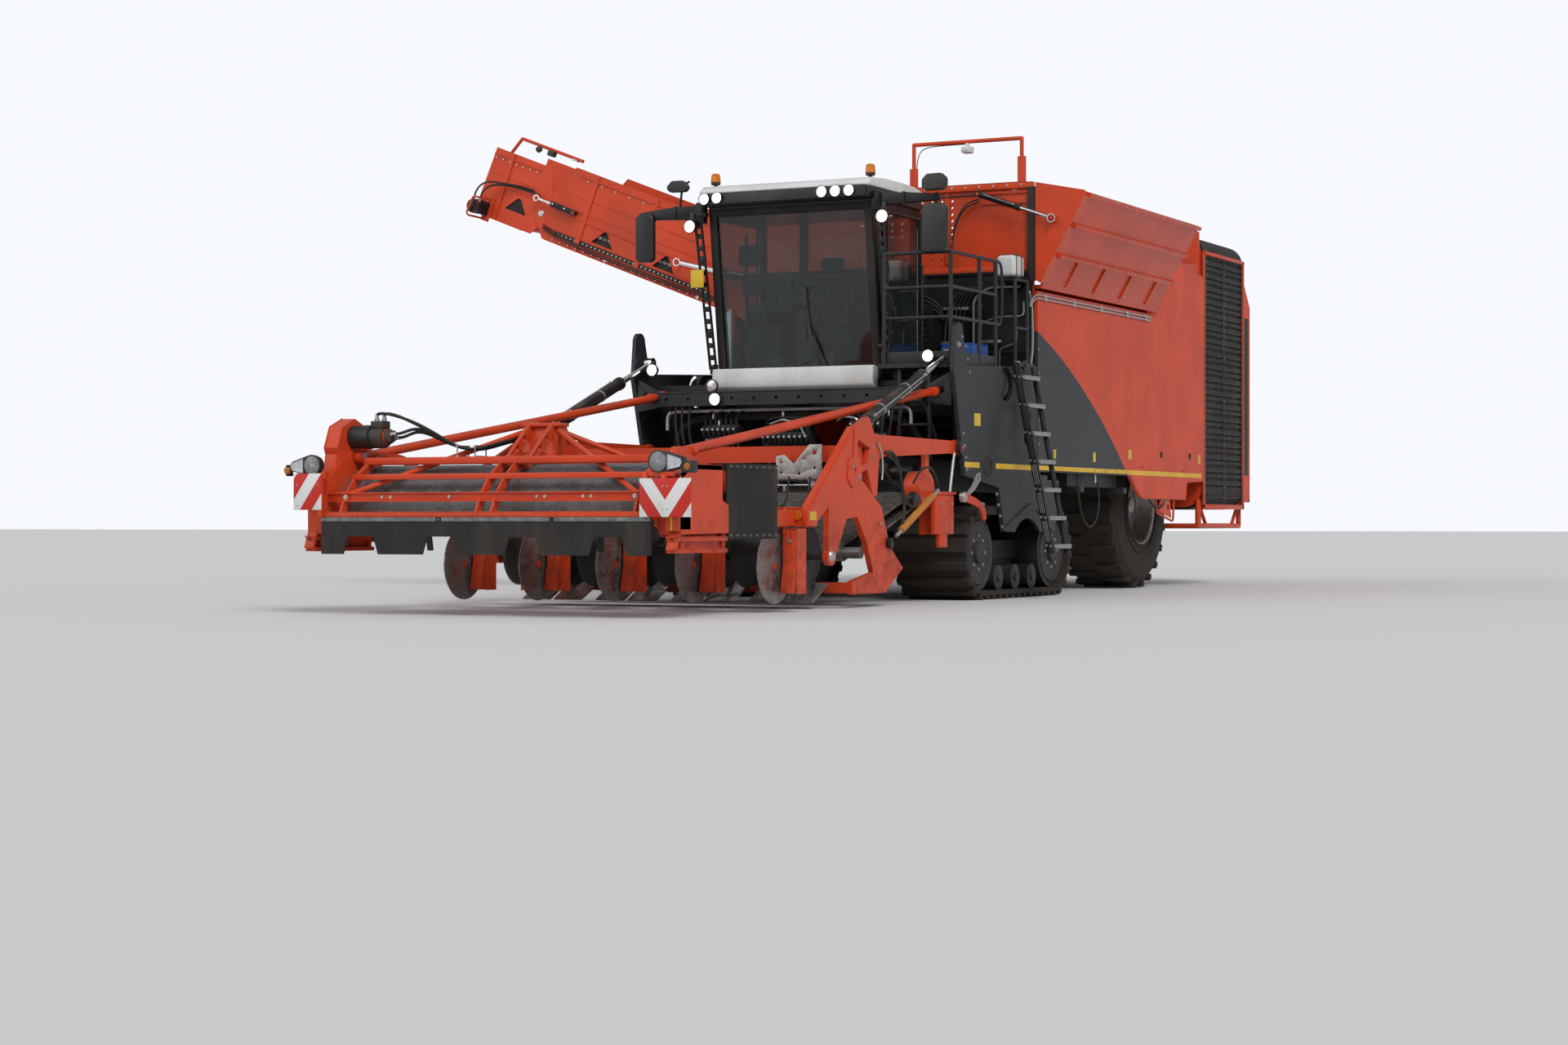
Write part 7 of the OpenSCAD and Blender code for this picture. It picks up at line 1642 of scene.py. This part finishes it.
def digger_parts():
    """Bands, hoses, guards, struts, scrapers and hubs of the digging unit."""
    red = Shape()
    for s in (-1, 1):
        # Block with its cap, above the link's rear end, and the curved chain hump
        red.box((s * 1.602, -2.1, 0.62), (s * 1.655, -1.66, 0.99), 0.015)
        red.box((s * 1.598, -2.12, 0.985), (s * 1.668, -1.64, 1.01), 0.005)
        red.box((s * 1.602, -1.98, 0.5), (s * 1.65, -1.8, 0.63), 0.012)
        # Folded edge along the arm's upper side and doubler plate
        red.bar((s * 1.625, -4.62, 0.89), (s * 1.625, -3.86, 1.5), 0.07, 0.014, (0, -0.6, 0.8), 0.004)
        red.plate([(-3.93, 1.28), (-3.7, 1.28), (-3.66, 1.1), (-3.86, 1.02), (-3.96, 1.1)], "X", s * 1.65, s * 1.66,
                  [(-3.81, 1.17, 0.028, 14)], 0.003)
        red.box((s * 1.64, -4.8, 0.7), (s * 1.7, -4.62, 0.86), 0.01)
    red.box((-1.685, -4.796, 0.845), (1.685, -4.64, 0.856), 0.003)
    red.box((-1.685, -4.796, 0.694), (1.685, -4.64, 0.704), 0.003)
    for x in (-1.2, -0.4, 0.4, 1.2):
        red.plate([(-4.64, 0.71), (-4.64, 0.84), (-4.5, 0.74), (-4.5, 0.71)], "X", x - 0.006, x + 0.006, (), 0.002)
    red.piece("digger_blocks", "digging_unit", "red_panel")
    ochre = Shape()
    for s in (-1, 1):
        ochre.rod((s * 1.676, -2.2, 0.97), (s * 1.676, -2.9, 0.66), 0.033, sides=20, edge=0.005)
    ochre.piece("ochre_struts", "digging_unit", "ochre")
    steel = Shape()
    for s in (-1, 1):
        steel.rod((s * 1.676, -2.9, 0.66), (s * 1.676, -3.02, 0.607), 0.018, sides=12)
        steel.rod((s * 1.676, -2.2, 0.97), (s * 1.67, -2.08, 1.02), 0.022, sides=12)
        steel.rod((s * 1.685, -1.735, 1.366), (s * 1.685, -1.835, 1.01), 0.013, sides=12)
        steel.lathe([(0, 0.02), (0.03, 0.02), (0.045, 0.008), (0.05, 0)], (1.65 if s > 0 else -1.67, -4.25, 0.45),
                    "X", 20)
        for y, z in ((-3.86, 1.2), (-3.75, 1.12), (-3.3, 0.72), (-2.96, 0.62), (-2.0, 0.9), (-1.74, 0.9)):
            steel.bolt((s * 1.66, y, z), (s, 0, 0), 0.014)
        steel.bolt_ring((s * 1.602, -2.16, 1.03), 0.13, 8, s, 0.009)
        # Curved scale of the depth gauge and its pointer bolts
        steel.pipe([(s * 1.66, -3.35, 1.42), (s * 1.662, -3.27, 1.33), (s * 1.662, -3.25, 1.2), (s * 1.66, -3.27, 1.1)],
                   0.009, 0.08, 6)
        steel.bolt((s * 1.652, -3.45, 1.38), (s, 0, 0))
        steel.bolt((s * 1.652, -3.42, 1.3), (s, 0, 0))
    for k in range(11):
        x = -1.31 + k * 0.262
        steel.slab(x, 0.02, (-4.15, 0.2), (-3.88, 0.212), 0.003)
        steel.bolt((x, -3.93, 0.214), (0, 0, 1), 0.011)
    steel.piece("digger_steel", "digging_unit", "zinc")
    # Grey sheet with holes that stands on the middle beam, and the pipes under it
    sheet = Shape()
    sheet.plate([(0.88, 1.1), (0.88, 1.3), (0.96, 1.315), (1.05, 1.235), (1.2, 1.4), (1.32, 1.4), (1.32, 1.1)], "Y",
                -3.76, -3.754, [(0.93, 1.25, 0.012, 8), (0.93, 1.16, 0.012, 8), (1.15, 1.28, 0.012, 8),
                                (1.25, 1.33, 0.02, 12), (1.25, 1.2, 0.012, 8), (1.1, 1.15, 0.012, 8)], 0.001)
    sheet.both_sides().piece("beam_sheets", "digging_unit", "galvanised")
    pipes = Shape()
    for z, y in ((1.05, -3.74), (1.095, -3.74)):
        pipes.pipe([(0.7, y, z - 0.08), (0.75, y, z), (1.45, y, z), (1.48, y, z - 0.05)], 0.0095, 0.05)
    for x in (0.85, 1.2):
        pipes.slab(x, 0.015, (-3.755, 1.03), (-3.67, 1.115), 0.003)
        pipes.rod((x + 0.1, -3.74, 1.0), (x + 0.1, -3.74, 1.05), 0.013, sides=6)
    pipes.both_sides().piece("beam_pipes", "digging_unit", "pipe_silver")
    hoses = Shape()
    for s in (-1, 1):
        hoses.hose([(s * 1.662, -3.2, 1.33), (s * 1.672, -3.12, 1.36), (s * 1.676, -2.98, 1.3), (s * 1.676, -2.9, 1.12),
                    (s * 1.676, -2.84, 0.95), (s * 1.67, -2.8, 0.8), (s * 1.664, -2.9, 0.62)], 0.016)
        hoses.hose([(s * 1.662, -3.15, 1.3), (s * 1.676, -3.04, 1.3), (s * 1.68, -2.94, 1.18), (s * 1.68, -2.86, 1.0),
                    (s * 1.68, -2.74, 0.86), (s * 1.67, -2.6, 0.86), (s * 1.66, -2.45, 0.95)], 0.012)
        hoses.hose([(s * 1.662, -2.6, 1.08), (s * 1.676, -2.5, 1.2), (s * 1.676, -2.3, 1.25), (s * 1.67, -2.15, 1.2),
                    (s * 1.66, -2.05, 1.06)], 0.012)
        for k in range(3):
            x = s * (1.2 - 0.2 * k)
            hoses.hose([(x, -3.72, 1.2), (x, -3.76, 1.1), (x + s * 0.03, -3.82, 0.98), (x + s * 0.08, -4.0, 0.86),
                        (x + s * 0.1, -4.3, 0.84), (x + s * 0.1, -4.55, 0.84), (x + s * 0.1, -4.66, 0.86)], 0.011)
    hoses.piece("digger_hoses", "digging_unit", "hose_dusty")
    motors = Shape()
    for s in (-1, 1):
        motors.rod((s * 1.606, -2.55, 0.93), (s * 1.67, -2.55, 0.93), 0.075, sides=20, edge=0.01)
        motors.rod((s * 1.63, -3.12, 0.55), (s * 1.69, -3.12, 0.55), 0.05, sides=20, edge=0.01)
    motors.piece("digger_motors", "digging_unit", "cab_black")
    lens = Shape()
    for s in (-1, 1):
        lens.lathe([(0, -0.014), (0.038, -0.014), (0.042, -0.006), (0.042, 0)], (s * 1.6, -4.797, 0.79), "Y", 24)
    lens.piece("digger_reflectors", "digging_unit", "amber_lens")
    blank = Shape()
    for s in (-1, 1):
        blank.slab(s * 1.7, 0.0015, (-4.77, 0.75), (-4.65, 0.82), 0.0006, 1)
    blank.piece("digger_blank_plates", "digging_unit", "plate_yellow")
    # Bars of the digging webs, seen from above and ahead
    bars = Shape()
    along = Vector((0, -3.56 + 2.08, 0.47 - 0.93))
    step = along.normalized()
    up = Vector((0, step.z, -step.y))
    for side in (-1, 1):
        x0, x1 = sorted((side * 0.06, side * 1.42))
        for k in range(38):
            base = Vector((0, -2.08, 0.93)) + step * (0.02 + k * 0.04)
            top = base + up * 0.0805
            bars.rod((x0, top.y, top.z), (x1, top.y, top.z), 0.0065, sides=6)
    bars.piece("digging_web_bars", "digging_unit", "web_steel")


def shields_and_rollers():
    """Coulter shields' ribs and bolts, roller ends and disc hubs."""
    shields = Shape()
    bolts = Shape()
    discs = Shape()
    for k in (-2, -1, 0, 1, 2):
        x = k * DISC_PITCH
        shields.plate([(-4.975, 0.66), (-4.985, 0.4), (-5.04, 0.16), (-4.97, 0.155), (-4.96, 0.66)], "X", x + 0.07,
                      x + 0.18, (), 0.004)
        shields.box((x + 0.1, -4.985, 0.2), (x + 0.112, -4.965, 0.66), 0.002)
        shields.box((x + 0.14, -4.985, 0.2), (x + 0.152, -4.965, 0.66), 0.002)
        bolts.bolt((x + 0.126, -4.985, 0.58), (0, -1, 0), 0.013)
        bolts.bolt((x + 0.126, -5.0, 0.26), (0, -1, 0), 0.015)
    shields.piece("coulter_shields", "digging_unit", "red_panel")
    bolts.piece("coulter_bolts", "digging_unit", "zinc")
    for k in (-2, -1, 0, 1, 2):
        x = k * DISC_PITCH
        discs.lathe([(0, -0.014), (0.05, -0.014), (0.06, 0.0), (0.075, 0.004), (0.08, 0.018)], (x, -5.05, 0.38), "X",
                    24)
        discs.bolt_ring((x + 0.002, -5.05, 0.38), 0.058, 5, -1, 0.008)
    discs.piece("disc_hubs", "coulter_discs", "zinc")
    ends = Shape()
    for s in (-1, 1):
        ends.lathe([(0, s * 0.012), (0.035, s * 0.012), (0.05, 0.0)], (s * 1.638, -4.25, 0.45), "X", 20)
    ends.piece("roller_ends", "ridge_rollers", "zinc")


def cylinder_parts():
    """Glands, end caps, clamps, lines and fittings of the hydraulic cylinders."""
    def along(a, b, f):
        return Vector(a).lerp(Vector(b), f)

    def gland(shape, a, b, f, radius, width=0.02):
        mid, way = along(a, b, f), (Vector(b) - Vector(a)).normalized()
        shape.rod(mid - way * width, mid + way * width, radius, sides=24, edge=0.004)

    def line(metal, a, b, f0, f1, away, radius=0.008):
        away = Vector(away)
        metal.pipe([along(a, b, f0) + away * 0.7, along(a, b, f0) + away, along(a, b, f1) + away,
                    along(a, b, f1) + away * 0.7], radius, 0.02)

    def port(shape, at, start, end, radius):
        shape.rod(at + Vector(start), at + Vector(end), radius, sides=6)

    caps, metal = Shape(), Shape()
    for s in (-1, 1):
        a, b = (s * 1.572, -1.62, 2.275), (s * 1.572, -3.54, 1.56)
        gland(caps, a, b, 0.315, 0.062, 0.03)
        gland(caps, a, b, 0.95, 0.06, 0.03)
        gland(metal, a, b, 0.5, 0.0585, 0.012)
        gland(metal, a, b, 0.78, 0.0585, 0.012)
        line(metal, a, b, 0.34, 0.9, (s * 0.066, 0, 0.03))
        line(metal, a, b, 0.38, 0.62, (s * 0.066, 0, -0.005))
        for f in (0.34, 0.9):
            port(metal, along(a, b, f), (s * 0.045, 0, 0.02), (s * 0.075, 0, 0.035), 0.015)
    caps.piece("lift_cylinder_caps", "lift_barrels", "cylinder_dark")
    metal.piece("lift_cylinder_lines", "lift_barrels", "zinc")
    rods = Shape()
    for s in (-1, 1):
        rods.lathe([(0, 0.02 * s), (0.034, 0.02 * s), (0.042, 0.01 * s), (0.042, 0)], (s * 1.606, -1.62, 2.275), "X",
                   20)
    rods.piece("lift_rod_pins", "lift_rods", "zinc")
    tubes = Shape()
    for s in (-1, 1):
        a, b = (s * 1.495, -1.6, 1.955), (s * 1.495, -6.58, 1.259)
        for f in (0.03, 0.965):
            gland(tubes, a, b, f, 0.043, 0.03)
    tubes.piece("push_tube_collars", "push_tubes", "red_panel")
    caps, metal = Shape(), Shape()
    a, b = (-0.9, 0.244, 3.11), (-2.29, 0.244, 3.45)
    gland(caps, a, b, 0.6, 0.048, 0.025)
    gland(caps, a, b, 0.06, 0.047, 0.02)
    line(metal, a, b, 0.1, 0.56, (0.01, -0.052, 0.02))
    port(metal, along(a, b, 0.1), (0, -0.035, 0.01), (0, -0.065, 0.02), 0.014)
    caps.piece("elevator_cylinder_caps", "elevator_barrel", "cylinder_dark")
    metal.piece("elevator_cylinder_lines", "elevator_barrel", "zinc")
    caps, metal = Shape(), Shape()
    a, b = (-3.6, 0.316, 4.04), (-4.06, 0.316, 4.225)
    gland(caps, a, b, 0.58, 0.033, 0.015)
    for f in (0.2, 0.52):
        port(metal, along(a, b, f), (0, -0.02, 0), (0, -0.05, 0.01), 0.011)
    caps.piece("knee_cylinder_caps", "knee_barrel", "cylinder_dark")
    metal.piece("knee_cylinder_fittings", "knee_barrel", "zinc")
    caps, metal = Shape(), Shape()
    a, b = (1.12, 0.196, 3.975), (1.895, 0.196, 3.7)
    gland(caps, a, b, 0.55, 0.034, 0.018)
    line(metal, a, b, 0.08, 0.5, (0.0, -0.036, 0.012), 0.006)
    caps.piece("wing_cylinder_caps", "wing_barrel", "cylinder_dark")
    metal.piece("wing_cylinder_lines", "wing_barrel", "zinc")


def wheels_and_tracks():
    """Rims, hubs and studs of the rear wheels, and hubs and caps of the track wheels."""
    for s, name in ((1, "left"), (-1, "right")):
        rim, studs = Shape(), Shape()
        profile = [(0, 0.112), (0.08, 0.11), (0.09, 0.1), (0.092, 0.053), (0.151, 0.052), (0.153, 0.002), (0.29, 0.003),
                   (0.34, 0.012), (0.395, 0.018), (0.412, 0.06), (0.412, 0.19), (0.426, 0.215), (0.44, 0.222),
                   (0.44, 0.21), (0.425, 0.2), (0.421, 0.0), (0, -0.01)]
        rim.lathe([(r, t * s) for r, t in profile], (s * 1.1805, AXLE_Y, AXLE_Z), "X", 48)
        rim.piece(f"wheel_rim_{name}", f"rear_wheel_{name}", "galvanised")
        studs.bolt_ring((s * 1.2325, AXLE_Y, AXLE_Z), 0.122, 10, s, 0.014)
        studs.bolt_ring((s * 1.186, AXLE_Y, AXLE_Z), 0.3, 16, s, 0.01, 0.5)
        studs.piece(f"wheel_studs_{name}", f"rear_wheel_{name}", "zinc")
        wall = Shape()
        for r0, r1 in ((0.52, 0.545), (0.6, 0.612), (0.68, 0.688)):
            wall.lathe([(r0, 0), (r0, 0.006 * s), (r1, 0.006 * s), (r1, 0)], (s * 1.4, AXLE_Y, AXLE_Z), "X", 48)
        wall.piece(f"tyre_wall_rings_{name}", f"rear_wheel_{name}", "tyre")
    caps, bolts = Shape(), Shape()
    for s in (-1, 1):
        for y in (-0.95, 0.95):
            caps.lathe([(r, t * s) for r, t in ((0, 0.03), (0.09, 0.03), (0.1, 0.022), (0.105, 0.002), (0.24, 0.002),
                                                (0.27, 0.012), (0.3, 0.012), (0.315, 0.0), (0.0, -0.01))],
                       (s * 1.591, y, 0.445), "X", 36)
            bolts.bolt_ring((s * 1.594, y, 0.445), 0.16, 8, s, 0.013)
        for y in (-0.43, 0, 0.43):
            caps.lathe([(r, t * s) for r, t in ((0, 0.018), (0.04, 0.018), (0.045, 0.002), (0.095, 0.002), (0.1, 0.0),
                                                (0, -0.01))], (s * 1.591, y, 0.205), "X", 24)
    caps.piece("track_wheel_caps", "chassis", "frame_dark")
    bolts.piece("track_wheel_bolts", "chassis", "zinc")


# Operators

class Builder:
    """Runs its steps one after another."""
    steps = ()

    def execute(self, context):
        for step in self.steps:
            step()
        return {"FINISHED"}


class HARVESTER_OT_finishes(Builder, bpy.types.Operator):
    """Make the finishes and put them on the frame's own nodes"""
    bl_idname = "harvester.finishes"
    bl_label = "Finishes"
    steps = (make_finishes, dress_nodes)


class HARVESTER_OT_topper(Builder, bpy.types.Operator):
    """Build the leaf topper's sheets, rails, motor, hoses, boards and lamps"""
    bl_idname = "harvester.topper"
    bl_label = "Topper"
    steps = (topper_sheets, topper_motor, marker_boards)


class HARVESTER_OT_cab(Builder, bpy.types.Operator):
    """Build the cab's roof, apron, posts, lamps, mirrors and inside"""
    bl_idname = "harvester.cab"
    bl_label = "Cab"
    steps = (cab_shells, cab_trim, cab_posts, cab_lamps, cab_mirrors, cab_inside, driver_seat)


class HARVESTER_OT_body(Builder, bpy.types.Operator):
    """Build the stripe, plates, pipes and fixings of the sides and the clutter under the cab"""
    bl_idname = "harvester.body"
    bl_label = "Body"
    steps = (side_lines, under_cab, front_steps)


class HARVESTER_OT_platform(Builder, bpy.types.Operator):
    """Build the ladder's treads, the platform's floor, crate, tank and pipes, and the dark sheet of painted shade
    behind them
    """
    bl_idname = "harvester.platform"
    bl_label = "Platform"
    steps = (ladder_parts, platform_parts, painted_shade_sheet)


class HARVESTER_OT_rear(Builder, bpy.types.Operator):
    """Build the ring elevator's frames, the rear hood's lamps and the bunker's rim"""
    bl_idname = "harvester.rear"
    bl_label = "Rear"
    steps = (ring_parts, bunker_parts)


class HARVESTER_OT_elevator(Builder, bpy.types.Operator):
    """Build the unloading elevator's edges, chain, hoses and cameras"""
    bl_idname = "harvester.elevator"
    bl_label = "Elevator"
    steps = (elevator_parts,)


class HARVESTER_OT_digger(Builder, bpy.types.Operator):
    """Build the digging unit's fittings, web bars, shields and rollers"""
    bl_idname = "harvester.digger"
    bl_label = "Digger"
    steps = (digger_parts, shields_and_rollers)


class HARVESTER_OT_running(Builder, bpy.types.Operator):
    """Build the cylinders' fittings, the wheel rims and the track wheels' caps"""
    bl_idname = "harvester.running"
    bl_label = "Running gear"
    steps = (cylinder_parts, wheels_and_tracks)


class HARVESTER_OT_stage(bpy.types.Operator):
    """Set up the floor, backdrop, lights and camera"""
    bl_idname = "harvester.stage"
    bl_label = "Stage"

    def execute(self, context):
        stage = context.scene.harvester_stage
        bm = bmesh.new()
        bmesh.ops.create_grid(bm, x_segments=1, y_segments=1, size=stage.floor_size / 2)
        mesh = bpy.data.meshes.new("floor")
        bm.to_mesh(mesh)
        bm.free()
        floor = bpy.data.objects.new("floor", mesh)
        context.scene.collection.objects.link(floor)
        material = bpy.data.materials.new("floor_white")
        material.use_nodes = True
        nodes, links = material.node_tree.nodes, material.node_tree.links
        shader = nodes["Principled BSDF"]
        shader.inputs["Base Color"].default_value = (0.72, 0.72, 0.71, 1)
        shader.inputs["Roughness"].default_value = 0.8
        mesh.materials.append(material)
        world = bpy.data.worlds.new("studio")
        context.scene.world = world
        world.use_nodes = True
        nodes, links = world.node_tree.nodes, world.node_tree.links
        background = nodes["Background"]
        background.inputs["Color"].default_value = (0.93, 0.95, 1.0, 1)
        path = nodes.new("ShaderNodeLightPath")
        seen = calc(nodes, links, "MAXIMUM", path.outputs["Is Camera Ray"], path.outputs["Is Transmission Ray"])
        strength = nodes.new("ShaderNodeMapRange")
        strength.inputs["To Min"].default_value = 0.42
        strength.inputs["To Max"].default_value = 1.0
        links.new(seen, strength.inputs["Value"])
        links.new(strength.outputs["Result"], background.inputs["Strength"])
        for name, turn, power, angle in (
                ("key", (math.radians(48), 0, math.radians(50)), 1.6, 25),
                ("fill", (math.radians(62), 0, math.radians(-40)), 0.6, 50)):
            light = bpy.data.lights.new(name, "SUN")
            light.energy = power
            light.angle = math.radians(angle)
            lamp = bpy.data.objects.new(name, light)
            lamp.rotation_euler = turn
            context.scene.collection.objects.link(lamp)
        data = bpy.data.cameras.new("photo_view")
        data.lens = stage.camera_lens
        data.sensor_width = 36
        data.clip_end = 500
        camera = bpy.data.objects.new("photo_view", data)
        camera.location = stage.camera_at
        camera.rotation_euler = (math.radians(90), 0, stage.camera_turn)
        context.scene.collection.objects.link(camera)
        context.scene.camera = camera
        context.scene.view_settings.view_transform = "Standard"
        return {"FINISHED"}


class HARVESTER_PT_panel(bpy.types.Panel):
    """Lists the builders of the harvester"""
    bl_idname = "HARVESTER_PT_panel"
    bl_label = "Harvester"
    bl_space_type = "VIEW_3D"
    bl_region_type = "UI"
    bl_category = "Harvester"

    def draw(self, context):
        for operator in BUILDERS:
            self.layout.operator(operator.bl_idname)


BUILDERS = (
    HARVESTER_OT_finishes,
    HARVESTER_OT_topper,
    HARVESTER_OT_cab,
    HARVESTER_OT_body,
    HARVESTER_OT_platform,
    HARVESTER_OT_rear,
    HARVESTER_OT_elevator,
    HARVESTER_OT_digger,
    HARVESTER_OT_running,
    HARVESTER_OT_stage,
)
CLASSES = (FinishSettings, StageSettings, *BUILDERS, HARVESTER_PT_panel)


def register():
    for item in CLASSES:
        bpy.utils.register_class(item)
    bpy.types.Scene.harvester_finish = PointerProperty(type=FinishSettings)
    bpy.types.Scene.harvester_stage = PointerProperty(type=StageSettings)


def unregister():
    del bpy.types.Scene.harvester_stage
    del bpy.types.Scene.harvester_finish
    for item in reversed(CLASSES):
        bpy.utils.unregister_class(item)


def main():
    register()
    bpy.ops.harvester.finishes()
    bpy.ops.harvester.topper()
    bpy.ops.harvester.cab()
    bpy.ops.harvester.body()
    bpy.ops.harvester.platform()
    bpy.ops.harvester.rear()
    bpy.ops.harvester.elevator()
    bpy.ops.harvester.digger()
    bpy.ops.harvester.running()
    bpy.ops.harvester.stage()


if __name__ == "__main__":
    main()
